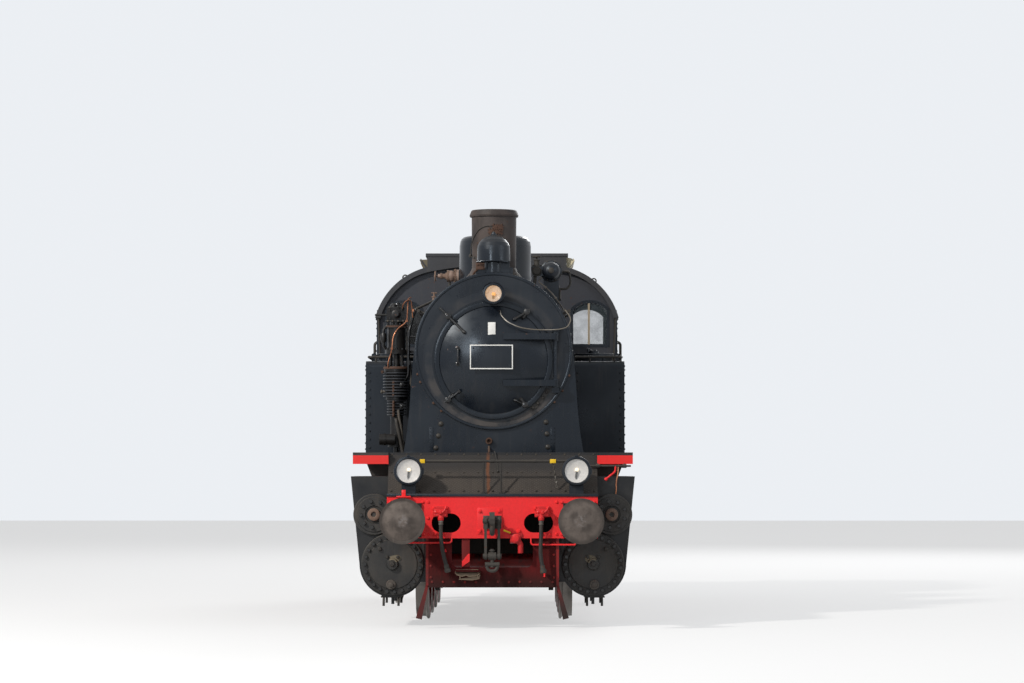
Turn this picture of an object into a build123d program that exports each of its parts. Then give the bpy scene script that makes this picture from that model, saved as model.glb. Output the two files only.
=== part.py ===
"""Eight-coupled side-tank steam locomotive, in millimetres.

The chimney end faces -Y, +X is the engine's left side, and +Z is up. The origin is on the ground line under
the middle of the engine. Heights below are above the rail's top: save() lifts every piece by the flange's
depth, so that the flange tips stand at zero.
"""

from build123d import *
import math
import os

os.makedirs("parts", exist_ok=True)

# Whole engine
OVERHANG = 2275           # from the outer axles to the beams' faces
BUFFER_LENGTH = 650       # from the beam's face to the buffer's face
BUFFER_SPACING = 1750
BUFFER_HEIGHT = 1050
SEAT = 0.3                # gap where two curved faces meet
PIN_FIT = 0.08            # gap all round a turning pin
FREE = 8                  # least gap beside anything that moves

# Wheels
TREAD_R = 600
FLANGE = 28
TYRE_WIDTH = 140
WHEEL_INSIDE = 680        # from the middle line to a wheel's inner face
RIM_R = 505
HUB_R = 150
AXLE_R = 90
WHEELBASE = 1400          # from one axle to the next
SPOKES = 13
SPOKE_WIDTH = 52
CRANK_R = 275
CRANK_LEFT = 135          # degrees from the rear, up and round towards the front
CRANK_RIGHT = 225
RETURN_R = 120            # throw of the return crank's pin
BRAKE_SHAFT_Z = 360      # height of the shafts between the brake blocks
DRIVEN = 2                # the axle that the main rods drive, counted from 0

# Frames and beams
FRAME_X = 650             # middle of each frame plate
FRAME_T = 26
FRAME_TOP = 1272
FRAME_BOTTOM = 400
CROSS_TOP = 1250           # top of the plates between the frames
HORN_WIDTH = 280
HORN_TOP = 800
BEAM_WIDTH = 2100
BEAM_BOTTOM = 870
BEAM_T = 30
BEAM_DEPTH = 160
PLATFORM_TOP = 1310
PLATFORM_T = 17

# Running plate
PLATE_HALF = 1415
PLATE_TOP = 1726
PLATE_T = 30
VALANCE_BOTTOM = 1609
VALANCE_T = 20
PLATE_RUN = 500           # from the beam's face to the running plates' front ends
APRON_RUN = 300           # from the beam's face to the apron's foot
APRON_RISE_RUN = 330      # level length of the slope
GUSSETS = (-1350, 0, 1500, 2880, 4150)

# Cylinders and motion
CYL_X = 1011
CYL_R = 335
COVER_R = 316
COVER_T = 52
CYL_AHEAD = 1775          # from the first axle to the cylinders' front faces
CYL_LENGTH = 900
CHEST_X = 1199
CHEST_Z = 1100
CHEST_R = 209
BLOCK_TOP = 1484
BOSS_OUT = 95             # from a cylinder's end face to its cover's boss
COUPLING_X0 = 852         # inner face of the coupling rods
COUPLING_T = 66
MAIN_X0 = 975             # inner face of the main rods
MAIN_T = 72
MAIN_LENGTH = 2600
BAR_X0 = 1066             # inner face of the slide bars
BAR_WIDTH = 76
BAR_GAP = 190             # between the upper and the lower bar
BAR_T = 52
BRACKET_Y = -1420         # front face of the motion brackets
ECC_X0 = 1208             # inner face of the eccentric rods
ECC_T = 36
LINK_X0 = 1164            # inner face of the expansion links
LINK_T = 36
LINK_Y = -950
LINK_PIVOT = 1060
LINK_FOOT = 690           # height of the pin in the link's foot
LINK_CURVE = 1300         # radius of the expansion link's slot

# Boiler, smokebox and tanks
BOILER_Z = 2776
BOILER_R = 785
SMOKEBOX_R = 816
SMOKEBOX_T = 24
SMOKEBOX_FRONT = -3125
SMOKEBOX_BACK = -1775
DOOR_Z = 2683
DOOR_R = 614
DOOR_MOUTH_R = 560
DOOR_DISH = 120
HINGE_X = 640             # the door's hinge pin
HINGE_OUT = 62            # from the smokebox front to that pin
STRAP_SPREAD = 240        # from the door's middle to each hinge strap
FIREBOX_HALF = 600
FIREBOX_BOTTOM = 1290
TANK_FRONT = -1175
TANK_BACK = 1225
TANK_INSIDE = 640
TANK_SET_BACK = 5         # of the tank's side from the running plate's edge
TANK_TOP = 2730
TANK_GAP = 40             # between a tank and the boiler
NECK_SET_BACK = 120       # from the tank's side to its filler neck
NECK_SIDE = 45            # from the filler neck to the tank's inner edge
NECK_Y = TANK_FRONT + 500
NECK_RISE = 60
LID_HINGE = 52            # from the filler neck's edge to its lid's hinge pin
SKIRT_FOOT = 930          # half width of the saddle's sheets at the running plate
SKIRT_WAIST = 858         # and at the smokebox
CHIMNEY_Y = -2575
CHIMNEY_R = 233
CHIMNEY_BORE = 185
CHIMNEY_TOP = 4270
BELL_Y = -2985
BELL_R = 172
DOME_Y = -1125
DOME_R = 393

# Cab and bunker
CAB_FRONT = 1225
CAB_BACK = 3025
WALL = 40
EAVES = 3300
ROOF_T = 40
ROOF_SKIN = 15
ROOF_OVERHANG = 75
LANTERN_HALF = 806
LANTERN_TOP = 4012
BUNKER_TOP = 2900
DOOR_Y = (2150, 2800)     # the cab door's opening
CAB_DOOR_TOP = 2760
SIDE_WINDOW = (1480, 1980)
WINDOW_SIDE = 90          # from the boiler to the end windows' inner edges

# Pump, lamps, brake hoses and rails
PUMP_X = -1062
PUMP_Y = -1500
LAMP_X = 840
LAMP_RUN = 145            # from the beam's face to the lamps' rims
LAMP_R = 145
LAMP_Z = 1540
HOSE_R = 20
COCK_OUT = 62             # from the beam's face to the middle of a brake hose
COCK_END = 1050           # height where the brake hoses start
COCKS = (499, -517)       # middle of each brake cock's bracket
HOSE_RIGHT = [(-511, 0, 0), (-511, 0, 125), (-505, 4, 240), (-484, 10, 345), (-458, 16, 440)]
HOSE_LEFT = [(486, 0, 0), (486, 0, 130), (480, 4, 255), (479, 9, 360), (496, 14, 448)]
RAIL_RUN = 275            # from the beam's face to the rail over the platform
RAIL_Z = 1637
RAIL_R = 13
GUSSET_T = 16

AXLE_Z = TREAD_R
FRONT_BEAM = -1.5 * WHEELBASE - OVERHANG
REAR_BEAM = -FRONT_BEAM
BUFFER_FACE = FRONT_BEAM - BUFFER_LENGTH
PLATE_FRONT = FRONT_BEAM + PLATE_RUN
APRON_FOOT = FRONT_BEAM + APRON_RUN
APRON_HEAD = APRON_FOOT + APRON_RISE_RUN
APRON_HALF = BEAM_WIDTH / 2 + 5
LAMP_Y = FRONT_BEAM + LAMP_RUN
RAIL_Y = FRONT_BEAM + RAIL_RUN
CYL_FRONT = -1.5 * WHEELBASE - CYL_AHEAD
CYL_BACK = CYL_FRONT + CYL_LENGTH
CAB_HALF = PLATE_HALF - VALANCE_T
UNDER_PLATE = PLATE_TOP - PLATE_T
BEAM_TOP = PLATFORM_TOP - PLATFORM_T
TANK_HALF = PLATE_HALF - TANK_SET_BACK
NECK_R = (TANK_HALF - NECK_SET_BACK - BOILER_R - TANK_GAP - NECK_SIDE) / 2
NECK_X = TANK_HALF - NECK_SET_BACK - NECK_R
BUNKER_BACK = REAR_BEAM
BACKHEAD_Y = CAB_FRONT + 260
HINGE_Y = SMOKEBOX_FRONT - HINGE_OUT
STRAPS = (DOOR_Z - STRAP_SPREAD, DOOR_Z + STRAP_SPREAD)
SADDLE_FRONT = SMOKEBOX_FRONT + 25
AXLES = [(n - 1.5) * WHEELBASE for n in range(4)]
WHEEL_OUTSIDE = WHEEL_INSIDE + TYRE_WIDTH
HUB_OUTSIDE = WHEEL_OUTSIDE + 25
FRAME_OUTSIDE = FRAME_X + FRAME_T / 2
FRAME_INSIDE = FRAME_X - FRAME_T / 2


def block(x, y, z):
    """A box between the two limits given for each direction."""
    size = Box(x[1] - x[0], y[1] - y[0], z[1] - z[0])
    return Pos((x[0] + x[1]) / 2, (y[0] + y[1]) / 2, (z[0] + z[1]) / 2) * size


def round_x(radius, x, y, z):
    """A round bar along X, from x[0] to x[1]."""
    return Pos((x[0] + x[1]) / 2, y, z) * Rot(0, 90, 0) * Cylinder(radius, x[1] - x[0])


def round_y(radius, y, x, z):
    """A round bar along Y, from y[0] to y[1]."""
    return Pos(x, (y[0] + y[1]) / 2, z) * Rot(90, 0, 0) * Cylinder(radius, y[1] - y[0])


def round_z(radius, z, x, y):
    """A round bar upright, from z[0] to z[1]."""
    return Pos(x, y, (z[0] + z[1]) / 2) * Cylinder(radius, z[1] - z[0])


def plate_x(points, x):
    """An outline of (y, z) points, pushed from x[0] to x[1]."""
    plane = Plane(origin=(x[0], 0, 0), x_dir=(0, 1, 0), z_dir=(1, 0, 0))
    return extrude(plane * make_face(Polyline(*points, close=True)), x[1] - x[0])


def plate_y(points, y):
    """An outline of (x, z) points, pushed from y[0] to y[1]."""
    plane = Plane(origin=(0, y[1], 0), x_dir=(1, 0, 0), z_dir=(0, -1, 0))
    return extrude(plane * make_face(Polyline(*points, close=True)), y[1] - y[0])


def turned_y(points, x, z):
    """A turned piece along Y, from (y, radius) points, first and last on the axis."""
    face = make_face(Polyline(*[(radius, y) for y, radius in points], close=True))
    return Pos(x, 0, z) * revolve(face, Axis.Y)


def turned_z(points, x, y):
    """A turned upright piece, from (z, radius) points, first and last on the axis."""
    face = Plane.XZ * make_face(Polyline(*[(radius, z) for z, radius in points], close=True))
    return Pos(x, y, 0) * revolve(face, Axis.Z)


def turned_x(points, y, z):
    """A turned piece along X, from (x, radius) points, first and last on the axis."""
    face = make_face(Polyline(*points, close=True))
    return Pos(0, y, z) * revolve(face, Axis.X)


def pipe(points, radius, bend):
    """A round pipe through the points, with the same bend radius at every corner."""
    path = FilletPolyline(*points, radius=bend) if len(points) > 2 else Polyline(*points)
    return sweep(Plane(origin=path @ 0, z_dir=path % 0) * Circle(radius), path=path)


def mirrored(piece):
    """The same piece on the engine's right side."""
    return mirror(piece, about=Plane.YZ)


def rearward(piece):
    """The same piece at the engine's other end."""
    return mirror(piece, about=Plane.XZ)


def both_ends(pieces):
    """The front pieces and the same ones at the rear."""
    return pieces + [rearward(piece) for piece in pieces]


def pair(piece):
    """The piece and its mirror image, as two solids."""
    return [piece, mirrored(piece)]


def save(name, *pieces):
    """Writes one node, lifted so that the flange tips stand at zero."""
    solids = []
    for piece in pieces:
        if isinstance(piece, (list, tuple)):
            solids += [solid for part in piece for solid in part.solids()]
        else:
            solids += piece.solids()
    whole = Compound(children=[Pos(0, 0, FLANGE) * solid for solid in solids])
    export_step(whole, f"parts/{name}.step")


def crank(radius, degrees, y=0.0):
    """Where a crank pin stands, as (y, z)."""
    turn = math.radians(degrees)
    return y + radius * math.cos(turn), AXLE_Z + radius * math.sin(turn)


# Frames, beams and what is bolted across them

def frame_plates():
    ends = (FRONT_BEAM + BEAM_T, REAR_BEAM - BEAM_T)
    side = block((FRAME_INSIDE, FRAME_OUTSIDE), ends, (FRAME_BOTTOM, FRAME_TOP))
    for y in AXLES:
        half = HORN_WIDTH / 2
        side -= block((FRAME_INSIDE, FRAME_OUTSIDE), (y - half, y + half), (FRAME_BOTTOM, HORN_TOP))
    for y in (-WHEELBASE, 0, WHEELBASE, 3200, -3425):
        hole = extrude(SlotOverall(520, 200), FRAME_T, both=True)
        side -= Pos(FRAME_X, y, 980) * Rot(90, 0, 90) * hole
    return pair(side)


def cross_plates():
    """Plates between the frames: (front, back, bottom, top) of each."""
    table = [(-3650, -3000, 700, CROSS_TOP), (-1415, -1385, 430, CROSS_TOP), (-120, -90, 700, CROSS_TOP),
             (2860, 2890, 430, CROSS_TOP)]
    inside = (-FRAME_INSIDE, FRAME_INSIDE)
    pieces = [block(inside, (y0, y1), (z0, z1)) for y0, y1, z0, z1 in table]
    front = FRONT_BEAM + BEAM_T
    wide, low, high, corner = 404, 581, 850, 60
    mouth = RectangleRounded(2 * wide, high - low + 2 * corner, corner)
    hole = Pos(0, front + 10, (low + high) / 2 + corner) * Rot(90, 0, 0) * extrude(mouth, 40, both=True)
    sheet = block(inside, (front, front + 20), (FRAME_BOTTOM - 20, BEAM_BOTTOM + 20))
    end = sheet - hole
    end += block((-305, -225), (front, front + 20), (low, BEAM_BOTTOM + 20))
    end += block((-364, -125), (front - 120, front), (540, 556))
    return pieces + [end, rearward(end)]


def buffer_beam():
    front = block((-BEAM_WIDTH / 2, BEAM_WIDTH / 2), (FRONT_BEAM, FRONT_BEAM + BEAM_T),
                  (BEAM_BOTTOM, BEAM_TOP))
    edge = (FRONT_BEAM + BEAM_T, FRONT_BEAM + BEAM_DEPTH)
    for x in ((-BEAM_WIDTH / 2, -FRAME_OUTSIDE), (FRAME_OUTSIDE, BEAM_WIDTH / 2)):
        front += block(x, edge, (BEAM_TOP - 20, BEAM_TOP))
        front += block(x, edge, (BEAM_BOTTOM, BEAM_BOTTOM + 20))
    for x in (-460, 460):
        hole = extrude(SlotOverall(290, 190), BEAM_DEPTH, both=True)
        front -= Pos(x, FRONT_BEAM, 1022) * Rot(90, 0, 0) * hole
    return front


def buffers(left_dome, right_dome):
    """Two buffers on the front beam, each with its own dome on the head."""
    pieces = []
    for x, dome in ((BUFFER_SPACING / 2, left_dome), (-BUFFER_SPACING / 2, right_dome)):
        y = FRONT_BEAM
        base = block((x - 170, x + 170), (y - 24, y), (BUFFER_HEIGHT - 170, BUFFER_HEIGHT + 170))
        face = BUFFER_FACE
        points = [(y - 24, 0), (y - 24, 150), (y - 60, 130), (y - 330, 112), (y - 330, 84),
                  (face + 70, 84), (face + 46, 120), (face + 34, 225), (face + dome, 225),
                  (face + dome * 0.35, 130), (face, 50), (face, 0)]
        pieces.append(base + turned_y(points, x, BUFFER_HEIGHT))
    return pieces


def draw_gear():
    """The hook with its screw coupling hanging from it."""
    y = FRONT_BEAM
    z = BUFFER_HEIGHT
    base = block((-90, 90), (y - 26, y), (z - 86, z + 46)) + block((-45, 45), (y - 60, y - 26), (z - 70, z + 46))
    shape = [(y - 60, z - 40), (y - 60, z + 40), (y - 160, z + 36), (y - 200, z + 52), (y - 232, z + 84),
             (y - 250, z + 70), (y - 262, z + 20), (y - 252, z - 30), (y - 222, z - 70), (y - 160, z - 82)]
    hook = plate_x(shape, (-26, 26)) - round_x(28, (-26, 26), y - 205, z + 34)
    hook -= round_x(20, (-26, 26), y - 120, z - 5)
    pin = round_x(19.9, (-95, 95), y - 120, z - 5)
    nut_z, trunnion_z, bow_z = z - 354, z - 436, z - 500
    links = []
    for side in (-1, 1):
        x = (side * 66 - 13, side * 66 + 13)
        bar = plate_x([(y - 144, z - 5), (y - 96, z - 5), (y - 104, nut_z), (y - 136, nut_z)], x)
        links.append(bar + round_x(38, x, y - 120, z - 5) + round_x(36, x, y - 120, nut_z))
    nut = round_x(26, (-92, 92), y - 120, nut_z) + round_x(40, (-38, 38), y - 120, nut_z)
    screw = round_z(20, (trunnion_z - 30, nut_z + 70), 0, y - 120) + round_z(30, (nut_z + 50, nut_z + 62), 0, y - 120)
    trunnion = round_x(24, (-72, 72), y - 120, trunnion_z)
    bow = pipe([(-52, y - 120, trunnion_z), (-52, y - 120, bow_z), (52, y - 120, bow_z), (52, y - 120, trunnion_z)],
               17, 46)
    coupling = links[0] + links[1] + pin + nut + screw + trunnion + bow
    return base + hook + coupling


def guard_irons():
    """Bent bars under the ends of each frame plate, just clear of the rails."""
    y = FRONT_BEAM + BEAM_T + 20
    shape = [(FRAME_INSIDE, FRAME_BOTTOM), (FRAME_OUTSIDE, FRAME_BOTTOM), (FRAME_OUTSIDE + 100, 75),
             (FRAME_OUTSIDE + 40, 60)]
    iron = plate_y(shape, (y, y + 40)) + block((FRAME_INSIDE, FRAME_OUTSIDE), (y, y + 40), (400, 420))
    return pair(iron + rearward(iron))


def axleboxes():
    """Axleboxes in their horns, with leaf springs hung below them."""
    pieces = []
    half = HORN_WIDTH / 2 - SEAT
    for y in AXLES:
        box = block((570, WHEEL_INSIDE - FREE), (y - half, y + half), (430, HORN_TOP - SEAT))
        box -= round_x(AXLE_R + 1, (570, WHEEL_INSIDE), y, AXLE_Z)
        box += block((590, 625), (y - 15, y + 15), (340, 430))
        for n in range(4):
            box += block((575, 625), (y - 420 + n * 95, y + 420 - n * 95), (324 - n * 16, 340 - n * 16))
        hangers = [block((588, 612), (y + s * 400 - 14, y + s * 400 + 14), (340, 470)) for s in (-1, 1)]
        feet = [block((588, FRAME_INSIDE), (y + s * 400 - 30, y + s * 400 + 30), (470, 530)) for s in (-1, 1)]
        for piece in hangers + feet:
            box += piece
        pieces += pair(box)
    return pieces


# Wheels and what turns with them

def wheel(degrees):
    """One wheel on the +X side with its axle line at y = 0, and its crank turned by degrees."""
    inside, outside = WHEEL_INSIDE, WHEEL_OUTSIDE
    tyre = [(inside, RIM_R), (inside, TREAD_R + 14), (inside + 9, TREAD_R + FLANGE),
            (inside + 24, TREAD_R + FLANGE), (inside + 42, TREAD_R + 2), (outside, TREAD_R - 3), (outside, RIM_R)]
    piece = turned_x(tyre, 0, 0)
    piece += round_x(HUB_R, (inside, HUB_OUTSIDE), 0, 0)
    spoke_x = (inside + 35, outside - 35)
    reach = RIM_R + 8
    for n in range(SPOKES):
        outline = [(HUB_R - 20, -SPOKE_WIDTH * 0.62), (reach, -SPOKE_WIDTH / 2), (reach, SPOKE_WIDTH / 2),
                   (HUB_R - 20, SPOKE_WIDTH * 0.62)]
        piece += Rot(360 / SPOKES * (n + 0.5), 0, 0) * plate_x(outline, spoke_x)
    web = [(0, -HUB_R), (CRANK_R, -98), (CRANK_R, 98), (0, HUB_R)]
    boss = plate_x(web, (outside - 60, HUB_OUTSIDE)) + round_x(98, (outside - 60, HUB_OUTSIDE), CRANK_R, 0)
    weight = round_x(RIM_R + 4, (outside - 60, outside), 0, 0) - round_x(370, (0, outside), 0, 0)
    cover = [(0, 0), (-900, -620), (-900, 620)]
    weight = weight & plate_x(cover, (outside - 60, outside))
    piece += boss
    piece += weight
    return Rot(degrees, 0, 0) * piece


def crank_pin(driven):
    """The crank pin at y = CRANK_R; the driven one also carries the return crank."""
    if not driven:
        cap = COUPLING_X0 + COUPLING_T
        return round_x(50, (HUB_OUTSIDE, cap + 3), CRANK_R, 0) + round_x(66, (cap + 3, cap + 18), CRANK_R, 0)
    return round_x(62, (HUB_OUTSIDE, MAIN_X0 + MAIN_T + 12), CRANK_R, 0)


def wheelset(number):
    """Two wheels, their axle and crank pins, in place."""
    y = AXLES[number]
    axle = round_x(AXLE_R, (-WHEEL_INSIDE, WHEEL_INSIDE), 0, 0)
    whole = axle
    for side, degrees in ((1, CRANK_LEFT), (-1, CRANK_RIGHT)):
        one = wheel(degrees) + Rot(degrees, 0, 0) * crank_pin(number == DRIVEN)
        if number == DRIVEN:
            one += return_crank(degrees)
        whole += one if side == 1 else mirrored(one)
    return Pos(0, y, AXLE_Z) * whole


def return_crank(degrees):
    """The arm from the crank pin to the eccentric rod's pin, round an axle at y = 0."""
    x = (MAIN_X0 + MAIN_T + 12, MAIN_X0 + MAIN_T + 50)
    turn = math.radians(degrees)
    y0, z0 = CRANK_R * math.cos(turn), CRANK_R * math.sin(turn)
    lag = math.radians(degrees - 90)
    y1, z1 = RETURN_R * math.cos(lag), RETURN_R * math.sin(lag)
    length = math.hypot(y1 - y0, z1 - z0)
    lean = math.degrees(math.atan2(z1 - z0, y1 - y0))
    arm = plate_x([(0, -68), (length, -46), (length, 46), (0, 68)], x)
    arm += round_x(68, x, 0, 0) + round_x(46, x, length, 0)
    arm = Pos(0, y0, z0) * Rot(lean, 0, 0) * arm
    pin = round_x(32, (x[1], ECC_X0 + ECC_T + 3), y1, z1) + round_x(44, (ECC_X0 + ECC_T + 3, ECC_X0 + ECC_T + 15), y1, z1)
    return arm + pin


def coupling_rod(degrees):
    """The rod over the four crank pins of one side."""
    x = (COUPLING_X0, COUPLING_X0 + COUPLING_T)
    y0, z = crank(CRANK_R, degrees, AXLES[0])
    rod = block(x, (y0, y0 + 3 * WHEELBASE), (z - 55, z + 55))
    for n in range(3):
        y = y0 + n * WHEELBASE
        rod -= block((x[1] - 16, x[1]), (y + 150, y + WHEELBASE - 150), (z - 33, z + 33))
    for n in range(4):
        rod += round_x(92, x, y0 + n * WHEELBASE, z)
    for n in range(4):
        hole = 62 if n == DRIVEN else 50
        rod -= round_x(hole + PIN_FIT, x, y0 + n * WHEELBASE, z)
    return rod


def main_rod(degrees):
    """The rod from the crosshead to the driven crank pin."""
    x = (MAIN_X0, MAIN_X0 + MAIN_T)
    y1, z1 = crank(CRANK_R, degrees, AXLES[DRIVEN])
    lean = math.degrees(math.asin((z1 - AXLE_Z) / MAIN_LENGTH))
    outline = [(0, -62), (-MAIN_LENGTH, -44), (-MAIN_LENGTH, 44), (0, 62)]
    rod = plate_x(outline, x)
    flute = [(-190, -38), (-MAIN_LENGTH + 150, -24), (-MAIN_LENGTH + 150, 24), (-190, 38)]
    rod -= plate_x(flute, (x[1] - 18, x[1]))
    rod += block(x, (-150, 130), (-112, 112))
    rod += round_x(74, x, -MAIN_LENGTH, 0)
    rod -= round_x(62 + PIN_FIT, x, 0, 0)
    return Pos(0, y1, z1) * Rot(-lean, 0, 0) * rod


def eccentric_rod(degrees):
    """From the return crank's pin to the foot of the expansion link."""
    x = (ECC_X0, ECC_X0 + ECC_T)
    y1, z1 = crank(RETURN_R, degrees - 90, AXLES[DRIVEN])
    length = math.hypot(y1 - LINK_Y, z1 - LINK_FOOT)
    lean = math.degrees(math.atan2(LINK_FOOT - z1, LINK_Y - y1))
    rod = plate_x([(0, -30), (length, -24), (length, 24), (0, 30)], x)
    rod += round_x(62, x, 0, 0) + round_x(48, x, length, 0)
    rod += round_x(30, (x[1], x[1] + 14), length, 0)
    rod -= round_x(32 + PIN_FIT, x, 0, 0)
    return Pos(0, y1, z1) * Rot(lean, 0, 0) * rod


def crosshead_y(degrees):
    rise = CRANK_R * math.sin(math.radians(degrees))
    return crank(CRANK_R, degrees, AXLES[DRIVEN])[0] - math.sqrt(MAIN_LENGTH ** 2 - rise ** 2)


def crosshead():
    """Crosshead and piston rod: its cheek and shoes run outside the main rod's plane."""
    y = crosshead_y(CRANK_LEFT)
    shoe = BAR_GAP / 2 - 1
    cheek = block((MAIN_X0 + MAIN_T + FREE, BAR_X0 - 1), (y - 260, y + 110), (AXLE_Z - 88, AXLE_Z + 88))
    shoes = block((BAR_X0 - 1, BAR_X0 + BAR_WIDTH), (y - 160, y + 150), (AXLE_Z - shoe, AXLE_Z + shoe))
    shoes -= block((BAR_X0 + 22, BAR_X0 + BAR_WIDTH), (y - 120, y + 110), (AXLE_Z - 60, AXLE_Z + 60))
    cap = round_x(44, (BAR_X0 + 22, BAR_X0 + 60), y, AXLE_Z)
    socket = block((CYL_X - 54, MAIN_X0 + MAIN_T + FREE), (y - 260, y - 165), (AXLE_Z - 60, AXLE_Z + 60))
    rod = round_y(40, (CYL_BACK - 110, y - 250), CYL_X, AXLE_Z)
    arm = block((BAR_X0 + BAR_WIDTH, BAR_X0 + BAR_WIDTH + 22), (y - 140, y - 60), (AXLE_Z - 230, AXLE_Z + 30))
    return cheek + shoes + cap + socket + rod + arm


def slide_bars():
    y = (CYL_BACK + COVER_T, BRACKET_Y)
    pieces = []
    for low in (AXLE_Z - BAR_GAP / 2 - BAR_T, AXLE_Z + BAR_GAP / 2):
        pieces.append(block((BAR_X0, BAR_X0 + BAR_WIDTH), y, (low, low + BAR_T)))
    return pieces


def cylinder():
    """The cylinder and its valve chest in one casting, from the frame outwards."""
    y = (CYL_FRONT, CYL_BACK)
    outline = [(FRAME_OUTSIDE, 420), (FRAME_OUTSIDE, BLOCK_TOP), (CYL_X + CYL_R + 89, BLOCK_TOP), (CYL_X + CYL_R + 19, 790),
               (CYL_X + CYL_R, AXLE_Z), (CYL_X, AXLE_Z), (CYL_X - 60, 420)]
    piece = plate_y(outline, y) + round_y(CYL_R, y, CYL_X, AXLE_Z)
    for at, out in ((CYL_FRONT, -1), (CYL_BACK, 1)):
        cover = [(0, 0), (0, COVER_R), (36, COVER_R), (44, COVER_R - 8), (44, COVER_R * 0.80), (COVER_T, COVER_R * 0.78),
                 (COVER_T, 62), (BOSS_OUT - 6, 56), (BOSS_OUT, 50), (BOSS_OUT, 0)]
        lid = [(0, 0), (0, CHEST_R), (32, CHEST_R), (40, CHEST_R - 8), (40, CHEST_R * 0.86), (COVER_T, CHEST_R * 0.83),
               (COVER_T, 90), (38, 84), (38, 66), (BOSS_OUT - 20, 62), (BOSS_OUT - 20, 0)]
        for profile, x, z in ((cover, CYL_X, AXLE_Z), (lid, CHEST_X, CHEST_Z)):
            piece += turned_y([(at + out * reach, radius) for reach, radius in profile], x, z)
    for at in (CYL_FRONT + 60, CYL_BACK - 60):
        piece += round_z(16, (AXLE_Z - CYL_R - 70, AXLE_Z - CYL_R + 20), CYL_X, at)
    piece -= round_y(40 + SEAT, (CYL_BACK - 200, CYL_BACK + 200), CYL_X, AXLE_Z)
    return piece


def motion_bracket():
    """Hung from the running plate, it holds the slide bars' rear ends and the link's trunnion."""
    y = (BRACKET_Y, BRACKET_Y + 60)
    lowest = AXLE_Z - BAR_GAP / 2 - BAR_T - 30
    shape = [(BAR_X0, UNDER_PLATE), (BAR_X0, lowest), (BAR_X0 + BAR_WIDTH + 10, lowest),
             (BAR_X0 + BAR_WIDTH + 10, 900), (LINK_X0 - 4, 1020), (CAB_HALF - 10, VALANCE_BOTTOM),
             (CAB_HALF - 10, UNDER_PLATE)]
    piece = plate_y(shape, y)
    piece -= block((LINK_X0 - 10, LINK_X0 + LINK_T + 90), y, (LINK_PIVOT + 30, LINK_PIVOT + 240))
    arm_z = (LINK_PIVOT - 60, LINK_PIVOT + 60)
    piece += block((BAR_X0, LINK_X0 - 20), (y[1], LINK_Y + 70), arm_z)
    piece += round_x(38, (LINK_X0 - 20, LINK_X0), LINK_Y, LINK_PIVOT)
    return piece


def valve_gear():
    """Expansion link, radius rod, combination lever, union link and valve spindle of one side."""
    y0 = crosshead_y(CRANK_LEFT)
    x = (LINK_X0, LINK_X0 + LINK_T)
    centre = LINK_Y - LINK_CURVE
    ring = round_x(LINK_CURVE + 48, x, centre, LINK_PIVOT) - round_x(LINK_CURVE - 48, x, centre, LINK_PIVOT)
    slot = round_x(LINK_CURVE + 20, x, centre, LINK_PIVOT) - round_x(LINK_CURVE - 20, x, centre, LINK_PIVOT)
    link = ring & block(x, (LINK_Y - 200, LINK_Y + 100), (LINK_PIVOT - 260, LINK_PIVOT + 260))
    link -= slot & block(x, (LINK_Y - 200, LINK_Y + 100), (LINK_PIVOT - 215, LINK_PIVOT + 215))
    foot = plate_x([(LINK_Y - 75, LINK_PIVOT - 230), (LINK_Y + 25, LINK_PIVOT - 230), (LINK_Y + 42, LINK_FOOT),
                    (LINK_Y - 42, LINK_FOOT)], x)
    link += foot + round_x(42, x, LINK_Y, LINK_FOOT)
    die = LINK_PIVOT + 120
    lever_y = y0 - 95
    rod_x = (x[1], x[1] + 26)
    lever_x = (x[1] + 26, x[1] + 56)
    link += round_x(19, (x[0], rod_x[1]), LINK_Y - 6, die)
    radius_rod = block(rod_x, (lever_y - 40, LINK_Y + 40), (die - 24, die + 24))
    lever = plate_x([(lever_y - 30, die + 110), (lever_y + 30, die + 110), (lever_y + 24, AXLE_Z - 200),
                     (lever_y - 24, AXLE_Z - 200)], lever_x)
    union = block((BAR_X0 + BAR_WIDTH + 22, lever_x[1]), (lever_y - 24, lever_y + 24),
                  (AXLE_Z - 228, AXLE_Z - 180))
    spindle = round_y(26, (CYL_BACK + BOSS_OUT - 20, lever_y - 60), CHEST_X, CHEST_Z)
    guide = block((CHEST_X - 34, CHEST_X + 34), (lever_y - 130, lever_y + 60), (CHEST_Z - 34, CHEST_Z + 34))
    return [link + radius_rod + lever + union + (guide + spindle)]


def brake_gear():
    """Blocks behind each wheel on hangers from the frame, with a cross shaft to each pair."""
    pieces = []
    for y in AXLES:
        turn = 17
        shoe = round_x(TREAD_R + 56, (WHEEL_INSIDE + 38, WHEEL_OUTSIDE - 8), y, AXLE_Z)
        shoe -= round_x(TREAD_R + 8, (0, WHEEL_OUTSIDE), y, AXLE_Z)
        reach = 900
        side = reach * math.tan(math.radians(turn))
        sector = plate_x([(y, AXLE_Z), (y + reach, AXLE_Z + side), (y + reach, AXLE_Z - side)],
                         (WHEEL_INSIDE + 38, WHEEL_OUTSIDE - 8))
        shoe = shoe & sector
        hang_y = y + TREAD_R + 56
        hanger = block((735, 765), (hang_y - 6, hang_y + 18), (BRAKE_SHAFT_Z, 1180))
        bracket = block((FRAME_OUTSIDE, 765), (hang_y - 12, hang_y + 24), (1120, 1180))
        beam = round_x(22, (-WHEEL_OUTSIDE, WHEEL_OUTSIDE), hang_y + 6, BRAKE_SHAFT_Z)
        whole = shoe + hanger + bracket
        pieces.append(whole + mirrored(whole) + beam)
    return pieces


def ashpan():
    outline = [(880, FIREBOX_BOTTOM), (1920, FIREBOX_BOTTOM), (1700, 500), (1100, 500)]
    return plate_x(outline, (-520, 520))


# Platform, running plates, saddle

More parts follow.
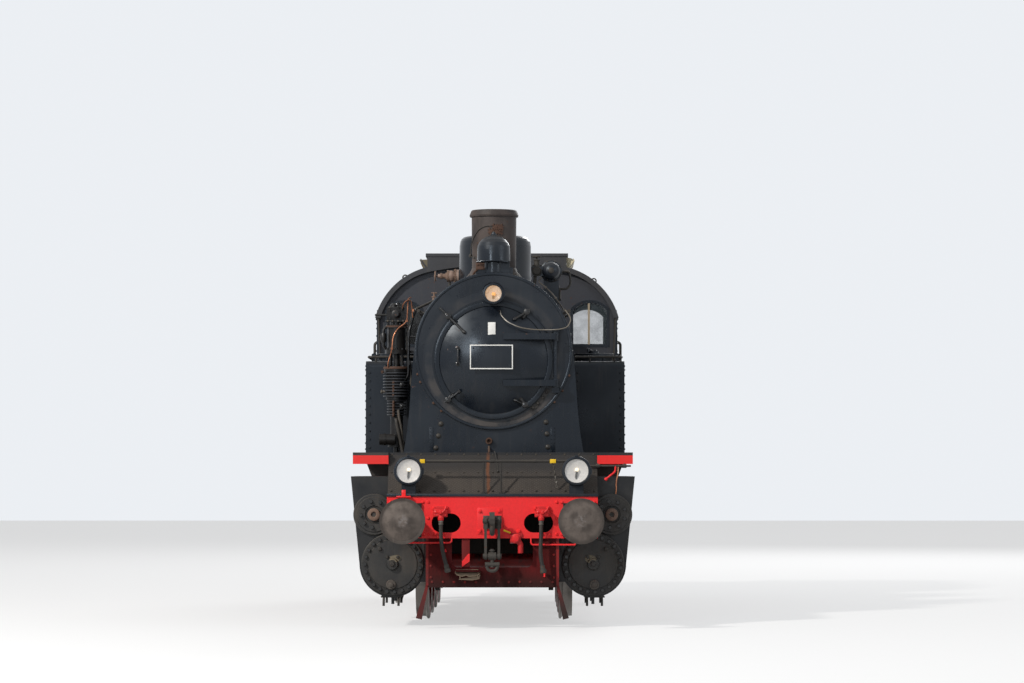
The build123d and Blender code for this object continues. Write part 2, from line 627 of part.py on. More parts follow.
def platform():
    """The platform over the beam, the sloped apron and the deck in front of the saddle."""
    floor = block((-APRON_HALF, APRON_HALF), (FRONT_BEAM - 12, APRON_FOOT), (BEAM_TOP, PLATFORM_TOP))
    back = APRON_HEAD + 20
    slope = [(APRON_FOOT, FRAME_TOP), (APRON_FOOT, PLATFORM_TOP), (APRON_HEAD, PLATE_TOP), (back, PLATE_TOP),
             (back, UNDER_PLATE), (APRON_FOOT + PLATE_T, FRAME_TOP)]
    deck = block((-TANK_INSIDE, TANK_INSIDE), (back, SADDLE_FRONT), (UNDER_PLATE, PLATE_TOP))
    return floor + plate_x(slope, (-APRON_HALF, APRON_HALF)) + deck


def running_plate():
    """One running plate with the valance along its edge and across its front end."""
    z = (UNDER_PLATE, PLATE_TOP)
    strip = block((TANK_INSIDE, PLATE_HALF), (PLATE_FRONT, REAR_BEAM), z)
    strip -= block((0, APRON_HALF), (PLATE_FRONT, APRON_HEAD + 20), z)
    strip += block((PLATE_HALF - VALANCE_T, PLATE_HALF), (PLATE_FRONT, REAR_BEAM), (VALANCE_BOTTOM, z[0]))
    strip += block((APRON_HALF, PLATE_HALF), (PLATE_FRONT, PLATE_FRONT + VALANCE_T), (VALANCE_BOTTOM, z[0]))
    return strip


def running_plate_brackets():
    """Gussets from the frame's top edge out to the valance."""
    outline = [(FRAME_INSIDE, FRAME_TOP), (FRAME_OUTSIDE + 60, FRAME_TOP), (CAB_HALF, VALANCE_BOTTOM),
               (CAB_HALF, UNDER_PLATE), (FRAME_INSIDE, UNDER_PLATE)]
    return [piece for y in GUSSETS for piece in pair(plate_y(outline, (y, y + GUSSET_T)))]


def skirt(side):
    """One edge of the saddle's sheets, from the running plate in and up round the smokebox."""
    foot, waist, edge = side * SKIRT_FOOT, side * SKIRT_WAIST, side * (SMOKEBOX_R + 8)
    knee = BOILER_Z - SMOKEBOX_R / 2
    between = (side * (SKIRT_WAIST + 21), (PLATE_TOP + knee) / 2 + 30)
    return ThreePointArc((foot, PLATE_TOP), between, (waist, knee)) + Line((waist, knee), (edge, BOILER_Z))


def saddle():
    """The casting between the frames, and the flared sheets from the running plate up to the smokebox."""
    y = (SADDLE_FRONT, SMOKEBOX_BACK - 100)
    edge = SMOKEBOX_R + 8
    outline = Line((-SKIRT_FOOT, PLATE_TOP), (SKIRT_FOOT, PLATE_TOP)) + skirt(1)
    outline += Line((edge, BOILER_Z), (-edge, BOILER_Z)) + skirt(-1)
    plane = Plane(origin=(0, y[1], 0), x_dir=(1, 0, 0), z_dir=(0, -1, 0))
    body = block((-FRAME_INSIDE, FRAME_INSIDE), y, (CROSS_TOP, PLATE_TOP))
    body += extrude(plane * make_face(outline), y[1] - y[0])
    return body - round_y(SMOKEBOX_R + SEAT, (SMOKEBOX_FRONT, SMOKEBOX_BACK), 0, BOILER_Z)


# Boiler and what stands on it

def smokebox():
    y = (SMOKEBOX_FRONT, SMOKEBOX_BACK)
    tube = round_y(SMOKEBOX_R, y, 0, BOILER_Z)
    tube -= round_y(SMOKEBOX_R - SMOKEBOX_T, (y[0] + SMOKEBOX_T, y[1]), 0, BOILER_Z)
    tube -= round_y(DOOR_MOUTH_R, (y[0], y[0] + SMOKEBOX_T), 0, DOOR_Z)
    tube -= round_z(CHIMNEY_BORE, (BOILER_Z, BOILER_Z + SMOKEBOX_R), 0, CHIMNEY_Y)
    return tube


def dished(y, radius, dish):
    """A shallow dome bulging to -Y from a rim at y."""
    ball = (radius ** 2 + dish ** 2) / (2 * dish)
    face = make_face(Line((0, y), (radius, y)) + ThreePointArc(
        (radius, y), (radius / 2, y + ball - dish - math.sqrt(ball ** 2 - radius ** 2 / 4)), (0, y - dish))
        + Line((0, y - dish), (0, y)))
    return revolve(face, Axis.Y)


def smokebox_door():
    """Dished door with its rim, hinge straps and dogs."""
    y = SMOKEBOX_FRONT - 1
    dome = dished(y - 24, DOOR_R - 40, DOOR_DISH) - dished(y - 14, DOOR_R - 60, DOOR_DISH - 4)
    rim = round_y(DOOR_R, (y - 30, y), 0, 0) - round_y(DOOR_R - 60, (y - 30, y), 0, 0)
    door = Pos(0, 0, DOOR_Z) * (dome + rim)
    for z in STRAPS:
        strap = block((100, HINGE_X), (y - 160, y - 8), (z - 32, z + 32))
        strap -= Pos(0, 0, DOOR_Z) * dished(y - 24, DOOR_R - 40, DOOR_DISH)
        strap = strap & block((100, HINGE_X + 60), (y - 152, y - 30), (z - 40, z + 40))
        door += strap + round_z(34, (z - 45, z + 45), HINGE_X, HINGE_Y)
    for z in STRAPS:
        door -= round_z(20 + PIN_FIT, (z - 60, z + 60), HINGE_X, HINGE_Y)
    return door


def door_hinge():
    """The fixed pin and its two lugs on the smokebox front."""
    pin = round_z(20, (STRAPS[0] - 90, STRAPS[1] + 90), HINGE_X, HINGE_Y)
    for z in (STRAPS[0] - 74, STRAPS[1] + 74):
        pin += block((HINGE_X - 40, HINGE_X + 40), (HINGE_Y - 30, SMOKEBOX_FRONT), (z - 24, z + 24))
    return pin


def boiler():
    barrel = round_y(BOILER_R, (SMOKEBOX_BACK, BACKHEAD_Y), 0, BOILER_Z)
    firebox = block((-FIREBOX_HALF, FIREBOX_HALF), (100, BACKHEAD_Y), (FIREBOX_BOTTOM, BOILER_Z))
    return barrel + firebox


def chimney():
    """Cast chimney: flared foot, slightly tapered barrel and rounded lip."""
    z = BOILER_Z + math.sqrt(SMOKEBOX_R ** 2 - 255 ** 2) - 40
    lip = CHIMNEY_TOP
    points = [(z, CHIMNEY_BORE), (z, 320), (z + 62, 290), (z + 104, 252), (z + 150, CHIMNEY_R - 2),
              (lip - 74, CHIMNEY_R + 2), (lip - 70, CHIMNEY_R + 20), (lip - 52, CHIMNEY_R + 24),
              (lip - 10, CHIMNEY_R + 8), (lip, CHIMNEY_R), (lip, CHIMNEY_BORE)]
    body = turned_z(points, 0, CHIMNEY_Y)
    return body - round_y(SMOKEBOX_R + SEAT, (SMOKEBOX_FRONT, SMOKEBOX_BACK), 0, BOILER_Z)


def dome():
    """Steam dome with its stop valve on the right side."""
    top, radius = 4094, DOME_R
    points = [(3400, 0), (3400, radius + 70), (3530, radius + 12), (3600, radius), (top - 110, radius - 4),
              (top - 60, radius - 12), (top - 34, radius - 24), (top - 14, radius - 46), (top - 5, radius - 80),
              (top, radius - 160), (top, 0)]
    body = turned_z(points, 0, DOME_Y)
    z = 3659
    valve = round_x(72, (-radius - 32, -radius + 20), DOME_Y, z)
    valve += Pos(-radius - 90, DOME_Y, z) * Sphere(62)
    valve += round_x(24, (-radius - 235, -radius - 90), DOME_Y, z)
    valve += round_x(52, (-radius - 268, -radius - 254), DOME_Y, z) + round_x(10, (-radius - 275, -radius - 90), DOME_Y, z)
    return body + valve - round_y(BOILER_R + SEAT, (-2000, 0), 0, BOILER_Z)


def bell():
    """Round-topped steam bell on its foot at the front of the smokebox's top."""
    low, high = 3713, 3984
    rim = low + 118
    rise = high - rim
    arc = [(rim + rise * math.sin(math.radians(a)), BELL_R * math.cos(math.radians(a))) for a in (15, 30, 45, 60, 75)]
    points = [(3560, 0), (3560, 100), (low + 40, 100), (low + 40, 138), (low, 148), (low, BELL_R)]
    points += [(rim, BELL_R - 2)] + arc + [(high, 30), (high + 18, 26), (high + 18, 0)]
    piece = turned_z(points, 0, BELL_Y)
    piece += block((-77, 165), (BELL_Y - 70, BELL_Y + 100), (3560, low - 4))
    piece += block((-185, 200), (BELL_Y - 60, BELL_Y + 130), (3480, 3645))
    return piece - round_y(SMOKEBOX_R + SEAT, (SMOKEBOX_FRONT, SMOKEBOX_BACK), 0, BOILER_Z)


def turbo_generator():
    """Turbine casing in front, generator drum behind, on a bracket."""
    x, z, y = 600, 3634, -2520
    drum = turned_y([(y, 0), (y, 88), (y - 26, 112), (y - 70, 112), (y - 76, 98), (y - 110, 94), (y - 142, 80),
                     (y - 164, 56), (y - 176, 28), (y - 179, 0)], x, z)
    body = round_y(92, (y, y + 290), x, z) + round_y(104, (y + 290, y + 320), x, z)
    inlet = block((x - 195, x - 80), (y - 110, y - 30), (z - 55, z + 45))
    foot = block((x - 80, x + 80), (y - 40, y + 240), (3200, z - 60))
    foot -= round_y(SMOKEBOX_R + SEAT, (SMOKEBOX_FRONT, SMOKEBOX_BACK), 0, BOILER_Z)
    return drum + body + inlet + foot


def air_pump():
    """Steam cylinder on top of two ribbed air cylinders, held to the boiler by a bracket."""
    x, y = PUMP_X, PUMP_Y
    sections = [  # bottom, top, radius
        (1790, 1850, 95), (1850, 2126, 70), (2126, 2300, 78), (2300, 2321, 120), (2321, 2601, 118),
        (2601, 2655, 138), (2655, 2796, 36), (2796, 2840, 120), (2840, 3075, 98), (3075, 3110, 116),
        (3110, 3141, 70)]
    profile = [(low, 0) for low, _, _ in sections[:1]]
    for low, high, radius in sections:
        profile += [(low, radius), (high, radius)]
    profile.append((sections[-1][1], 0))
    piece = turned_z(profile, x, y)
    ribs = [(2140, 2290, 6, 106), (2340, 2590, 9, 148)]  # bottom, top, count, radius
    for low, high, count, radius in ribs:
        for n in range(count):
            z = low + (high - low) * n / (count - 1)
            piece += round_z(radius, (z - 6, z + 6), x, y)
    piece += block((x - 105, x + 95), (y - 90, y + 90), (3141, 3300))
    for angle in range(45, 360, 90):
        turn = math.radians(angle)
        piece += round_z(13, (2650, 2800), x + 88 * math.cos(turn), y + 88 * math.sin(turn))
    piece += round_z(34, (PLATE_TOP, 1800), x, y)
    filt = round_x(58, (x - 180, x - 10), y - 120, 1872) + round_x(66, (x - 130, x - 110), y - 120, 1872)
    filt += block((x - 40, x - 10), (y - 140, y), (1850, 1900))
    arm = block((x + 60, -700), (y - 40, y + 40), (2806, 2832)) + block((x + 60, -700), (y - 40, y + 40), (2620, 2646))
    arm -= round_y(BOILER_R + SEAT, (SMOKEBOX_BACK, 0), 0, BOILER_Z)
    return piece + filt + arm


def tank():
    body = block((TANK_INSIDE, TANK_HALF), (TANK_FRONT, TANK_BACK), (PLATE_TOP, TANK_TOP))
    body = fillet(body.edges().filter_by(Axis.X).group_by(Axis.Z)[-1].sort_by(Axis.Y)[0], 60)
    body -= round_y(BOILER_R + TANK_GAP, (TANK_FRONT, TANK_BACK), 0, BOILER_Z)
    neck = round_z(NECK_R, (TANK_TOP, TANK_TOP + NECK_RISE), NECK_X, NECK_Y)
    return body + neck


def tank_lid():
    """Lid on the filler neck, hinged at its outer edge."""
    x, y, z = NECK_X, NECK_Y, TANK_TOP + NECK_RISE + SEAT
    hinge_x = x + NECK_R + LID_HINGE
    lid = round_z(NECK_R + 22, (z, z + 26), x, y) + round_z(60, (z + 26, z + 60), x, y)
    lug = block((x + NECK_R - 10, hinge_x), (y - 40, y + 40), (z, z + 26))
    knuckle = round_y(26, (y - 40, y + 40), hinge_x, z + 13)
    return lid + lug + knuckle - round_y(12 + PIN_FIT, (y - 60, y + 60), hinge_x, z + 13)


def lid_hinge():
    x, y, z = NECK_X + NECK_R + LID_HINGE, NECK_Y, TANK_TOP + NECK_RISE + SEAT
    piece = round_y(12, (y - 90, y + 90), x, z + 13)
    for s in (-1, 1):
        piece += block((x - 22, x + 22), (y + s * 70 - 22, y + s * 70 + 22), (TANK_TOP, z + 30))
    return piece


# Cab and bunker

def roof_outline(shrink, low):
    """The cab's cross-section above a level, with its arched top, as a face of (x, z)."""
    x, top = CAB_HALF - shrink, EAVES - shrink * 0.3
    shoulder = (CAB_HALF - 625 - shrink * 0.4, EAVES + 580 - shrink)
    mid = (CAB_HALF - 205 - shrink * 0.8, EAVES + 355 - shrink * 0.7)
    lines = Line((-x, low), (x, low)) + Line((x, low), (x, top))
    lines += ThreePointArc((x, top), mid, shoulder)
    lines += ThreePointArc(shoulder, (0, EAVES + 650 - shrink), (-shoulder[0], shoulder[1]))
    lines += ThreePointArc((-shoulder[0], shoulder[1]), (-mid[0], mid[1]), (-x, top))
    lines += Line((-x, top), (-x, low))
    return make_face(lines)


def arch(shrink, low, y):
    plane = Plane(origin=(0, y[1], 0), x_dir=(1, 0, 0), z_dir=(0, -1, 0))
    return extrude(plane * roof_outline(shrink, low), y[1] - y[0])


def arched_window(x, z, y):
    """A window hole with an arched top, through a wall between y[0] and y[1]."""
    width = x[1] - x[0]
    rise = width * 0.22
    lines = Polyline((x[0], z[1] - rise), (x[0], z[0]), (x[1], z[0]), (x[1], z[1] - rise))
    lines += ThreePointArc((x[1], z[1] - rise), ((x[0] + x[1]) / 2, z[1]), (x[0], z[1] - rise))
    plane = Plane(origin=(0, y[1], 0), x_dir=(1, 0, 0), z_dir=(0, -1, 0))
    return extrude(plane * make_face(lines), y[1] - y[0])


def cab_end(y, boiler_hole):
    """A cab end wall from the floor to the roof, with its two windows."""
    wall = arch(ROOF_T + SEAT, PLATE_TOP, y) & block((-CAB_HALF + WALL, CAB_HALF - WALL), y, (PLATE_TOP, 5000))
    near, far = BOILER_R + WINDOW_SIDE, CAB_HALF - 114
    for x in ((near, far), (-far, -near)):
        wall -= arched_window(x, (EAVES - 313, EAVES + 186), y)
    if boiler_hole:
        wall -= round_y(BOILER_R + SEAT, y, 0, BOILER_Z)
        wall -= block((-FIREBOX_HALF - SEAT, FIREBOX_HALF + SEAT), y, (PLATE_TOP, BOILER_Z))
    return wall


def cab_side():
    side = block((CAB_HALF - WALL, CAB_HALF), (CAB_FRONT, CAB_BACK), (PLATE_TOP, EAVES))
    side -= block((0, CAB_HALF), DOOR_Y, (PLATE_TOP, EAVES - 180))
    side -= block((0, CAB_HALF), SIDE_WINDOW, (2640, 3120))
    pin = round_z(14, (1800, 2700), CAB_HALF - WALL - 24, DOOR_Y[1] + 26)
    for z in (1820, 2240, 2680):
        pin += block((CAB_HALF - WALL - 40, CAB_HALF - WALL), (DOOR_Y[1] + 8, DOOR_Y[1] + 44), (z - 20, z + 20))
    return side + pin


def cab_door():
    """Half-height door that swings into the cab about its rear edge."""
    x = CAB_HALF - WALL
    panel = block((x - 20, x - 0.5), (DOOR_Y[0] + 6, DOOR_Y[1] - 6), (PLATE_TOP + 12, CAB_DOOR_TOP))
    for z in (2030, 2460):
        panel += block((x - 24, x - 8), (DOOR_Y[1] - 40, DOOR_Y[1] + 26), (z - 40, z + 40))
        panel += round_z(24, (z - 40, z + 40), x - 24, DOOR_Y[1] + 26)
    for z in (2030, 2460):
        panel -= round_z(14 + PIN_FIT, (z - 60, z + 60), x - 24, DOOR_Y[1] + 26)
    return panel


def cab_roof():
    """Arched roof with a flat-topped lantern, whose side flaps stand open."""
    y = (CAB_FRONT - ROOF_OVERHANG, CAB_BACK + ROOF_OVERHANG)
    shell = arch(-ROOF_SKIN, EAVES, y) - arch(ROOF_T, EAVES - 200, y)
    vent = (y[0] + 12, CAB_BACK - 250)
    box = block((-LANTERN_HALF, LANTERN_HALF), vent, (3700, LANTERN_TOP)) - arch(-ROOF_SKIN, EAVES, y)
    box += block((-LANTERN_HALF - 19, LANTERN_HALF + 19), (vent[0] - 12, vent[1] + 20), (LANTERN_TOP, LANTERN_TOP + 35))
    flap = plate_y([(LANTERN_HALF - 4, 3878), (LANTERN_HALF + 12, 3872), (LANTERN_HALF + 92, 3972),
                    (LANTERN_HALF + 76, 3990)], (vent[0] + 60, vent[1] - 60))
    return shell + box + flap + mirrored(flap)


def cab_floor():
    floor = block((-TANK_INSIDE, TANK_INSIDE), (CAB_FRONT, CAB_BACK), (UNDER_PLATE, PLATE_TOP))
    return floor - block((-FIREBOX_HALF, FIREBOX_HALF), (0, BACKHEAD_Y), (0, 3000))


def backhead():
    """Fire door, gauges and regulator on the boiler's rear face."""
    y = BACKHEAD_Y
    piece = block((-190, 190), (y, y + 40), (2150, 2420))
    piece += block((-300, 300), (y, y + 20), (3100, 3300))
    piece += round_y(30, (y, y + 120), 0, 2900) + block((-320, 60), (y + 90, y + 120), (2880, 2920))
    piece += block((-30, 30), (y, y + 20), (2420, 3100))
    return piece


def bunker():
    y = (CAB_BACK, BUNKER_BACK)
    outer = block((-CAB_HALF, CAB_HALF), y, (PLATE_TOP, BUNKER_TOP))
    inner = block((-CAB_HALF + WALL, CAB_HALF - WALL), (y[0] + WALL, y[1] - WALL), (PLATE_TOP + 200, BUNKER_TOP))
    return outer - inner


def cab_steps():
    y = ((DOOR_Y[0] + DOOR_Y[1]) / 2 - 190, (DOOR_Y[0] + DOOR_Y[1]) / 2 + 190)
    ladder = block((CAB_HALF - 125, CAB_HALF - 109), y, (440, UNDER_PLATE))
    for z in (440, 860, 1280):
        ladder += block((CAB_HALF - 245, CAB_HALF), y, (z, z + 24))
    return pair(ladder)


def headlamp(x, y, base, centre, radius):
    """A round lamp on a tapered foot, facing the front."""
    drum = turned_y([(y, 0), (y, radius - 24), (y - 30, radius - 24), (y - 30, radius), (y + 50, radius),
                     (y + 190, radius * 0.6), (y + 190, 0)], x, centre)
    foot = block((x - 70, x + 70), (y + 20, y + 150), (base, centre))
    return drum + foot


def headlamps():
    """Two lamps on the platform, two on the rear beam and one above the bunker's rear wall."""
    low = [headlamp(x, LAMP_Y, PLATFORM_TOP, LAMP_Z, LAMP_R) for x in (-LAMP_X, LAMP_X)]
    rear = [rearward(headlamp(x, -REAR_BEAM - 40, BEAM_TOP, 1500, 130)) for x in (-LAMP_X, LAMP_X)]
    top = rearward(headlamp(0, -BUNKER_BACK - 130, BUNKER_TOP, BUNKER_TOP + 180, 110))
    return low + rear + [top]


def door_lamp():
    """The upper lamp, carried by the smokebox door's rim."""
    back = SMOKEBOX_FRONT - 31
    y = back - 200
    drum = turned_y([(y, 0), (y, 86), (y - 30, 86), (y - 30, 113), (y + 50, 113), (y + 140, 70), (y + 140, 0)],
                    0, 3359)
    return drum + block((-40, 40), (y + 100, back), (3250, 3290))


def reservoirs():
    tank_y = (2910, 4130)
    piece = turned_y([(tank_y[0], 0), (tank_y[0], 90), (tank_y[0] + 60, 190), (tank_y[1] - 60, 190),
                      (tank_y[1], 90), (tank_y[1], 0)], 980, 1380)
    for y in (3150, 3900):
        piece += block((840, 1120), (y - 20, y + 20), (1480, UNDER_PLATE))
    return pair(piece)


def handrails():
    """Rails on the smokebox sides and at the cab's front corners, on short posts."""
    pieces = []
    z = BOILER_Z + 420
    x = math.sqrt((SMOKEBOX_R + 70) ** 2 - 420 ** 2)
    rail = round_y(17, (SMOKEBOX_FRONT + 60, SMOKEBOX_BACK - 60), x, z)
    for y in (SMOKEBOX_FRONT + 120, SMOKEBOX_BACK - 120):
        post = Pos(0, y, BOILER_Z) * Rot(0, 90 - math.degrees(math.asin(420 / (SMOKEBOX_R + 70))), 0)
        rail += post * Pos(0, 0, SMOKEBOX_R + 30) * Cylinder(14, 80)
    rail -= round_y(SMOKEBOX_R + SEAT, (SMOKEBOX_FRONT, SMOKEBOX_BACK), 0, BOILER_Z)
    pieces += pair(rail)
    grip = pipe([(CAB_HALF, DOOR_Y[0] - 70, 1950), (CAB_HALF + 60, DOOR_Y[0] - 70, 1950),
                 (CAB_HALF + 60, DOOR_Y[0] - 70, 3050), (CAB_HALF, DOOR_Y[0] - 70, 3050)], 16, 40)
    pieces += pair(grip)
    return pieces


def rails():
    """The rail over the platform with its middle staple, and the rails along the tank tops."""
    bar = round_x(RAIL_R, (-LAMP_X, LAMP_X), RAIL_Y, RAIL_Z)
    for x in (-LAMP_X, LAMP_X):
        bar -= round_y(LAMP_R, (RAIL_Y - 100, RAIL_Y + 100), x, LAMP_Z)
    staple = pipe([(-90, RAIL_Y, PLATFORM_TOP), (-90, RAIL_Y, RAIL_Z + 4), (86, RAIL_Y, RAIL_Z + 4),
                   (86, RAIL_Y, PLATFORM_TOP)], 9, 30)
    z = TANK_TOP + 45
    grip = pipe([(869, TANK_FRONT + 45, z), (TANK_HALF - 30, TANK_FRONT + 45, z), (TANK_HALF - 30, TANK_BACK - 60, z)],
                14, 40)
    for x, y in ((1033, TANK_FRONT + 45), (TANK_HALF - 110, TANK_FRONT + 45), (TANK_HALF - 30, 0),
                 (TANK_HALF - 30, TANK_BACK - 120)):
        grip += round_z(11, (TANK_TOP, z), x, y)
    return [bar + staple] + pair(grip)


def brake_cock(x, spout):
    """Cock of a brake hose on its flanged bracket, with its spout pointing down."""
    y = FRONT_BEAM - COCK_OUT
    piece = block((x - 76, x + 76), (FRONT_BEAM - 16, FRONT_BEAM), (1146, 1186))
    piece += block((x - 34, x + 34), (y - 24, FRONT_BEAM), (1104, 1166)) + round_x(25, (x - 66, x + 66), y, 1128)
    piece += turned_z([(COCK_END, 0), (COCK_END, 28), (COCK_END + 24, 31), (COCK_END + 92, 22), (COCK_END + 92, 0)],
                      spout, y)
    return piece


def angle_cock():
    """The main brake pipe's cock below the beam's middle."""
    x, y, z = 235, FRONT_BEAM - 70, 872
    piece = block((x - 62, x + 62), (FRONT_BEAM - 14, FRONT_BEAM), (z - 4, z + 50))
    piece += round_y(34, (y, FRONT_BEAM), x, z + 10) + round_x(40, (x - 58, x + 40), y, z - 10)
    return piece + pipe([(x + 20, y, z - 20), (x + 46, y, z - 60), (x + 46, y, z - 148)], 27, 24)


def hose_points(route):
    """The route's points, from (x, forward, down) of each."""
    return [(x, FRONT_BEAM - COCK_OUT - out, COCK_END - down) for x, out, down in route]


def hose(route):
    """A hanging brake hose: straight runs joined by arcs as large as they allow."""
    points = hose_points(route)
    radii = []
    for before, here, after in zip(points, points[1:], points[2:]):
        first, second = Vector(*here) - Vector(*before), Vector(*after) - Vector(*here)
        turn = math.radians(first.get_angle(second))
        radii.append(0.45 * min(first.length, second.length) / math.tan(turn / 2))
    path = FilletPolyline(*points, radius=radii)
    print("hose length", round(path.length), "bend radii", [round(radius) for radius in radii])
    return sweep(Plane(origin=path @ 0, z_dir=path % 0) * Circle(HOSE_R), path=path)


def hose_head(route):
    """The coupling head on a hose's lower end, with its claw."""
    before, end = hose_points(route)[-2:]
    along = Vector(*end) - Vector(*before)
    head = turned_z([(0, 0), (0, 25), (38, 25), (44, 32), (72, 32), (80, 22), (80, 0)], 0, 0)
    head += block((-12, 12), (-64, 0), (46, 70)) + round_x(15, (-12, 12), -60, 58)
    return Plane(origin=end, x_dir=(1, 0, 0), z_dir=along) * head


def pipework():
    """Steam pipe from the dome's valve to the pump, its lower end to the boiler, and the pump's waste pipe."""
    y = PUMP_Y - 64
    steam = pipe([(-DOME_R - 105, DOME_Y, 3610), (-DOME_R - 105, DOME_Y, 3470), (-862, DOME_Y - 180, 3290),
                  (-894, y, 3215), (-938, y, 3020), (-941, y, 2850), (-905, y, 2560), (-905, y, 2420), (-700, y, 2420)],
                 14, 60)
    steam -= Pos(-DOME_R - 90, DOME_Y, 3659) * Sphere(62 + SEAT)
    steam -= round_y(BOILER_R + SEAT, (SMOKEBOX_BACK, 0), 0, BOILER_Z)
    waste = pipe([(PUMP_X - 2, PUMP_Y - 60, 2096), (PUMP_X - 2, PUMP_Y - 122, 2096), (-984, PUMP_Y - 122, 1700)],
                 19, 40)
    waste -= round_z(71, (1850, 2127), PUMP_X, PUMP_Y)
    return [steam, waste & block((-1400, -800), (-2000, -1000), (PLATE_TOP, 2400))]


def write_all():
    save("frame_plates", [plate + iron for plate, iron in zip(frame_plates(), guard_irons())])
    save("cross_plates", cross_plates())
    save("front_beam", buffer_beam())
    save("rear_beam", rearward(buffer_beam()))
    save("buffers", both_ends(buffers(20, 46)))
    save("draw_gear", both_ends([draw_gear()]))
    save("axleboxes", axleboxes())
    for number in range(4):
        save(f"wheelset_{number + 1}", wheelset(number))
    save("coupling_rod_left", coupling_rod(CRANK_LEFT))
    save("coupling_rod_right", mirrored(coupling_rod(CRANK_RIGHT)))
    save("main_rod_left", main_rod(CRANK_LEFT))
    save("main_rod_right", mirrored(main_rod(CRANK_RIGHT)))
    save("eccentric_rod_left", eccentric_rod(CRANK_LEFT))
    save("eccentric_rod_right", mirrored(eccentric_rod(CRANK_RIGHT)))
    save("crossheads", pair(crosshead()))
    save("slide_bars", [piece for bar in slide_bars() for piece in pair(bar)])
    save("cylinders", pair(cylinder()))
    save("motion_brackets", pair(motion_bracket()))
    save("valve_gear", [side for piece in valve_gear() for side in pair(piece)])
    save("brake_gear", brake_gear())
    save("ashpan", ashpan())
    save("platform", platform())
    save("running_plates", pair(running_plate()))
    save("running_plate_brackets", running_plate_brackets())
    save("saddle", saddle())
    save("smokebox", smokebox())
    save("smokebox_door", smokebox_door())
    save("door_hinge", door_hinge())
    save("boiler", boiler())
    save("chimney", chimney())
    save("dome", dome())
    save("bell", bell())
    save("turbo_generator", turbo_generator())
    save("air_pump", air_pump())
    save("tanks", pair(tank() + lid_hinge()))
    save("tank_lid_left", tank_lid())
    save("tank_lid_right", mirrored(tank_lid()))
    save("cab_front", cab_end((CAB_FRONT, CAB_FRONT + WALL), True))
    save("cab_rear", cab_end((CAB_BACK - WALL, CAB_BACK), False))
    save("cab_sides", pair(cab_side()))
    save("cab_door_left", cab_door())
    save("cab_door_right", mirrored(cab_door()))
    save("cab_roof", cab_roof())
    save("cab_floor", cab_floor())
    save("backhead", backhead())
    save("bunker", bunker())
    save("cab_steps", cab_steps())
    save("headlamps", headlamps())
    save("door_lamp", door_lamp())
    save("reservoirs", reservoirs())
    save("handrails", handrails(), rails())
    front = [brake_cock(COCKS[0], HOSE_LEFT[0][0]), brake_cock(COCKS[1], HOSE_RIGHT[0][0]), angle_cock()]
    save("brake_cocks", both_ends(front))
    save("brake_hose_left", hose(HOSE_LEFT))
    save("brake_hose_right", hose(HOSE_RIGHT))
    save("hose_head_left", hose_head(HOSE_LEFT))
    save("hose_head_right", hose_head(HOSE_RIGHT))
    save("pipework", pipework())


write_all()
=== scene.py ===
# %% [markdown]
# # Dressing a side-tank steam locomotive
# The engine's solids come from the imported model: frames, wheels, boiler, cab. This script adds what a
# model of its structure lacks: paint with soot, dust and some painted light and shade on it, rivets and
# bolts, lamp glass, pipes, the brake hoses and the small fittings of the front. Every piece is made in
# place, in metres, and all but the lamp's cable are then told which body of the engine they ride on.

import math

import bmesh
import bpy
from mathutils import Matrix, Vector


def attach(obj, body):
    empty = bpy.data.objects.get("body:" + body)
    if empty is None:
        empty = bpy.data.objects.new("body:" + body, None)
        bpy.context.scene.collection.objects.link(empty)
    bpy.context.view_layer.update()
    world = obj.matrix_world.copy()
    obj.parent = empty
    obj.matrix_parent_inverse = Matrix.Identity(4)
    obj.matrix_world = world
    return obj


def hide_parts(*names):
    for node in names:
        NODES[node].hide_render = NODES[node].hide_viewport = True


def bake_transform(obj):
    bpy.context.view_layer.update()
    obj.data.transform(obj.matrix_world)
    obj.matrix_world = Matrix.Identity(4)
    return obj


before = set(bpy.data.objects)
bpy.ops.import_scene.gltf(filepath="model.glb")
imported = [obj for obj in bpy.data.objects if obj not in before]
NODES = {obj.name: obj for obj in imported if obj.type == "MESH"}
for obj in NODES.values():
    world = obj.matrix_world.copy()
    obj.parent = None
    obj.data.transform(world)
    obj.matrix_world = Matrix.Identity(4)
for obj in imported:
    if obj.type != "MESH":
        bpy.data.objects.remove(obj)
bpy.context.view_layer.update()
scene = bpy.context.scene
scene.view_settings.view_transform = "Standard"

# %% [markdown]
# ## Places in millimetres
# Sizes on a locomotive are given from its middle line, along its length, and above the line on which its
# wheels roll. They could be typed in metres, but a drawing has millimetres, and one small function turns
# those into Blender's metres. The flanges hang below the rolling line, so height zero is at their tips.

# %% Places
FLANGE = 28


def at(x, y, h):
    """Metres from millimetres: across (+ is the engine's left), along (- is the front), and up."""
    return Vector((x / 1000, y / 1000, (h + FLANGE) / 1000))


def mm(value):
    return value / 1000


FRONT_BEAM = -4375
REAR_BEAM = 4375
PLATFORM = 1310
DECK = 1726
BOILER_H = 2776
SMOKEBOX_R = 816
SMOKEBOX_FRONT = -3125
BOILER_R = 785
DOOR_H = 2683
DOOR_R = 614
DISH = 120
TANK_FRONT, TANK_BACK, TANK_TOP, TANK_HALF = -1175, 1225, 2730, 1410
CAB_FRONT, CAB_BACK, CAB_HALF, EAVES = 1225, 3025, 1395, 3300
BUFFER_X, BUFFER_H, BUFFER_FACE = 875, 1050, 5025
AXLES = (-2100, -700, 700, 2100)
AXLE_H = 600
CYL_X, CYL_FRONT, CYL_BACK = 1011, -3875, -2975
CHEST_X, CHEST_H = 1199, 1100
LAMP_X, LAMP_Y, LAMP_H, LAMP_R = 840, -4230, 1540, 145

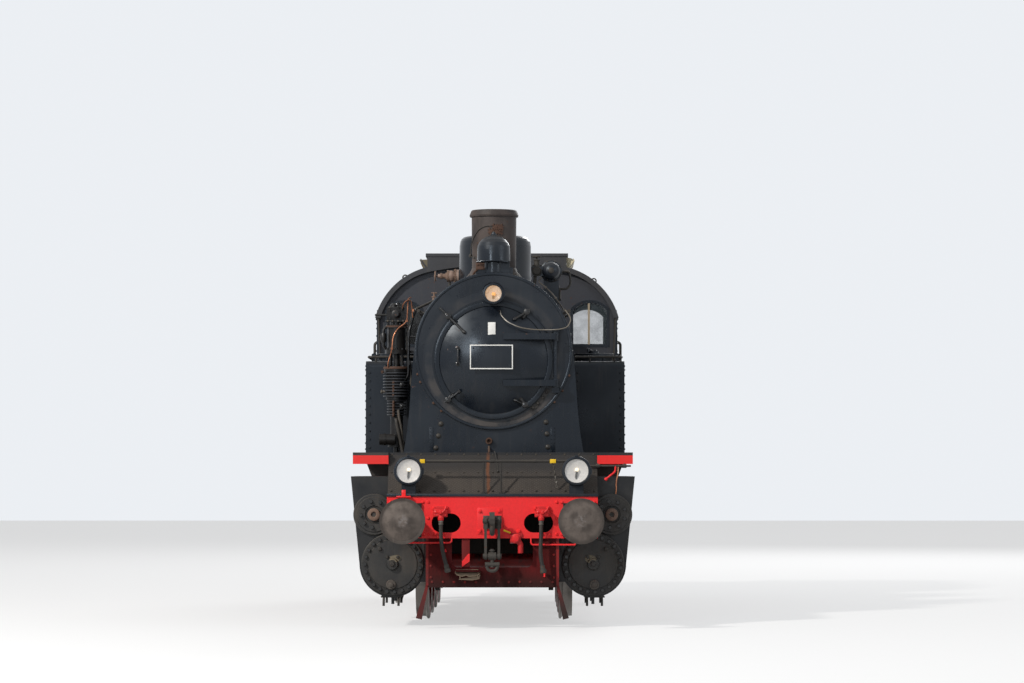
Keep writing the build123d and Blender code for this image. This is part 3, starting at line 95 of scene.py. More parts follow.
# %% [markdown]
# ## Shader arithmetic
# A procedural finish is mostly sums: so much dust, less where it is wiped, more on top. Written as node
# calls that is hard to read. The class below wraps a socket and lets Python's own operators add the Math
# nodes, so a mask can be written as `dust * (1 - wiped)`.

# %% Shader maths


class Value:
    """A number that varies over a surface: a socket that takes part in sums."""

    def __init__(self, finish, socket):
        self.finish = finish
        self.socket = socket

    def maths(self, operation, other, turned=False):
        first, second = (other, self) if turned else (self, other)
        return self.finish.node("ShaderNodeMath", {"operation": operation}, {0: first, 1: second})

    def __add__(self, other):
        return self.maths("ADD", other)

    def __radd__(self, other):
        return self.maths("ADD", other, True)

    def __sub__(self, other):
        return self.maths("SUBTRACT", other)

    def __rsub__(self, other):
        return self.maths("SUBTRACT", other, True)

    def __mul__(self, other):
        return self.maths("MULTIPLY", other)

    def __rmul__(self, other):
        return self.maths("MULTIPLY", other, True)

    def __truediv__(self, other):
        return self.maths("DIVIDE", other)

    def __pow__(self, other):
        return self.maths("POWER", other)

    def most(self, other):
        return self.maths("MAXIMUM", other)

    def least(self, other):
        return self.maths("MINIMUM", other)

    def wrapped(self, size):
        """The remainder after whole steps of a size, always positive."""
        return self.finish.node("ShaderNodeMath", {"operation": "FLOORED_MODULO"}, {0: self, 1: size})

    def size(self):
        return self.finish.node("ShaderNodeMath", {"operation": "ABSOLUTE"}, {0: self})

    def between(self, low, high):
        """0 below low, 1 above high, and a soft step between."""
        return self.finish.node("ShaderNodeMapRange", {"interpolation_type": "SMOOTHSTEP"},
                                {"Value": self, "From Min": low, "From Max": high})


class Finish:
    """One material, built node by node around a Principled shader."""

    def __init__(self, name):
        self.material = bpy.data.materials.new(name)
        self.material.use_nodes = True
        self.tree = self.material.node_tree
        self.tree.nodes.clear()
        self.shader = self.tree.nodes.new("ShaderNodeBsdfPrincipled")
        self.out = self.tree.nodes.new("ShaderNodeOutputMaterial")
        self.tree.links.new(self.shader.outputs[0], self.out.inputs["Surface"])
        self.place = self.node("ShaderNodeTexCoord", output="Object")

    def node(self, kind, settings=None, inputs=None, output=0):
        """A node with its settings and inputs in place; returns one of its outputs."""
        made = self.tree.nodes.new(kind)
        for key, value in (settings or {}).items():
            if key == "stops":
                ramp = made.color_ramp
                while len(ramp.elements) < len(value):
                    ramp.elements.new(0.5)
                for element, (where, colour) in zip(ramp.elements, value):
                    element.position = where
                    element.color = (*colour, 1)
            else:
                setattr(made, key, value)
        for key, value in (inputs or {}).items():
            self.feed(made.inputs[key], value)
        return Value(self, made.outputs[output])

    def feed(self, socket, value):
        if isinstance(value, Value):
            self.tree.links.new(value.socket, socket)
        elif isinstance(value, (tuple, list)) and len(value) == 3 and len(socket.default_value) == 4:
            socket.default_value = (*value, 1)
        else:
            socket.default_value = value

    def axes(self):
        """The place on the piece as three numbers, in metres."""
        made = self.tree.nodes.new("ShaderNodeSeparateXYZ")
        self.tree.links.new(self.place.socket, made.inputs[0])
        return [Value(self, made.outputs[n]) for n in range(3)]

    def noise(self, scale, detail=3.0, stretch=(1, 1, 1)):
        where = self.node("ShaderNodeMapping", {}, {"Vector": self.place, "Scale": stretch})
        return self.node("ShaderNodeTexNoise", {},
                         {"Vector": where, "Scale": scale, "Detail": detail, "Roughness": 0.55})

    def clouds(self):
        """Broad soft patches, as oil mist leaves them."""
        return self.noise(1.7, 4).between(0.36, 0.70)

    def runs(self):
        """Tall thin streaks, as water leaves them on a wall."""
        return self.noise(7, 5, stretch=(3.2, 3.2, 0.28)).between(0.50, 0.80)

    def mix(self, factor, first, second):
        """A colour between two colours."""
        return self.node("ShaderNodeMix", {"data_type": "RGBA"}, {0: factor, 6: first, 7: second}, output=2)

    def upward(self):
        """1 on level tops, 0 on walls and undersides."""
        made = self.tree.nodes.new("ShaderNodeSeparateXYZ")
        normal = self.node("ShaderNodeTexCoord", output="Normal")
        self.tree.links.new(normal.socket, made.inputs[0])
        return Value(self, made.outputs[2]).between(0.25, 0.95)

    def wear(self, colour=None, roughness=None, metallic=None, height=None, depth=0.001, **settings):
        """Feeds the shader: what varies is linked, and the rest are plain numbers."""
        for name, value in (("Base Color", colour), ("Roughness", roughness), ("Metallic", metallic)):
            if value is not None:
                self.feed(self.shader.inputs[name], value)
        for name, value in {"Specular_IOR_Level": 0.3, **settings}.items():
            self.feed(self.shader.inputs[name.replace("_", " ")], value)
        if height is not None:
            bump = self.node("ShaderNodeBump", {}, {"Height": height, "Distance": depth}, output="Normal")
            self.feed(self.shader.inputs["Normal"], bump)
        return self.material


# %% [markdown]
# ## Paint on a working engine
# The black and the red are the same enamel over steel, and they age the same way: dust settles on level
# tops, water leaves streaks down the walls, oil mist makes broad dull clouds, and small spots rust
# through. One function lays these over any colour. Their sizes are real ones, so the streaks are a hand
# wide and the spots a few millimetres, on every piece alike.

# %% Painted steel
DUST = (0.150, 0.128, 0.102)
RUST = (0.115, 0.042, 0.018)
SOOT = (0.010, 0.010, 0.011)
OIL_AND_PAINTED_SHADE = (0.017, 0.013, 0.011)


def painted(name, colour, gloss=0.34, dust=0.35, streaks=0.25, rust=0.08, grain=0.5, extra=None, soot=0.0,
            shine=0.26, foot=None, tint=(1, 1, 1)):
    """An enamel. Below the heights given as foot it is turned nearly black: oil and brake dust, and painted
    shade under the engine.
    """
    finish = Finish(name)
    clouds = finish.clouds()
    runs = finish.runs()
    fine = finish.noise(55, 4)
    spots = (finish.noise(24, 5).between(0.655, 0.72) * finish.noise(2.6, 2).between(0.42, 0.66))
    top = finish.upward()
    settled = (top * (0.35 + 0.65 * clouds) * dust + clouds * (dust * 0.16)).least(0.85)
    shade = finish.mix(fine.between(0.25, 0.75), [c * 0.94 for c in colour],
                       [min(1, c * 1.05) for c in colour])
    if soot:
        shade = finish.mix(finish.noise(3.1, 5).between(0.42, 0.66) * soot, shade, SOOT)
    shade = finish.mix(runs * streaks, shade, [c * 0.45 + 0.5 * d for c, d in zip(colour, DUST)])
    shade = finish.mix(settled, shade, DUST)
    # Oil and painted shade: below the foot the paint is turned nearly black, as in the shadow under the
    # engine.
    if foot:
        low = 1 - finish.axes()[2].between(*foot)
        shade = finish.mix(low * (0.65 + 0.35 * clouds), shade, OIL_AND_PAINTED_SHADE)
    shade = finish.mix(spots * min(1, rust * 8), shade, RUST)
    rough = gloss + 0.30 * clouds + settled * 0.38 + fine * 0.10 + spots * 0.3
    height = fine * 0.35 * grain + finish.noise(6.5, 3) * 0.65
    if extra is not None:
        height = height * 0.3 + extra(finish)
    return finish.wear(shade, rough.least(0.95), None, height, 0.0012, Specular_IOR_Level=shine,
                       Specular_Tint=tint)


def chequer(finish):
    """Raised lozenges of tread plate, in two directions by turns, 40 mm apart."""
    x, y, z = finish.axes()
    along = y + z
    step, half_wide, half_long = mm(40), mm(4.5), mm(14)
    u = (x + along).wrapped(step) - step / 2
    v = (x - along).wrapped(step) - step / 2
    first = 1 - (u.size() / half_wide).between(0.55, 1.0)
    second = 1 - (v.size() / half_wide).between(0.55, 1.0)
    ends_first = 1 - (v.size() / half_long).between(0.8, 1.0)
    ends_second = 1 - (u.size() / half_long).between(0.8, 1.0)
    other = ((x + along) / step).wrapped(2).between(0.99, 1.01)
    return 2.2 * (first * ends_first * other + second * ends_second * (1 - other))


BLUE_BLACK = (0.0056, 0.0080, 0.0125)
# COLD_SHEEN tints the reflections of the black enamels blue: a painted sky reflection.
COLD_SHEEN = (0.87, 0.935, 1.0)
black = painted("black_enamel", BLUE_BLACK, gloss=0.11, dust=0.12, streaks=0.10, rust=0.03, shine=0.36,
                tint=COLD_SHEEN)
black_flat = painted("black_sheet", (0.0062, 0.0088, 0.0135), gloss=0.22, dust=0.20, streaks=0.18,
                     rust=0.06, shine=0.30, tint=COLD_SHEEN)
smoky = painted("smokebox_black", (0.0050, 0.0075, 0.0120), gloss=0.12, dust=0.09, streaks=0.12, rust=0.05,
                shine=0.34, tint=COLD_SHEEN)
# The cab front's sheet is lighter and bluer than the other blacks: dust, and painted sunlight on it.
cab_dust_and_light = painted("cab_front_sheet", (0.034, 0.036, 0.044), gloss=0.34, dust=0.20, streaks=0.22, rust=0.06)
roof_grey = painted("roof_sheet", (0.040, 0.041, 0.046), gloss=0.42, dust=0.30, streaks=0.25, rust=0.06)
chimney_black = painted("burnt_black", (0.062, 0.048, 0.043), gloss=0.50, dust=0.30, streaks=0.30,
                        rust=0.14, soot=0.6)
tread = painted("tread_plate", (0.036, 0.030, 0.025), gloss=0.42, dust=0.40, streaks=0.20, rust=0.10,
                extra=chequer)
iron = painted("oily_iron", (0.030, 0.027, 0.024), gloss=0.33, dust=0.42, streaks=0.25, rust=0.14,
               grain=1.0)
red = painted("red_enamel", (0.80, 0.026, 0.028), gloss=0.20, dust=0.05, streaks=0.06, rust=0.015,
              grain=0.2)
grimy_red = painted("grimy_red", (0.66, 0.022, 0.024), gloss=0.26, dust=0.20, streaks=0.25, rust=0.05,
                    soot=0.45)
# shaded_red is a dark copy of the red enamel: painted shade for a part in the beam's shadow.
shaded_red = painted("shaded_red", (0.125, 0.007, 0.007), gloss=0.5, dust=0.10, streaks=0.2, rust=0.05)
# The frames darken towards their foot: partly oil, partly painted shade.
red_dull = painted("red_frames", (0.20, 0.010, 0.009), gloss=0.38, dust=0.22, streaks=0.35, rust=0.10,
                   soot=0.65, foot=(0.20, 0.46))
cream = painted("cream_paint", (0.66, 0.58, 0.40), gloss=0.42, dust=0.25, streaks=0.35, rust=0.06)
yellow = painted("yellow_paint", (0.80, 0.50, 0.02), gloss=0.34, dust=0.15, streaks=0.2, rust=0.05)
white = painted("white_paint", (0.78, 0.77, 0.74), gloss=0.35, dust=0.16, streaks=0.15, rust=0.02)
pale_rust = painted("pale_rust", (0.185, 0.120, 0.090), gloss=0.55, dust=0.30, streaks=0.30, rust=0.25,
                    grain=1.6)
# A darker copy of the cream: painted shade for the right lantern cheek.
cream_in_shade = painted("cream_in_painted_shade", (0.150, 0.128, 0.085), gloss=0.50, dust=0.25, streaks=0.50, rust=0.06)
pump_black = painted("pump_black", (0.0052, 0.0050, 0.0052), gloss=0.16, dust=0.12, streaks=0.06, rust=0.14,
                     shine=0.36)
print("paints:", len(bpy.data.materials))

# %% [markdown]
# ## Bare metal
# Rods and buffer heads are bright steel that nobody polishes: a brown film of old grease lies over it,
# thinner where parts rub. Copper and brass do the same in their own colours. The film is dull and not a
# metal any more, so one mask drives the colour, the roughness and the metallic value together.

# %% Bare metals


def metal(name, colour, film, cover=0.5, gloss=0.30, grain=(1, 1, 1), rust=0.15):
    finish = Finish(name)
    patches = finish.noise(4.5, 5).between(0.50 - cover * 0.3, 0.74 - cover * 0.3)
    drawn = finish.noise(60, 3, stretch=grain)
    spots = finish.noise(30, 5).between(0.60, 0.70) * rust * 4
    shade = finish.mix(patches * 0.85, colour, film)
    shade = finish.mix(drawn.between(0.3, 0.7) * 0.25, shade, [c * 0.5 for c in colour])
    shade = finish.mix(spots.least(1), shade, RUST)
    rough = (gloss + patches * 0.32 + drawn * 0.12 + spots * 0.3).least(0.92)
    clean = (1 - patches * 0.75) * (1 - spots.least(1))
    return finish.wear(shade, rough, clean, drawn * 0.6 + patches * 0.4, 0.0006)


steel = metal("greased_steel", (0.30, 0.28, 0.25), (0.042, 0.032, 0.024), cover=0.80, grain=(1, 0.12, 1))
buffer_steel = metal("buffer_steel", (0.22, 0.195, 0.17), (0.060, 0.050, 0.043), cover=0.80, gloss=0.38)
dark_iron = metal("dark_iron", (0.16, 0.145, 0.13), (0.028, 0.024, 0.020), cover=0.95)
rod_steel = metal("rod_steel", (0.46, 0.44, 0.41), (0.085, 0.068, 0.052), cover=0.35, grain=(1, 0.1, 1))
copper = metal("dull_copper", (0.52, 0.22, 0.12), (0.14, 0.055, 0.030), cover=0.35, gloss=0.30, rust=0.0)
brass = metal("dull_brass", (0.50, 0.33, 0.12), (0.10, 0.070, 0.035), cover=0.55, gloss=0.32, rust=0.0)
rusty = painted("rusted_iron", (0.070, 0.036, 0.024), gloss=0.55, dust=0.30, streaks=0.45, rust=0.12,
                grain=1.8)
wood = painted("weathered_wood", (0.34, 0.28, 0.20), gloss=0.55, dust=0.35, streaks=0.5, rust=0.0,
               grain=1.5)
bolt_black = painted("bolt_black", (0.0055, 0.0055, 0.0060), gloss=0.14, dust=0.16, streaks=0.0, rust=0.10,
                     shine=0.5)
zinc = metal("pale_conduit", (0.36, 0.33, 0.29), (0.13, 0.11, 0.085), cover=0.55, gloss=0.42, rust=0.05)

# %% [markdown]
# ## Wheels
# A wheel is one solid, yet it has two finishes: the centre is painted, and the tyre's tread and flange are
# bare steel under a dull film, kept dim as painted shade. A mask of the distance from the axle tells them
# apart. The place is the piece's own, so the mask turns with the wheel.

# %% Wheel finish


def wheel_finish(name, axle_y):
    finish = Finish(name)
    x, y, z = finish.axes()
    y0, z0 = mm(axle_y), mm(AXLE_H + FLANGE)
    reach = ((y - y0) ** 2 + (z - z0) ** 2) ** 0.5
    tyre = reach.between(mm(593.5), mm(595.5))
    pins = x.size().between(mm(845.5), mm(846.5))
    clouds = finish.noise(3.0, 4).between(0.38, 0.68)
    fine = finish.noise(50, 4)
    grease = finish.noise(9, 5).between(0.50, 0.72)
    paint = finish.mix(fine, (0.27, 0.010, 0.009), (0.36, 0.014, 0.012))
    paint = finish.mix(clouds * 0.45, paint, (0.055, 0.030, 0.020))
    paint = finish.mix(grease * (1 - reach.between(0.10, 0.36)) * 0.9, paint, (0.018, 0.014, 0.012))
    # Painted shade: the tyre's steel is kept dim, as in the shadow under the engine.
    shaded_tyre_steel = finish.mix(fine, (0.13, 0.118, 0.108), (0.20, 0.185, 0.17))
    film = finish.mix(clouds * 0.7, shaded_tyre_steel, (0.040, 0.030, 0.023))
    metal_mask = tyre.most(pins)
    shade = finish.mix(metal_mask, paint, film)
    rough = 0.34 + clouds * 0.25 + fine * 0.1
    return finish.wear(shade, rough, metal_mask * (1 - clouds * 0.6), fine, 0.0006)


for number, axle in enumerate(AXLES, 1):
    NODES[f"wheelset_{number}"].data.materials.clear()
    NODES[f"wheelset_{number}"].data.materials.append(wheel_finish(f"wheel_finish_{number}", axle))

# %% [markdown]
# ## Finishes for the solids
# Each CAD node keeps its mesh and gets one of the finishes above, by what the real piece is: enamel on
# the boiler and tanks, sheet black on the cab, burnt black on the chimney. A few solids wear more than
# one colour, and those get a finish of their own in the cells after this one.

# %% Give the finishes


def clothe(material, *names):
    for name in names:
        NODES[name].data.materials.clear()
        NODES[name].data.materials.append(material)


clothe(black, "boiler", "bell", "turbo_generator", "tank_lid_left", "tank_lid_right", "door_lamp")
clothe(smoky, "smokebox_door", "door_hinge", "saddle")
# The cab front's lighter grey is partly dust and partly painted light.
clothe(cab_dust_and_light, "cab_front")
clothe(black_flat, "tanks", "cab_rear", "cab_sides", "cab_door_left", "cab_door_right", "bunker",
       "cab_steps", "reservoirs", "headlamps", "ashpan", "backhead")
clothe(chimney_black, "chimney")
clothe(roof_grey, "cab_roof")
clothe(tread, "cab_floor")
clothe(iron, "motion_brackets", "axleboxes", "pipework", "handrails")
clothe(red, "front_beam", "rear_beam")
clothe(grimy_red, "brake_cocks")
clothe(red_dull, "frame_plates", "running_plate_brackets", "brake_gear")
clothe(steel, "slide_bars", "crossheads", "valve_gear")
clothe(dark_iron, "draw_gear", "hose_head_left", "hose_head_right")
clothe(rod_steel, "coupling_rod_left", "coupling_rod_right", "main_rod_left", "main_rod_right",
       "eccentric_rod_left", "eccentric_rod_right")
print("finishes given to", sum(1 for node in NODES.values() if node.data.materials), "of", len(NODES),
      "nodes")

# %% [markdown]
# ## Painted reflection round the door
# The smokebox is black like the boiler, but the ring round its door is lightened to a brown-grey, most of
# all at the foot: a painted reflection of a bright ground, broken up by noise. That could be a second
# material on chosen faces. A mask of the distance from the door's middle gives it softer edges.

# %% Smokebox finish


def smokebox_finish():
    """Smokebox black, with a painted reflection in brown-grey on the ring round the door, strongest at its
    lower half.
    """
    finish = Finish("smokebox_paint")
    x, y, z = finish.axes()
    clouds = finish.clouds()
    runs = finish.runs()
    fine = finish.noise(55, 4)
    smear = finish.noise(6, 5).between(0.34, 0.62)
    reach = (x ** 2 + (z - mm(DOOR_H + FLANGE)) ** 2) ** 0.5
    front = 1 - y.between(mm(SMOKEBOX_FRONT + 3), mm(SMOKEBOX_FRONT + 13))
    ring = reach.between(0.628, 0.642) * (1 - reach.between(0.690, 0.740)) * front
    low = 1 - z.between(2.20, 2.80)
    shade = finish.mix(clouds * 0.16, (0.0060, 0.0080, 0.0120), (0.024, 0.022, 0.020))
    shade = finish.mix(runs * 0.12, shade, (0.060, 0.052, 0.042))
    # Painted reflection: the ring round the door is lightened to brown-grey, most of all at its foot.
    shade = finish.mix(ring * (0.22 + 0.58 * low) * smear, shade, (0.072, 0.060, 0.052))
    shade = finish.mix(finish.upward() * 0.14, shade, DUST)
    rough = 0.14 + clouds * 0.30 + fine * 0.1 + ring * 0.15
    return finish.wear(shade, rough, None, fine * 0.2 + finish.noise(6.5, 3) * 0.65, 0.0012,
                       Specular_IOR_Level=0.36, Specular_Tint=COLD_SHEEN)


clothe(smokebox_finish(), "smokebox")

# %% [markdown]
# ## Ribs of the air pump
# The pump's barrels carry cooling ribs. The grooves between them are painted near black as shade, and the
# rims a dull grey as painted highlights. The height on the piece, wrapped to the ribs' pitch, tells a groove
# from a rim, so the colours follow the shape without a second material.

# %% Pump finish


def pump_finish():
    """Oily black, with painted shade between the cooling ribs and painted highlights on their rims."""
    finish = Finish("ribbed_pump")
    x, y, z = finish.axes()
    clouds = finish.noise(3.0, 4).between(0.36, 0.70)
    fine = finish.noise(60, 4)
    shade = finish.mix(clouds * 0.20 + finish.upward() * 0.20, (0.0052, 0.0052, 0.0058),
                       (0.045, 0.038, 0.032))
    groove_shade, rim = 0.0, 0.0
    for first, last, pitch in ((2340, 2590, 31.25), (2140, 2290, 30.0)):
        inside = z.between(mm(first - 14 + FLANGE), mm(first - 12 + FLANGE))
        inside = inside * (1 - z.between(mm(last + 12 + FLANGE), mm(last + 14 + FLANGE)))
        from_rib = ((z - mm(first + FLANGE - pitch / 2)).wrapped(mm(pitch)) - mm(pitch / 2)).size()
        on_rib = 1 - from_rib.between(mm(4.5), mm(6.5))
        groove_shade = inside * (1 - on_rib) + groove_shade
        rim = inside * on_rib + rim
    # Painted shade in the grooves between the ribs.
    shade = finish.mix(groove_shade, shade, (0.0015, 0.0015, 0.0018))
    # Painted highlights on the ribs' rims.
    shade = finish.mix(rim * (0.55 + 0.45 * fine), shade, (0.052, 0.055, 0.062))
    return finish.wear(shade, 0.20 + clouds * 0.25 + groove_shade * 0.4, None, fine * 0.3, 0.001,
                       Specular_IOR_Level=0.24)


clothe(pump_finish(), "air_pump")

# %% [markdown]
# ## Plates between the frames
# The end sheets are a dark red, as painted shade: they stand in the beam's shadow. The plates behind them
# are black with oil and painted shade. All are one solid, so the finish goes by the place along the engine.
# The red darkens further towards the foot, as a painted shadow under the beam.

# %% Cross plate finish


def cross_plate_finish():
    """The end sheets are a dark red with painted shade, darker still towards their foot, and the plates
    behind them black with oil and painted shade.
    """
    finish = Finish("cross_plate_paint")
    x, y, z = finish.axes()
    clouds = finish.noise(2.6, 5).between(0.36, 0.68)
    fine = finish.noise(45, 4)
    runs = finish.noise(7, 5, stretch=(3.2, 3.2, 0.28)).between(0.46, 0.76)
    # Painted shade: the end sheets' red is far darker than the beam's, as the beam shadows them.
    paint = finish.mix(fine, (0.085, 0.0060, 0.0065), (0.120, 0.0075, 0.0080))
    paint = finish.mix((clouds * 0.50 + runs * 0.30).least(0.8), paint, (0.018, 0.009, 0.008))
    # Painted shadow: darker towards the foot, under the beam.
    paint = finish.mix((1 - z.between(0.40, 0.64)) * 0.85, paint, (0.020, 0.010, 0.009))
    # The plates behind are black with oil and painted shade.
    oil_and_shade = finish.mix(clouds, (0.006, 0.006, 0.006), (0.020, 0.017, 0.014))
    shade = finish.mix(y.size().between(4.25, 4.30), oil_and_shade, paint)
    return finish.wear(shade, 0.52 + clouds * 0.25 + fine * 0.1, None, fine * 0.4 + runs, 0.0012,
                       Specular_IOR_Level=0.12)


clothe(cross_plate_finish(), "cross_plates")

# %% [markdown]
# ## Buffer heads
# A buffer's face is scuffed in the middle, with a ring of old grease round the scuffs and brown steel
# to the rim. Masks of the distance from the buffer's own middle place all three, and noise keeps them
# from looking drawn with a compass.

# %% Buffer finish


def buffer_finish():
    """A scuffed patch in the middle, a ring of old grease round it, then brown steel to a rim darkened by
    dirt and painted shade.
    """
    finish = Finish("buffer_head_steel")
    x, y, z = finish.axes()
    reach = ((x.size() - mm(BUFFER_X)) ** 2 + (z - mm(BUFFER_H + FLANGE)) ** 2) ** 0.5
    blotch = finish.noise(11, 5).between(0.36, 0.66)
    fine = finish.noise(120, 4)
    runs = finish.noise(9, 5, stretch=(3.4, 1.0, 0.35)).between(0.50, 0.78)
    ring = (reach / 0.018).wrapped(1)
    shade = finish.mix(blotch, (0.130, 0.106, 0.092), (0.088, 0.072, 0.063))
    scratch = finish.noise(34, 6).between(0.46, 0.60)
    shade = finish.mix((1 - reach.between(0.020, 0.095)) * scratch * 0.6, shade, (0.200, 0.182, 0.172))
    grease = reach.between(0.045, 0.075) * (1 - reach.between(0.085, 0.150))
    shade = finish.mix(grease * (0.25 + 0.35 * blotch), shade, (0.050, 0.042, 0.037))
    # The darker rim is partly dirt and partly painted shade of the head's rounded edge.
    shade = finish.mix(reach.between(0.165, 0.215) * 0.75, shade, (0.046, 0.039, 0.035))
    shade = finish.mix(runs * 0.30, shade, (0.170, 0.140, 0.120))
    head = y.size().between(mm(BUFFER_FACE - 70), mm(BUFFER_FACE - 60))
    shade = finish.mix(head, (0.020, 0.017, 0.015), shade)
    scuffed = (1 - reach.between(0.03, 0.08)) * head
    return finish.wear(shade, 0.62 + blotch * 0.14 - scuffed * 0.20, 0.10 + scuffed * 0.30,
                       fine * 0.5 + blotch * 0.3 + ring * 0.08 * scuffed, 0.0010, Specular_IOR_Level=0.18)


clothe(buffer_finish(), "buffers")

# %% [markdown]
# ## Cylinders
# The covers at a cylinder's ends are bare castings, grey with dust, and the sheets round it are black.
# Both belong to one solid. The distance along the engine from the cylinders' middle parts them, and a pale
# spill marks where water has dried. The covers darken towards their foot, partly oil and partly painted
# shadow.

# %% Cylinder finish


def cylinder_finish():
    """The end covers are bare castings, grey with dust and darker towards their foot with oil and painted
    shade; the sheets round the cylinders are black.
    """
    finish = Finish("cylinder_paint")
    x, y, z = finish.axes()
    across, height = x.size(), z - mm(FLANGE)
    cover = ((across - mm(CYL_X)) ** 2 + (height - mm(AXLE_H)) ** 2) ** 0.5
    ends = (y - mm((CYL_FRONT + CYL_BACK) / 2)).size().between(0.455, 0.460)
    clouds = finish.noise(3.6, 5).between(0.36, 0.68)
    fine = finish.noise(55, 4)
    runs = finish.noise(8, 5, stretch=(3.2, 1.0, 0.35)).between(0.48, 0.78)
    sheet = finish.mix(clouds * 0.30, (0.0080, 0.0086, 0.0100), (0.040, 0.036, 0.031))
    cast = finish.mix(clouds, (0.020, 0.0195, 0.0190), (0.046, 0.042, 0.037))
    cast = finish.mix(runs * 0.35, cast, (0.075, 0.064, 0.052))
    cast = finish.mix(cover.between(0.250, 0.262) * (1 - cover.between(0.290, 0.300)) * 0.45, cast,
                      (0.012, 0.011, 0.011))
    spill = ((across - 0.985) ** 2 + ((height - 0.655) * 1.5) ** 2) ** 0.5 + finish.noise(16, 4) * 0.05
    cast = finish.mix((1 - spill.between(0.070, 0.090)) * ends * 0.75, cast, (0.200, 0.165, 0.110))
    # Oil and painted shadow: the covers darken towards their foot.
    low_oil_and_shade = (1 - height.between(0.33, 0.56)) * 0.55
    cast = finish.mix(low_oil_and_shade, cast, (0.010, 0.009, 0.009))
    shade = finish.mix(ends, sheet, cast)
    shade = finish.mix(finish.upward() * 0.25, shade, DUST)
    return finish.wear(shade, 0.24 + clouds * 0.25 + ends * 0.14 + fine * 0.1, None,
                       fine * 0.4 + clouds * 0.6, 0.0014, Specular_IOR_Level=0.32)


clothe(cylinder_finish(), "cylinders")

# %% [markdown]
# ## Camera
# The picture was taken from about thirty-four metres in front of the buffers, at head height, with a long
# lens. The camera stands there, a little to the engine's left, tilted up by two degrees so that the
# engine fills the frame from its wheels to its chimney. The lens is worked out from the picture's scale.

# %% Camera
EYE_ASIDE, EYE_AHEAD, EYE_UP = 325, 33640, 1618
TILT, TURN = 2.024, 0.216
FOCAL_PIXELS = 3441
PICTURE_WIDTH = 1024
SENSOR = 36.0

camera_data = bpy.data.cameras.new("camera")
camera_data.sensor_width = SENSOR
camera_data.lens = FOCAL_PIXELS * SENSOR / PICTURE_WIDTH
camera_data.clip_end = 500
camera = bpy.data.objects.new("camera", camera_data)
camera.location = at(EYE_ASIDE, -BUFFER_FACE - EYE_AHEAD, EYE_UP)
camera.rotation_euler = (math.radians(90 + TILT), 0, math.radians(TURN))
scene.collection.objects.link(camera)
scene.camera = camera
print("lens, mm:", round(camera_data.lens, 1))

# %% [markdown]
# ## Brake hoses
# Two rubber hoses hang from the cocks on the beam, each about 45 cm long and 4 cm thick, with a coupling
# head on its free end. Reinforced hose is stiff, so it leaves its cock straight down and bends only a
# little on the way. The line is a NURBS spline through the same points that the solid hose was swept
# along, so the spline and the solid agree, and the heads stay where they are.

# %% Brake hoses
HOSE_RADIUS = 20
HOSES = {  # points as across, ahead of the cock and down from its mouth
    "left": ([(486, 0, 0), (486, 0, 130), (480, 4, 255), (479, 9, 360), (496, 14, 448)], 0.450),
    "right": ([(-511, 0, 0), (-511, 0, 125), (-505, 4, 240), (-484, 10, 345), (-458, 16, 440)], 0.446),
}
COCK_Y, COCK_MOUTH = FRONT_BEAM - 62, 1050


def brake_hose(side, route, material):
    points = [at(x, COCK_Y - ahead, COCK_MOUTH - down) for x, ahead, down in route]
    curve = bpy.data.curves.new(f"hose_{side}", "CURVE")
    curve.dimensions = "3D"
    curve.bevel_depth = mm(HOSE_RADIUS)
    curve.bevel_resolution = 6
    curve.resolution_u = 24
    curve.use_fill_caps = True
    spline = curve.splines.new("NURBS")
    spline.points.add(len(points) - 1)
    for target, point in zip(spline.points, points):
        target.co = (*point, 1)
    spline.order_u = 3
    spline.use_endpoint_u = True
    curve.materials.append(material)
    made = bpy.data.objects.new(f"hose_{side}", curve)
    scene.collection.objects.link(made)
    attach(made, "frame")
    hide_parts(f"brake_hose_{side}")
    mm(2 * HOSE_RADIUS)


def hose_rubber():
    """Old rubber: grey with dust, darker towards its lower end as painted shade, and finely ribbed by its
    fabric.
    """
    finish = Finish("hose_rubber")
    x, y, z = finish.axes()
    ribs = (z / 0.009).wrapped(1).between(0.2, 0.8)
    dust = finish.noise(14, 5).between(0.40, 0.75)
    low = 1 - z.between(0.62, 0.98)
    shade = finish.mix(dust * 0.6, (0.022, 0.020, 0.018), (0.070, 0.060, 0.048))
    # Painted shade: the hose is darker towards its lower end.
    shade = finish.mix(low * 0.75, shade, (0.016, 0.014, 0.013))
    return finish.wear(shade, 0.55 + dust * 0.3, None, ribs * 0.3 + dust, 0.0010)


rubber = hose_rubber()
for hose_side, (route, hose_length) in HOSES.items():
    brake_hose(hose_side, route, rubber)

# %% [markdown]
# ## Floor and light
# A pale floor and a pale backdrop make a studio. The backdrop is seen, and mirrored in paint and glass,
# nearly white, but it lights the engine more softly. A lamp from the upper left models the forms.
# Together they come to about one, so that a colour shows as it is written.

# %% Floor and light
FLOOR_HALF = 60.0
floor_mesh = bpy.data.meshes.new("floor")
corners = [(x * FLOOR_HALF, y * FLOOR_HALF, 0) for x, y in ((-1, -1), (1, -1), (1, 1), (-1, 1))]
floor_mesh.from_pydata(corners, [], [(0, 1, 2, 3)])
floor = bpy.data.objects.new("floor", floor_mesh)
scene.collection.objects.link(floor)
floor_finish = Finish("floor")
eye_ray = floor_finish.node("ShaderNodeLightPath", output="Is Camera Ray")
for ray in ("Is Glossy Ray", "Is Transmission Ray"):
    eye_ray = eye_ray.most(floor_finish.node("ShaderNodeLightPath", output=ray))
glow = floor_finish.mix(eye_ray, (0, 0, 0), (1, 1, 1))
floor_mesh.materials.append(floor_finish.wear(colour=(0.34, 0.34, 0.34), roughness=0.95,
                                              Emission_Color=glow, Emission_Strength=0.55))

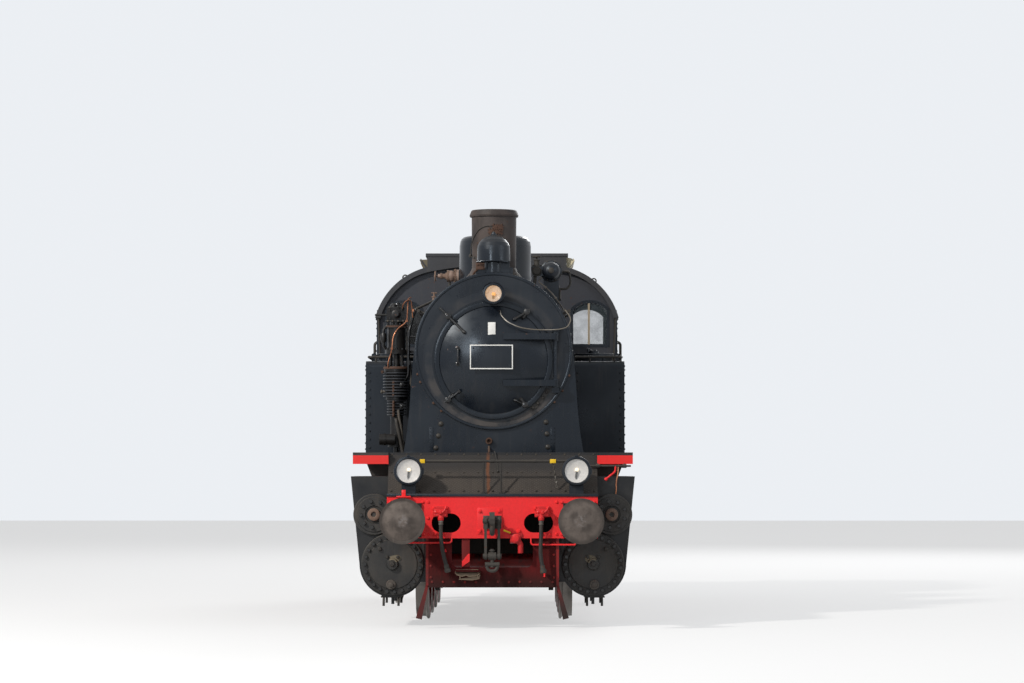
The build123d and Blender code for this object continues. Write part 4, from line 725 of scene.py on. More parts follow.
BACKDROP_LIGHTS, BACKDROP_SEEN = 0.27, 0.90
world = bpy.data.worlds.new("studio")
world.use_nodes = True
scene.world = world
backdrop = world.node_tree
background = backdrop.nodes["Background"]
path = backdrop.nodes.new("ShaderNodeLightPath")
strength = backdrop.nodes.new("ShaderNodeMapRange")
strength.inputs["To Min"].default_value = BACKDROP_LIGHTS
strength.inputs["To Max"].default_value = BACKDROP_SEEN
seen = path.outputs["Is Camera Ray"]
for ray in ("Is Glossy Ray", "Is Transmission Ray"):
    either = backdrop.nodes.new("ShaderNodeMath")
    either.operation = "MAXIMUM"
    backdrop.links.new(seen, either.inputs[0])
    backdrop.links.new(path.outputs[ray], either.inputs[1])
    seen = either.outputs[0]
backdrop.links.new(seen, strength.inputs["Value"])
backdrop.links.new(strength.outputs[0], background.inputs["Strength"])
background.inputs["Color"].default_value = (0.93, 0.96, 1.0, 1)


def lamp(name, place, target, size, power, colour=(1, 1, 1)):
    light = bpy.data.lights.new(name, "AREA")
    light.shape = "DISK"
    light.size = size
    light.energy = power
    light.color = colour
    made = bpy.data.objects.new(name, light)
    made.location = place
    made.rotation_euler = (Vector(target) - Vector(place)).to_track_quat("-Z", "Y").to_euler()
    scene.collection.objects.link(made)


lamp("key", (-17, -19, 17), (0, -2, 2), 1.8, 7000, (1.0, 0.965, 0.91))
lamp("sheen", (-8, -25, 8), (0, -3, 2.4), 6, 900, (0.86, 0.93, 1.0))
lamp("fill", (18, -14, 9), (0, 0, 2), 9, 650, (0.88, 0.94, 1.0))
lamp("rear", (8, 22, 14), (0, 2, 2), 11, 2200)

# %% [markdown]
# ## Making a piece
# Small fittings are cheapest when many of them share one mesh: a bolt, a bar and a turned knob go into
# the same `bmesh` and come out as one named object. The helper class collects them, cleans the normals,
# smooths the round faces but keeps the corners sharp, and hands the piece to its body.

# %% Workpiece


class Piece:
    """A mesh in the making. Everything is given in place, in metres."""

    def __init__(self, name):
        self.name = name
        self.mesh = bmesh.new()

    def lathe(self, profile, place, axis="-Y", around=48):
        """Turns (along, radius) points about an axis through place; the ends close on the axis."""
        turn = {"-Y": Matrix.Rotation(math.pi / 2, 3, "X"), "Z": Matrix.Identity(3),
                "Y": Matrix.Rotation(-math.pi / 2, 3, "X"), "X": Matrix.Rotation(math.pi / 2, 3, "Y"),
                "-X": Matrix.Rotation(-math.pi / 2, 3, "Y")}.get(str(axis))
        if turn is None:
            turn = Vector(axis).to_track_quat("Z", "Y").to_matrix()
        rings = []
        for along, radius in profile:
            if radius < 1e-6:
                rings.append([self.mesh.verts.new(Vector(place) + turn @ Vector((0, 0, along)))])
                continue
            ring = []
            for n in range(around):
                angle = math.tau * n / around
                point = Vector((radius * math.cos(angle), radius * math.sin(angle), along))
                ring.append(self.mesh.verts.new(Vector(place) + turn @ point))
            rings.append(ring)
        for low, high in zip(rings, rings[1:]):
            for n in range(around):
                m = (n + 1) % around
                corners = [low[n % len(low)], low[m % len(low)], high[m % len(high)], high[n % len(high)]]
                kept = [v for k, v in enumerate(corners) if v not in corners[:k]]
                if len(kept) > 2:
                    self.mesh.faces.new(kept)
        return self

    def ring(self, radius, thick, place, axis="-Y", around=64, across=12):
        """A round rod bent into a full circle."""
        turn = Matrix.Rotation(math.pi / 2, 3, "X") if axis in ("Y", "-Y") else Matrix.Identity(3)
        if axis in ("X", "-X"):
            turn = Matrix.Rotation(math.pi / 2, 3, "Y")
        loops = []
        for n in range(around):
            a = math.tau * n / around
            loop = []
            for k in range(across):
                b = math.tau * k / across
                reach = radius + thick * math.cos(b)
                point = Vector((reach * math.cos(a), reach * math.sin(a), thick * math.sin(b)))
                loop.append(self.mesh.verts.new(Vector(place) + turn @ point))
            loops.append(loop)
        for n in range(around):
            one, two = loops[n], loops[(n + 1) % around]
            for k in range(across):
                m = (k + 1) % across
                self.mesh.faces.new((one[k], two[k], two[m], one[m]))
        return self

    def box(self, low, high, bevel=0.002):
        """A block with a small bevel on every edge."""
        low, high = Vector(low), Vector(high)
        made = bmesh.ops.create_cube(self.mesh, size=1)["verts"]
        for v in made:
            v.co = Vector([(a + b) / 2 + c * (b - a) for a, b, c in zip(low, high, v.co)])
        if bevel:
            edges = list(dict.fromkeys(e for v in made for e in v.link_edges))
            bmesh.ops.bevel(self.mesh, geom=edges, offset=bevel, segments=2, affect="EDGES", profile=0.6)
        return self

    def slab(self, outline, near, far):
        """A flat plate: the outline's points at near, pushed to far."""
        push = Vector(far) - Vector(near)
        front = [self.mesh.verts.new(Vector(p)) for p in outline]
        back = [self.mesh.verts.new(Vector(p) + push) for p in outline]
        count = len(outline)
        self.mesh.faces.new(front)
        self.mesh.faces.new(back[::-1])
        for n in range(count):
            m = (n + 1) % count
            self.mesh.faces.new((front[n], back[n], back[m], front[m]))
        return self

    def rod(self, points, radius, bend=0.03, around=12, steps=5):
        """A round bar or pipe through the points, with rounded corners and flat ends."""
        points = [Vector(p) for p in points]
        line = [points[0]]
        for before, here, after in zip(points, points[1:], points[2:]):
            one, two = (before - here), (after - here)
            cut = min(bend, one.length * 0.45, two.length * 0.45)
            start, end = here + one.normalized() * cut, here + two.normalized() * cut
            for n in range(steps + 1):
                t = n / steps
                line.append(start * (1 - t) ** 2 + here * 2 * t * (1 - t) + end * t ** 2)
        line.append(points[-1])
        line = [p for n, p in enumerate(line) if n == 0 or (p - line[n - 1]).length > 1e-5]
        loops = []
        side = None
        for n, here in enumerate(line):
            ahead = line[min(n + 1, len(line) - 1)] - line[max(n - 1, 0)]
            ahead.normalize()
            if side is None:
                side = ahead.orthogonal().normalized()
            side = (side - ahead * side.dot(ahead)).normalized()
            other = ahead.cross(side)
            loop = []
            for k in range(around):
                a = math.tau * k / around
                point = here + side * (radius * math.cos(a)) + other * (radius * math.sin(a))
                loop.append(self.mesh.verts.new(point))
            loops.append(loop)
        for one, two in zip(loops, loops[1:]):
            for k in range(around):
                m = (k + 1) % around
                self.mesh.faces.new((one[k], one[m], two[m], two[k]))
        self.mesh.faces.new(loops[0][::-1])
        self.mesh.faces.new(loops[-1])
        return self

    def closed(self, material):
        """The finished mesh, with its faces turned outwards."""
        bmesh.ops.recalc_face_normals(self.mesh, faces=self.mesh.faces[:])
        data = bpy.data.meshes.new(self.name)
        self.mesh.to_mesh(data)
        self.mesh.free()
        data.materials.append(material)
        return data

    def done(self, material, body="frame", slot=None, smooth=35):
        """Closes the piece and lets it ride."""
        return seat(self.name, self.closed(material), body, smooth)


def seat(name, data, body, smooth=35):
    """An object for a finished mesh, riding on its body."""
    data.name = name
    for polygon in data.polygons:
        polygon.use_smooth = True
    data.set_sharp_from_angle(angle=math.radians(smooth))
    made = bpy.data.objects.new(name, data)
    scene.collection.objects.link(made)
    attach(made, body)
    print(name, "on", body, "- faces:", len(data.polygons))
    return made


# %% [markdown]
# ## Outlines to turn
# A lathe makes the same few shapes again and again: a plain drum, a bolt's head with a chamfer, a round
# knob and a flat band. Each could be typed out where it is needed. These functions give the outline as
# (along, radius) points in metres, so that a fitting's line says only its sizes.

# %% Outlines to turn


def drum(half, radius):
    """A cylinder that reaches equally far to both sides of its place."""
    return [(-half, 0), (-half, radius), (half, radius), (half, 0)]


def cap(radius, flat, tip, height):
    """A head on a face: straight up to flat, then chamfered to the radius tip at its full height."""
    return [(0, 0), (0, radius), (flat, radius), (height, tip), (height, 0)]


def knob(half, shoulder, shoulder_radius, radius):
    """Nearly a ball, about its place."""
    return [(-half, 0), (-shoulder, shoulder_radius), (0, radius), (shoulder, shoulder_radius), (half, 0)]


def band(inner, outer, width):
    """A flat ring that starts at its place."""
    return [(0, inner), (0, outer), (width, outer), (width, inner), (0, inner)]


# %% [markdown]
# ## Bolts and rivets
# In a boiler shop, a line is set out with a pitch and a rivet goes to each mark. The node tree below does
# the same: it takes an outline made of edges, cuts it into steps of one pitch, and stands a head on every
# mark, facing the way that the outline's `facing` attribute says. The head is a short frustum, with six
# sides for a bolt and more for a rivet. It ends in Realize Instances and Set Material, so the heads are
# real faces with a real finish.

# %% The tree of fasteners


def tree_socket(tree, name, kind, default=None):
    made = tree.interface.new_socket(name=name, in_out="INPUT", socket_type=kind)
    if default is not None:
        made.default_value = default
    return made


def tree_node(tree, kind, settings=None, inputs=None):
    made = tree.nodes.new(kind)
    for key, value in (settings or {}).items():
        setattr(made, key, value)
    for key, value in (inputs or {}).items():
        if isinstance(value, bpy.types.NodeSocket):
            tree.links.new(value, made.inputs[key])
        else:
            made.inputs[key].default_value = value
    return made


def fastener_tree():
    tree = bpy.data.node_groups.new("fasteners on a line", "GeometryNodeTree")
    tree_socket(tree, "Lines", "NodeSocketGeometry")
    tree_socket(tree, "Pitch", "NodeSocketFloat", 0.08)
    tree_socket(tree, "Head radius", "NodeSocketFloat", 0.012)
    tree_socket(tree, "Head height", "NodeSocketFloat", 0.008)
    tree_socket(tree, "Crown", "NodeSocketFloat", 0.5)
    tree_socket(tree, "Sides", "NodeSocketInt", 8)
    tree_socket(tree, "Finish", "NodeSocketMaterial")
    tree.interface.new_socket(name="Fasteners", in_out="OUTPUT", socket_type="NodeSocketGeometry")
    source = tree.nodes.new("NodeGroupInput").outputs
    facing = tree_node(tree, "GeometryNodeInputNamedAttribute", {"data_type": "FLOAT_VECTOR"},
                       {"Name": "facing"})
    curve = tree_node(tree, "GeometryNodeMeshToCurve", {}, {"Mesh": source["Lines"]})
    marks = tree_node(tree, "GeometryNodeResampleCurve", {"mode": "LENGTH"},
                      {"Curve": curve.outputs[0], "Length": source["Pitch"]})
    turn = tree_node(tree, "FunctionNodeAlignRotationToVector", {"axis": "Z"},
                     {"Vector": facing.outputs["Attribute"]})
    top = tree_node(tree, "ShaderNodeMath", {"operation": "MULTIPLY"},
                    {0: source["Head radius"], 1: source["Crown"]})
    head = tree_node(tree, "GeometryNodeMeshCone", {"fill_type": "NGON"},
                     {"Vertices": source["Sides"], "Radius Top": top.outputs[0],
                      "Radius Bottom": source["Head radius"], "Depth": source["Head height"]})
    heads = tree_node(tree, "GeometryNodeInstanceOnPoints", {},
                      {"Points": marks.outputs[0], "Instance": head.outputs["Mesh"],
                       "Rotation": turn.outputs[0]})
    real = tree_node(tree, "GeometryNodeRealizeInstances", {}, {"Geometry": heads.outputs[0]})
    dressed = tree_node(tree, "GeometryNodeSetMaterial", {},
                        {"Geometry": real.outputs[0], "Material": source["Finish"]})
    out = tree.nodes.new("NodeGroupOutput")
    tree.links.new(dressed.outputs[0], out.inputs[0])
    return tree


FASTENERS = fastener_tree()

# %% [markdown]
# The tree needs its lines as loose edges that know which way their heads face. A class gathers them in
# the ways that they occur: a straight row, a run along an outline, a ring on a flat cover and a hoop
# round a barrel.

# %% Lines to fasten


class Lines:
    """Outlines for one body's fasteners, each with the way that its heads face."""

    def __init__(self):
        self.points = []
        self.edges = []
        self.facing = []

    def row(self, start, end, facing):
        first = len(self.points)
        self.points += [Vector(start), Vector(end)]
        self.facing += [Vector(facing)] * 2
        self.edges.append((first, first + 1))
        return self

    def run(self, points, facing, closed=False):
        for one, two in zip(points, points[1:] + points[:1] if closed else points[1:]):
            self.row(one, two, facing)
        return self

    def circle(self, place, radius, facing, count):
        """One mark for each bolt: short edges that hold a single head at each end are joined up."""
        facing = Vector(facing)
        turn = facing.to_track_quat("Z", "Y").to_matrix()
        first = len(self.points)
        for n in range(count):
            a = math.tau * (n + 0.5) / count
            spoke = Vector((radius * math.cos(a), radius * math.sin(a), 0))
            self.points.append(Vector(place) + turn @ spoke)
            self.facing.append(facing)
        self.edges += [(first + n, first + (n + 1) % count) for n in range(count)]
        return self

    def hoop(self, place, radius, count, arc):
        """Marks round a barrel that lies along Y, from one angle to another, each facing outwards."""
        first = len(self.points)
        for n in range(count + 1):
            a = math.radians(arc[0] + (arc[1] - arc[0]) * n / count)
            out = Vector((math.cos(a), 0, math.sin(a)))
            self.points.append(Vector(place) + out * radius)
            self.facing.append(out)
        self.edges += [(first + n, first + n + 1) for n in range(count)]
        return self


# %% [markdown]
# The lines become a mesh, the tree is set to one size of head, and the result is kept as a plain mesh.
# The modifier could stay live, but a plain mesh has no loose edges left in it, and it rides like any
# other piece.

# %% Heads on the lines


def fasten(name, lines, material, pitch, radius, height, sides=8, crown=0.55):
    """Runs the tree over the lines and keeps the heads as one plain mesh."""
    data = bpy.data.meshes.new(name)
    data.from_pydata(lines.points, lines.edges, [])
    attribute = data.attributes.new("facing", "FLOAT_VECTOR", "POINT")
    attribute.data.foreach_set("vector", [c for v in lines.facing for c in v])
    carrier = bpy.data.objects.new(name + "_lines", data)
    scene.collection.objects.link(carrier)
    modifier = carrier.modifiers.new("fasteners", "NODES")
    modifier.node_group = FASTENERS
    wanted = {"Pitch": mm(pitch), "Head radius": mm(radius), "Head height": mm(height), "Crown": crown,
              "Sides": sides, "Finish": material}
    for item in FASTENERS.interface.items_tree:
        if item.item_type == "SOCKET" and item.name in wanted:
            modifier[item.identifier] = wanted[item.name]
    bpy.context.view_layer.update()
    done = bpy.data.meshes.new_from_object(carrier.evaluated_get(bpy.context.evaluated_depsgraph_get()))
    bpy.data.objects.remove(carrier)
    return seat(name, done, "frame", smooth=50)


# %% [markdown]
# ## Lines of rivets and bolts
# The same tree now serves the whole engine. Rivets stand in rows along the edges of the plates: on the
# tanks, the cab, the bunker and the sloped apron. Bolts stand in rings on the cylinder covers and the
# valve chests, where they hold a joint against steam.

# %% Rivet rows
FRONT, BACK = Vector((0, -1, 0)), Vector((0, 1, 0))


def sideways(side):
    return Vector((side, 0, 0))


plate_lines = Lines()
for side in (-1, 1):
    out = sideways(side)
    x = side * TANK_HALF
    for h in (DECK + 45, TANK_TOP - 95):
        plate_lines.row(at(x, TANK_FRONT + 50, h), at(x, TANK_BACK - 50, h), out)
    for y in (TANK_FRONT + 50, 0, TANK_BACK - 50):
        plate_lines.row(at(x, y, DECK + 110), at(x, y, TANK_TOP - 160), out)
    for edge in (TANK_HALF - 45, 900):
        plate_lines.row(at(side * edge, TANK_FRONT, DECK + 60), at(side * edge, TANK_FRONT, TANK_TOP - 130),
                        FRONT)
    x = side * CAB_HALF
    for y in (CAB_FRONT + 40, 2090, 2860, CAB_BACK - 40):
        plate_lines.row(at(x, y, DECK + 60), at(x, y, EAVES - 120), out)
    plate_lines.row(at(x, CAB_FRONT + 80, DECK + 45), at(x, 2080, DECK + 45), out)
    plate_lines.row(at(x, CAB_FRONT + 80, EAVES - 60), at(x, CAB_BACK - 80, EAVES - 60), out)
    for h in (DECK + 45, 2300, 2855):
        plate_lines.row(at(x, CAB_BACK + 45, h), at(x, REAR_BEAM - 45, h), out)
    for y in (CAB_BACK + 45, 3700, REAR_BEAM - 45):
        plate_lines.row(at(x, y, DECK + 110), at(x, y, 2800), out)
    plate_lines.row(at(side * (CAB_HALF - 45), REAR_BEAM, DECK + 60),
                    at(side * (CAB_HALF - 45), REAR_BEAM, 2850), BACK)
    plate_lines.row(at(side * 480, REAR_BEAM, DECK + 60), at(side * 480, REAR_BEAM, 2850), BACK)
for h in (DECK + 45, 2855):
    plate_lines.row(at(-CAB_HALF + 90, REAR_BEAM, h), at(CAB_HALF - 90, REAR_BEAM, h), BACK)
fasten("plate_rivets", plate_lines, black_flat, pitch=86, radius=13, height=9, sides=8)

# %% [markdown]
# The sloped apron has three level rows, with heads that stand square to the slope. The beams have
# upright rows beside the frames and near their ends, with larger rivets, because a beam takes the whole
# pull of a coupling.

# %% Apron and beam rivets
slope = Vector((0, -416, 330)).normalized()
apron_lines = Lines()
for y, h in ((-4058, 1331 + 10), (-3905, 1524), (-3762, 1704)):
    apron_lines.row(at(-1020, y, h), at(1020, y, h), slope)
fasten("apron_rivets", apron_lines, tread, pitch=136, radius=12, height=8, sides=8)

BEAM_ROW_LOW, BEAM_ROW_HIGH = 911, 1230
beam_lines = Lines()
for end, facing in ((FRONT_BEAM, FRONT), (REAR_BEAM, BACK)):
    for side in (-1, 1):
        for x in (692, 640, 1015):
            beam_lines.row(at(side * x, end, BEAM_ROW_LOW), at(side * x, end, BEAM_ROW_HIGH), facing)
        beam_lines.row(at(side * 484, end, 905), at(side * 574, end, 905), facing)
fasten("beam_rivets", beam_lines, red, pitch=159, radius=17, height=12, sides=10)

# %% [markdown]
# The covers' bolts are counted from the picture: twenty-two round a cylinder and eight inside the rim of a
# valve chest. They are larger than the rivets and six-sided.

# %% Cover bolts
COVER_BOLTS, COVER_BOLT_R = 22, 281
CHEST_BOLTS, CHEST_BOLT_R = 8, 141
cover_lines = Lines()
chest_lines = Lines()
for side in (-1, 1):
    for end, facing, out in ((CYL_FRONT, FRONT, -1), (CYL_BACK, BACK, 1)):
        cover_lines.circle(at(side * CYL_X, end + out * 44, AXLE_H), mm(COVER_BOLT_R), facing, COVER_BOLTS)
        chest_lines.circle(at(side * CHEST_X, end + out * 52, CHEST_H), mm(CHEST_BOLT_R), facing,
                           CHEST_BOLTS)
for name, lines, count, reach in (("cylinder_cover_bolts", cover_lines, COVER_BOLTS, COVER_BOLT_R),
                                  ("valve_chest_bolts", chest_lines, CHEST_BOLTS, CHEST_BOLT_R)):
    edge = 2 * reach * math.sin(math.pi / count) - 0.5
    fasten(name, lines, bolt_black, pitch=edge, radius=20, height=30, sides=6, crown=0.86)


# %% [markdown]
# The smokebox is rolled from sheet and riveted near both of its ends. A hoop of marks leaves out the
# foot, where the saddle meets the barrel.

# %% Smokebox rivets
smokebox_lines = Lines()
SMOKEBOX_BACK = -1775
for y in (SMOKEBOX_FRONT + 45, SMOKEBOX_BACK - 45):
    smokebox_lines.hoop(at(0, y, BOILER_H), mm(SMOKEBOX_R), 62, arc=(-18, 198))
fasten("smokebox_rivets", smokebox_lines, smoky, pitch=84, radius=12, height=8, sides=8)

# %% [markdown]
# ## Boiler clothing
# Sheet metal is wrapped round the boiler's insulation and held by flat steel bands. They are thin rings that
# stand a few millimetres proud, and they break the long barrel up as on any real engine. A hoop stiffens the
# front edge of the smokebox.

# %% Bands
bands = Piece("boiler_bands")
for y in (-1740, -1225):
    bands.lathe(band(mm(BOILER_R + 0.5), mm(BOILER_R + 6), 0.05), at(0, y, BOILER_H), axis="-Y", around=96)
bands.done(black)

rim = Piece("smokebox_front_rim")
edge = [(0, mm(SMOKEBOX_R - 34)), (0.006, mm(SMOKEBOX_R - 30)), (0.010, mm(SMOKEBOX_R - 14)),
        (0.007, mm(SMOKEBOX_R - 4)), (0, mm(SMOKEBOX_R - 1)), (0, mm(SMOKEBOX_R - 34))]
rim.lathe(edge, at(0, SMOKEBOX_FRONT, BOILER_H), axis="-Y", around=128)
rim.done(smoky)

# %% [markdown]
# ## The smokebox door
# The door is a shallow dish with a flat rim. Its bulge has to be known at any point, because the number
# plate, the hand hold and the white tablet are set on it. A ray could be cast at the solid, but the dish
# is part of a ball, so one function gives its surface exactly. The rim is a thin turned ring.

# %% Door fittings
DOOR_BASE = SMOKEBOX_FRONT - 25
BALL = ((DOOR_R - 40) ** 2 + DISH ** 2) / (2 * DISH)


def door_face(x, h):
    """Where along the engine the door's outer face stands, at x and h."""
    away = math.hypot(x, h - DOOR_H)
    if away > DOOR_R - 41:
        return SMOKEBOX_FRONT - 31
    return DOOR_BASE + BALL - DISH - math.sqrt(BALL ** 2 - away ** 2)


def on_door(x, h, out=0):
    return at(x, door_face(x, h) - out, h)


door_rim = Piece("door_rim")
door_rim.lathe([(0, mm(DOOR_R - 58)), (0.010, mm(DOOR_R - 52)), (0.014, mm(DOOR_R - 26)),
                (0.010, mm(DOOR_R - 4)), (0, mm(DOOR_R - 1)), (0, mm(DOOR_R - 58))],
               at(0, SMOKEBOX_FRONT - 31, DOOR_H), axis="-Y", around=128)
door_rim.done(smoky, "smokebox_door", "black_paint")

# %% [markdown]
# ## Dogs
# The door is clamped all round by dogs: bent levers on studs, which are slackened with a hammer. Each
# is a turned stud, a block over the door's rim and a handle with a round end. No two stand alike, so
# their places and the way each handle points are read off the picture.

# %% Door dogs
DOGS = (  # stud, handle's end
    ((-470, 3135), (-305, 2970)), ((345, 3178), (221, 3105)), ((-470, 2269), (-356, 2351)),
    ((325, 2217), (228, 2262)),
)
dogs = Piece("door_dogs")
for (x, h), (tip_x, tip_h) in DOGS:
    stud_y = SMOKEBOX_FRONT
    dogs.lathe([(0, 0), (0, 0.030), (0.012, 0.034), (0.012, 0.019), (0.085, 0.019), (0.085, 0.034),
                (0.112, 0.034), (0.118, 0.022), (0.118, 0)], at(x, stud_y, h), axis="-Y", around=6)
    inward = Vector((-x, 0, DOOR_H - h)).normalized()
    grip = Vector((tip_x - x, 0, tip_h - h)).normalized()
    start = at(x, stud_y - 74, h) - grip * (0.125 if h > 3000 and x < 0 else 0.04)
    tip = at(tip_x, stud_y - 96, tip_h)
    dogs.rod([start, at(x, stud_y - 80, h), tip], 0.0135 if x < 0 and h > 3000 else 0.0115, around=10)
    dogs.lathe(knob(0.020, 0.018, 0.014, 0.020), tip, axis=grip, around=12)
    foot = at(x, stud_y - 40, h) + inward * 0.075
    dogs.rod([at(x, stud_y - 62, h), at(x, stud_y - 62, h) + inward * 0.07, foot + Vector((0, 0.002, 0))],
             0.021, bend=0.02, around=8)
dogs.done(bolt_black)

# %% [markdown]
# A small upright hand hold is bolted to the door. A bent rod between two turned feet, set on the dish
# by the same function as the rest, is all it takes.

# %% Door hand hold
hold = Piece("door_hand_hold")
hold_x, hold_low, hold_high = -367, 2640, 2800
hold.rod([on_door(hold_x, hold_low, -4), on_door(hold_x, hold_low, 46), on_door(hold_x, hold_high, 46),
          on_door(hold_x, hold_high, -4)], 0.010, bend=0.025)
for h in (hold_low, hold_high):
    hold.lathe([(-0.006, 0), (-0.006, 0.024), (0.004, 0.024), (0.010, 0.014), (0.010, 0)],
               on_door(hold_x, h), around=16)
hold.done(bolt_black, "smokebox_door", "black_paint")

# %% [markdown]
# The number plate is a cast rectangle with a raised white border on black. Its number is left off, so
# the field is bare, with the slight unevenness of a casting. It stands on four short stand-offs, because
# the door behind it is curved. The small white tablet above is bare too.

# %% Number plate
PLATE_LEFT, PLATE_RIGHT, PLATE_LOW, PLATE_HIGH = -246, 206, 2578, 2840
PLATE_OUT = 30


def plate_ring(piece, left, right, low, high, y, width, thick):
    """A rectangular frame from four bevelled strips."""
    for one, two in (((left, low), (right, low + width)), ((left, high - width), (right, high)),
                     ((left, low + width), (left + width, high - width)),
                     ((right - width, low + width), (right, high - width))):
        piece.box(at(one[0], y - thick, one[1]), at(two[0], y, two[1]), bevel=0.001)


plate_y = DOOR_BASE - DISH - PLATE_OUT
field = Piece("number_plate_field")
field.box(at(PLATE_LEFT, plate_y - 6, PLATE_LOW), at(PLATE_RIGHT, plate_y, PLATE_HIGH), bevel=0.002)
for x in (PLATE_LEFT + 40, PLATE_RIGHT - 40):
    for h in (PLATE_LOW + 40, PLATE_HIGH - 40):
        field.rod([at(x, plate_y - 2, h), on_door(x, h, -3)], 0.009)
        field.lathe([(0, 0), (0, 0.010), (0.004, 0.009), (0.006, 0)], at(x, plate_y - 6, h), around=12)
field.done(black, "smokebox_door", "black_paint")
border = Piece("number_plate_border")
plate_ring(border, PLATE_LEFT + 5, PLATE_RIGHT - 5, PLATE_LOW + 5, PLATE_HIGH - 5, plate_y - 6, 11, 3)
border.done(white, "smokebox_door", "black_paint")

# %% [markdown]
# A small white tablet is fixed above the plate on two pins, which hold it off the dish.

# %% Blank tablet
tablet = Piece("blank_tablet")
tablet_y = door_face(-17, 2997) - 8
tablet.box(at(-56, tablet_y - 3, 2925), at(21, tablet_y, 3069), bevel=0.001)
for h in (2940, 3054):
    tablet.rod([at(-17, tablet_y - 1, h), on_door(-17, h, -3)], 0.005, around=8)
tablet.done(white, "smokebox_door", "black_paint")

# %% [markdown]
# ## Lamp glass and glow
# Behind a lamp's glass sits a white-enamelled bowl with a bulb before it. The glass could refract, but
# that is slow and at this size unseen. It is mostly clear instead, and its gloss tells the eye that the
# lamp is closed. The bulb glows a little, which warms the bowl.

# %% Lamp finishes


def lamp_glass(name, tint, clear):
    finish = Finish(name)
    smear = finish.noise(9, 4).between(0.4, 0.7)
    shade = finish.mix(smear, tint, [c * 0.8 for c in tint])
    return finish.wear(shade, 0.05 + smear * 0.10, None, smear, 0.0004, Alpha=clear + smear * 0.10)


def glowing(name, colour, strength):
    finish = Finish(name)
    spots = finish.noise(40, 3)
    shade = finish.mix(spots, colour, [c * 0.85 for c in colour])
    return finish.wear(shade, 0.4 + spots * 0.1, Emission_Color=shade, Emission_Strength=strength)


clear_glass = lamp_glass("lamp_glass", (0.92, 0.94, 0.95), 0.10)
enamel = painted("reflector_enamel", (0.66, 0.63, 0.60), gloss=0.22, dust=0.10, streaks=0.12, rust=0.01,
                 grain=0.2)
bulb_glow = glowing("bulb_glow", (1.0, 0.86, 0.62), 0.9)
amber_glow = glowing("amber_glow", (1.0, 0.42, 0.12), 0.75)
amber = lamp_glass("amber_glass", (0.95, 0.55, 0.25), 0.35)

# %% [markdown]
# ## Head lamps
# Each lamp is a drum with a deep rim, and the drum is in the solid. Bowl, bulb, holder, glass and bezel
# are turned about the lamp's axis by one function, because the engine has six lamps in four sizes. They
# are separate pieces, since each has a finish of its own.

# %% Head lamps


def fit_lamp(name, x, floor_y, h, radius, body, facing=-1, tinted=False):
    """The bowl, bulb, glass and bezel of a lamp whose recess has its floor at floor_y."""
    inner = mm(radius - 25)
    axis = "-Y" if facing < 0 else "Y"
    place = at(x, floor_y, h)
    bowl = Piece(name + "_bowl")
    curve = [(0.001 + 0.024 * (n / 8) ** 2, inner * (0.08 + 0.91 * n / 8)) for n in range(9)]
    bowl.lathe([(0.001, 0)] + curve + [(0.026, inner), (0.001, inner)], place, axis=axis, around=64)
    bowl.done(enamel, body, "black_paint")
    bulb = Piece(name + "_bulb")
    up = 0.010 if not tinted else -0.006
    bulb.lathe([(0.004, 0), (0.004, 0.012), (0.010, 0.018), (0.018, 0.019), (0.025, 0.012), (0.028, 0)],
               place + Vector((0.004, 0, up)), axis=axis, around=24)
    bulb.done(amber_glow if tinted else bulb_glow, body, "black_paint", 60)
    holder = Piece(name + "_holder")
    out = Vector((0, facing, 0))
    holder.rod([place + out * 0.014 + Vector((0.002, 0, up - 0.014)),
                place + out * 0.012 + Vector((-0.004, 0, -inner * 0.55))], 0.0105, around=12)
    holder.rod([place + out * 0.012 + Vector((-0.004, 0, -inner * 0.50)),
                place + out * 0.004 + Vector((-0.004, 0, -inner * 0.93))], 0.006, around=8)
    holder.done(iron, body, "black_paint")
    glass = Piece(name + "_glass")
    glass.lathe([(0.0285, inner), (0.030, inner * 0.98), (0.0335, inner * 0.7), (0.0355, inner * 0.35),
                 (0.036, 0)], place, axis=axis, around=64)
    glass.done(amber if tinted else clear_glass, body, "black_paint", 60)
    bezel = Piece(name + "_bezel")
    edge = mm(radius)
    bezel.lathe([(0.029, inner - 0.002), (0.036, inner), (0.040, inner + 0.006), (0.038, edge - 0.004),
                 (0.031, edge + 0.002), (0.020, edge + 0.003), (0.020, edge - 0.003), (0.029, edge - 0.004),
                 (0.029, inner - 0.002)], place, axis=axis, around=72)
    bezel.box(place + Vector((-0.016, facing * 0.036 - 0.012, edge - 0.004)),
              place + Vector((0.016, facing * 0.036 + 0.012, edge + 0.012)), bevel=0.002)
    bezel.lathe(drum(0.030, 0.006), place + Vector((edge + 0.004, facing * 0.028, 0)),
                axis="Z", around=12)
    bezel.done(black_flat, body, "black_paint")


# %% [markdown]
# Two lamps stand at the front, two on the rear beam and one on the bunker. The sixth has an amber bulb
# and rides on the smokebox door.

# %% Place the lamps
UPPER_LAMP_H = 3359
for x in (-LAMP_X, LAMP_X):
    fit_lamp("front_lamp_left" if x > 0 else "front_lamp_right", x, LAMP_Y, LAMP_H, LAMP_R, "frame")
    fit_lamp("rear_lamp_left" if x > 0 else "rear_lamp_right", x, REAR_BEAM + 40, 1500, 130, "frame", 1)
fit_lamp("bunker_lamp", 0, REAR_BEAM + 130, 3080, 110, "frame", 1)
fit_lamp("upper_lamp", 0, SMOKEBOX_FRONT - 231, UPPER_LAMP_H, 111, "smokebox_door", -1, True)

# %% [markdown]
# ## The lamp's hood
# The lamp on the smokebox door has a short peaked hood, against rain and glare. It could be bent from a
# flat sheet. Here it is swept instead: a small four-sided section goes round part of a circle, and its
# tip reaches a little further out in the middle.

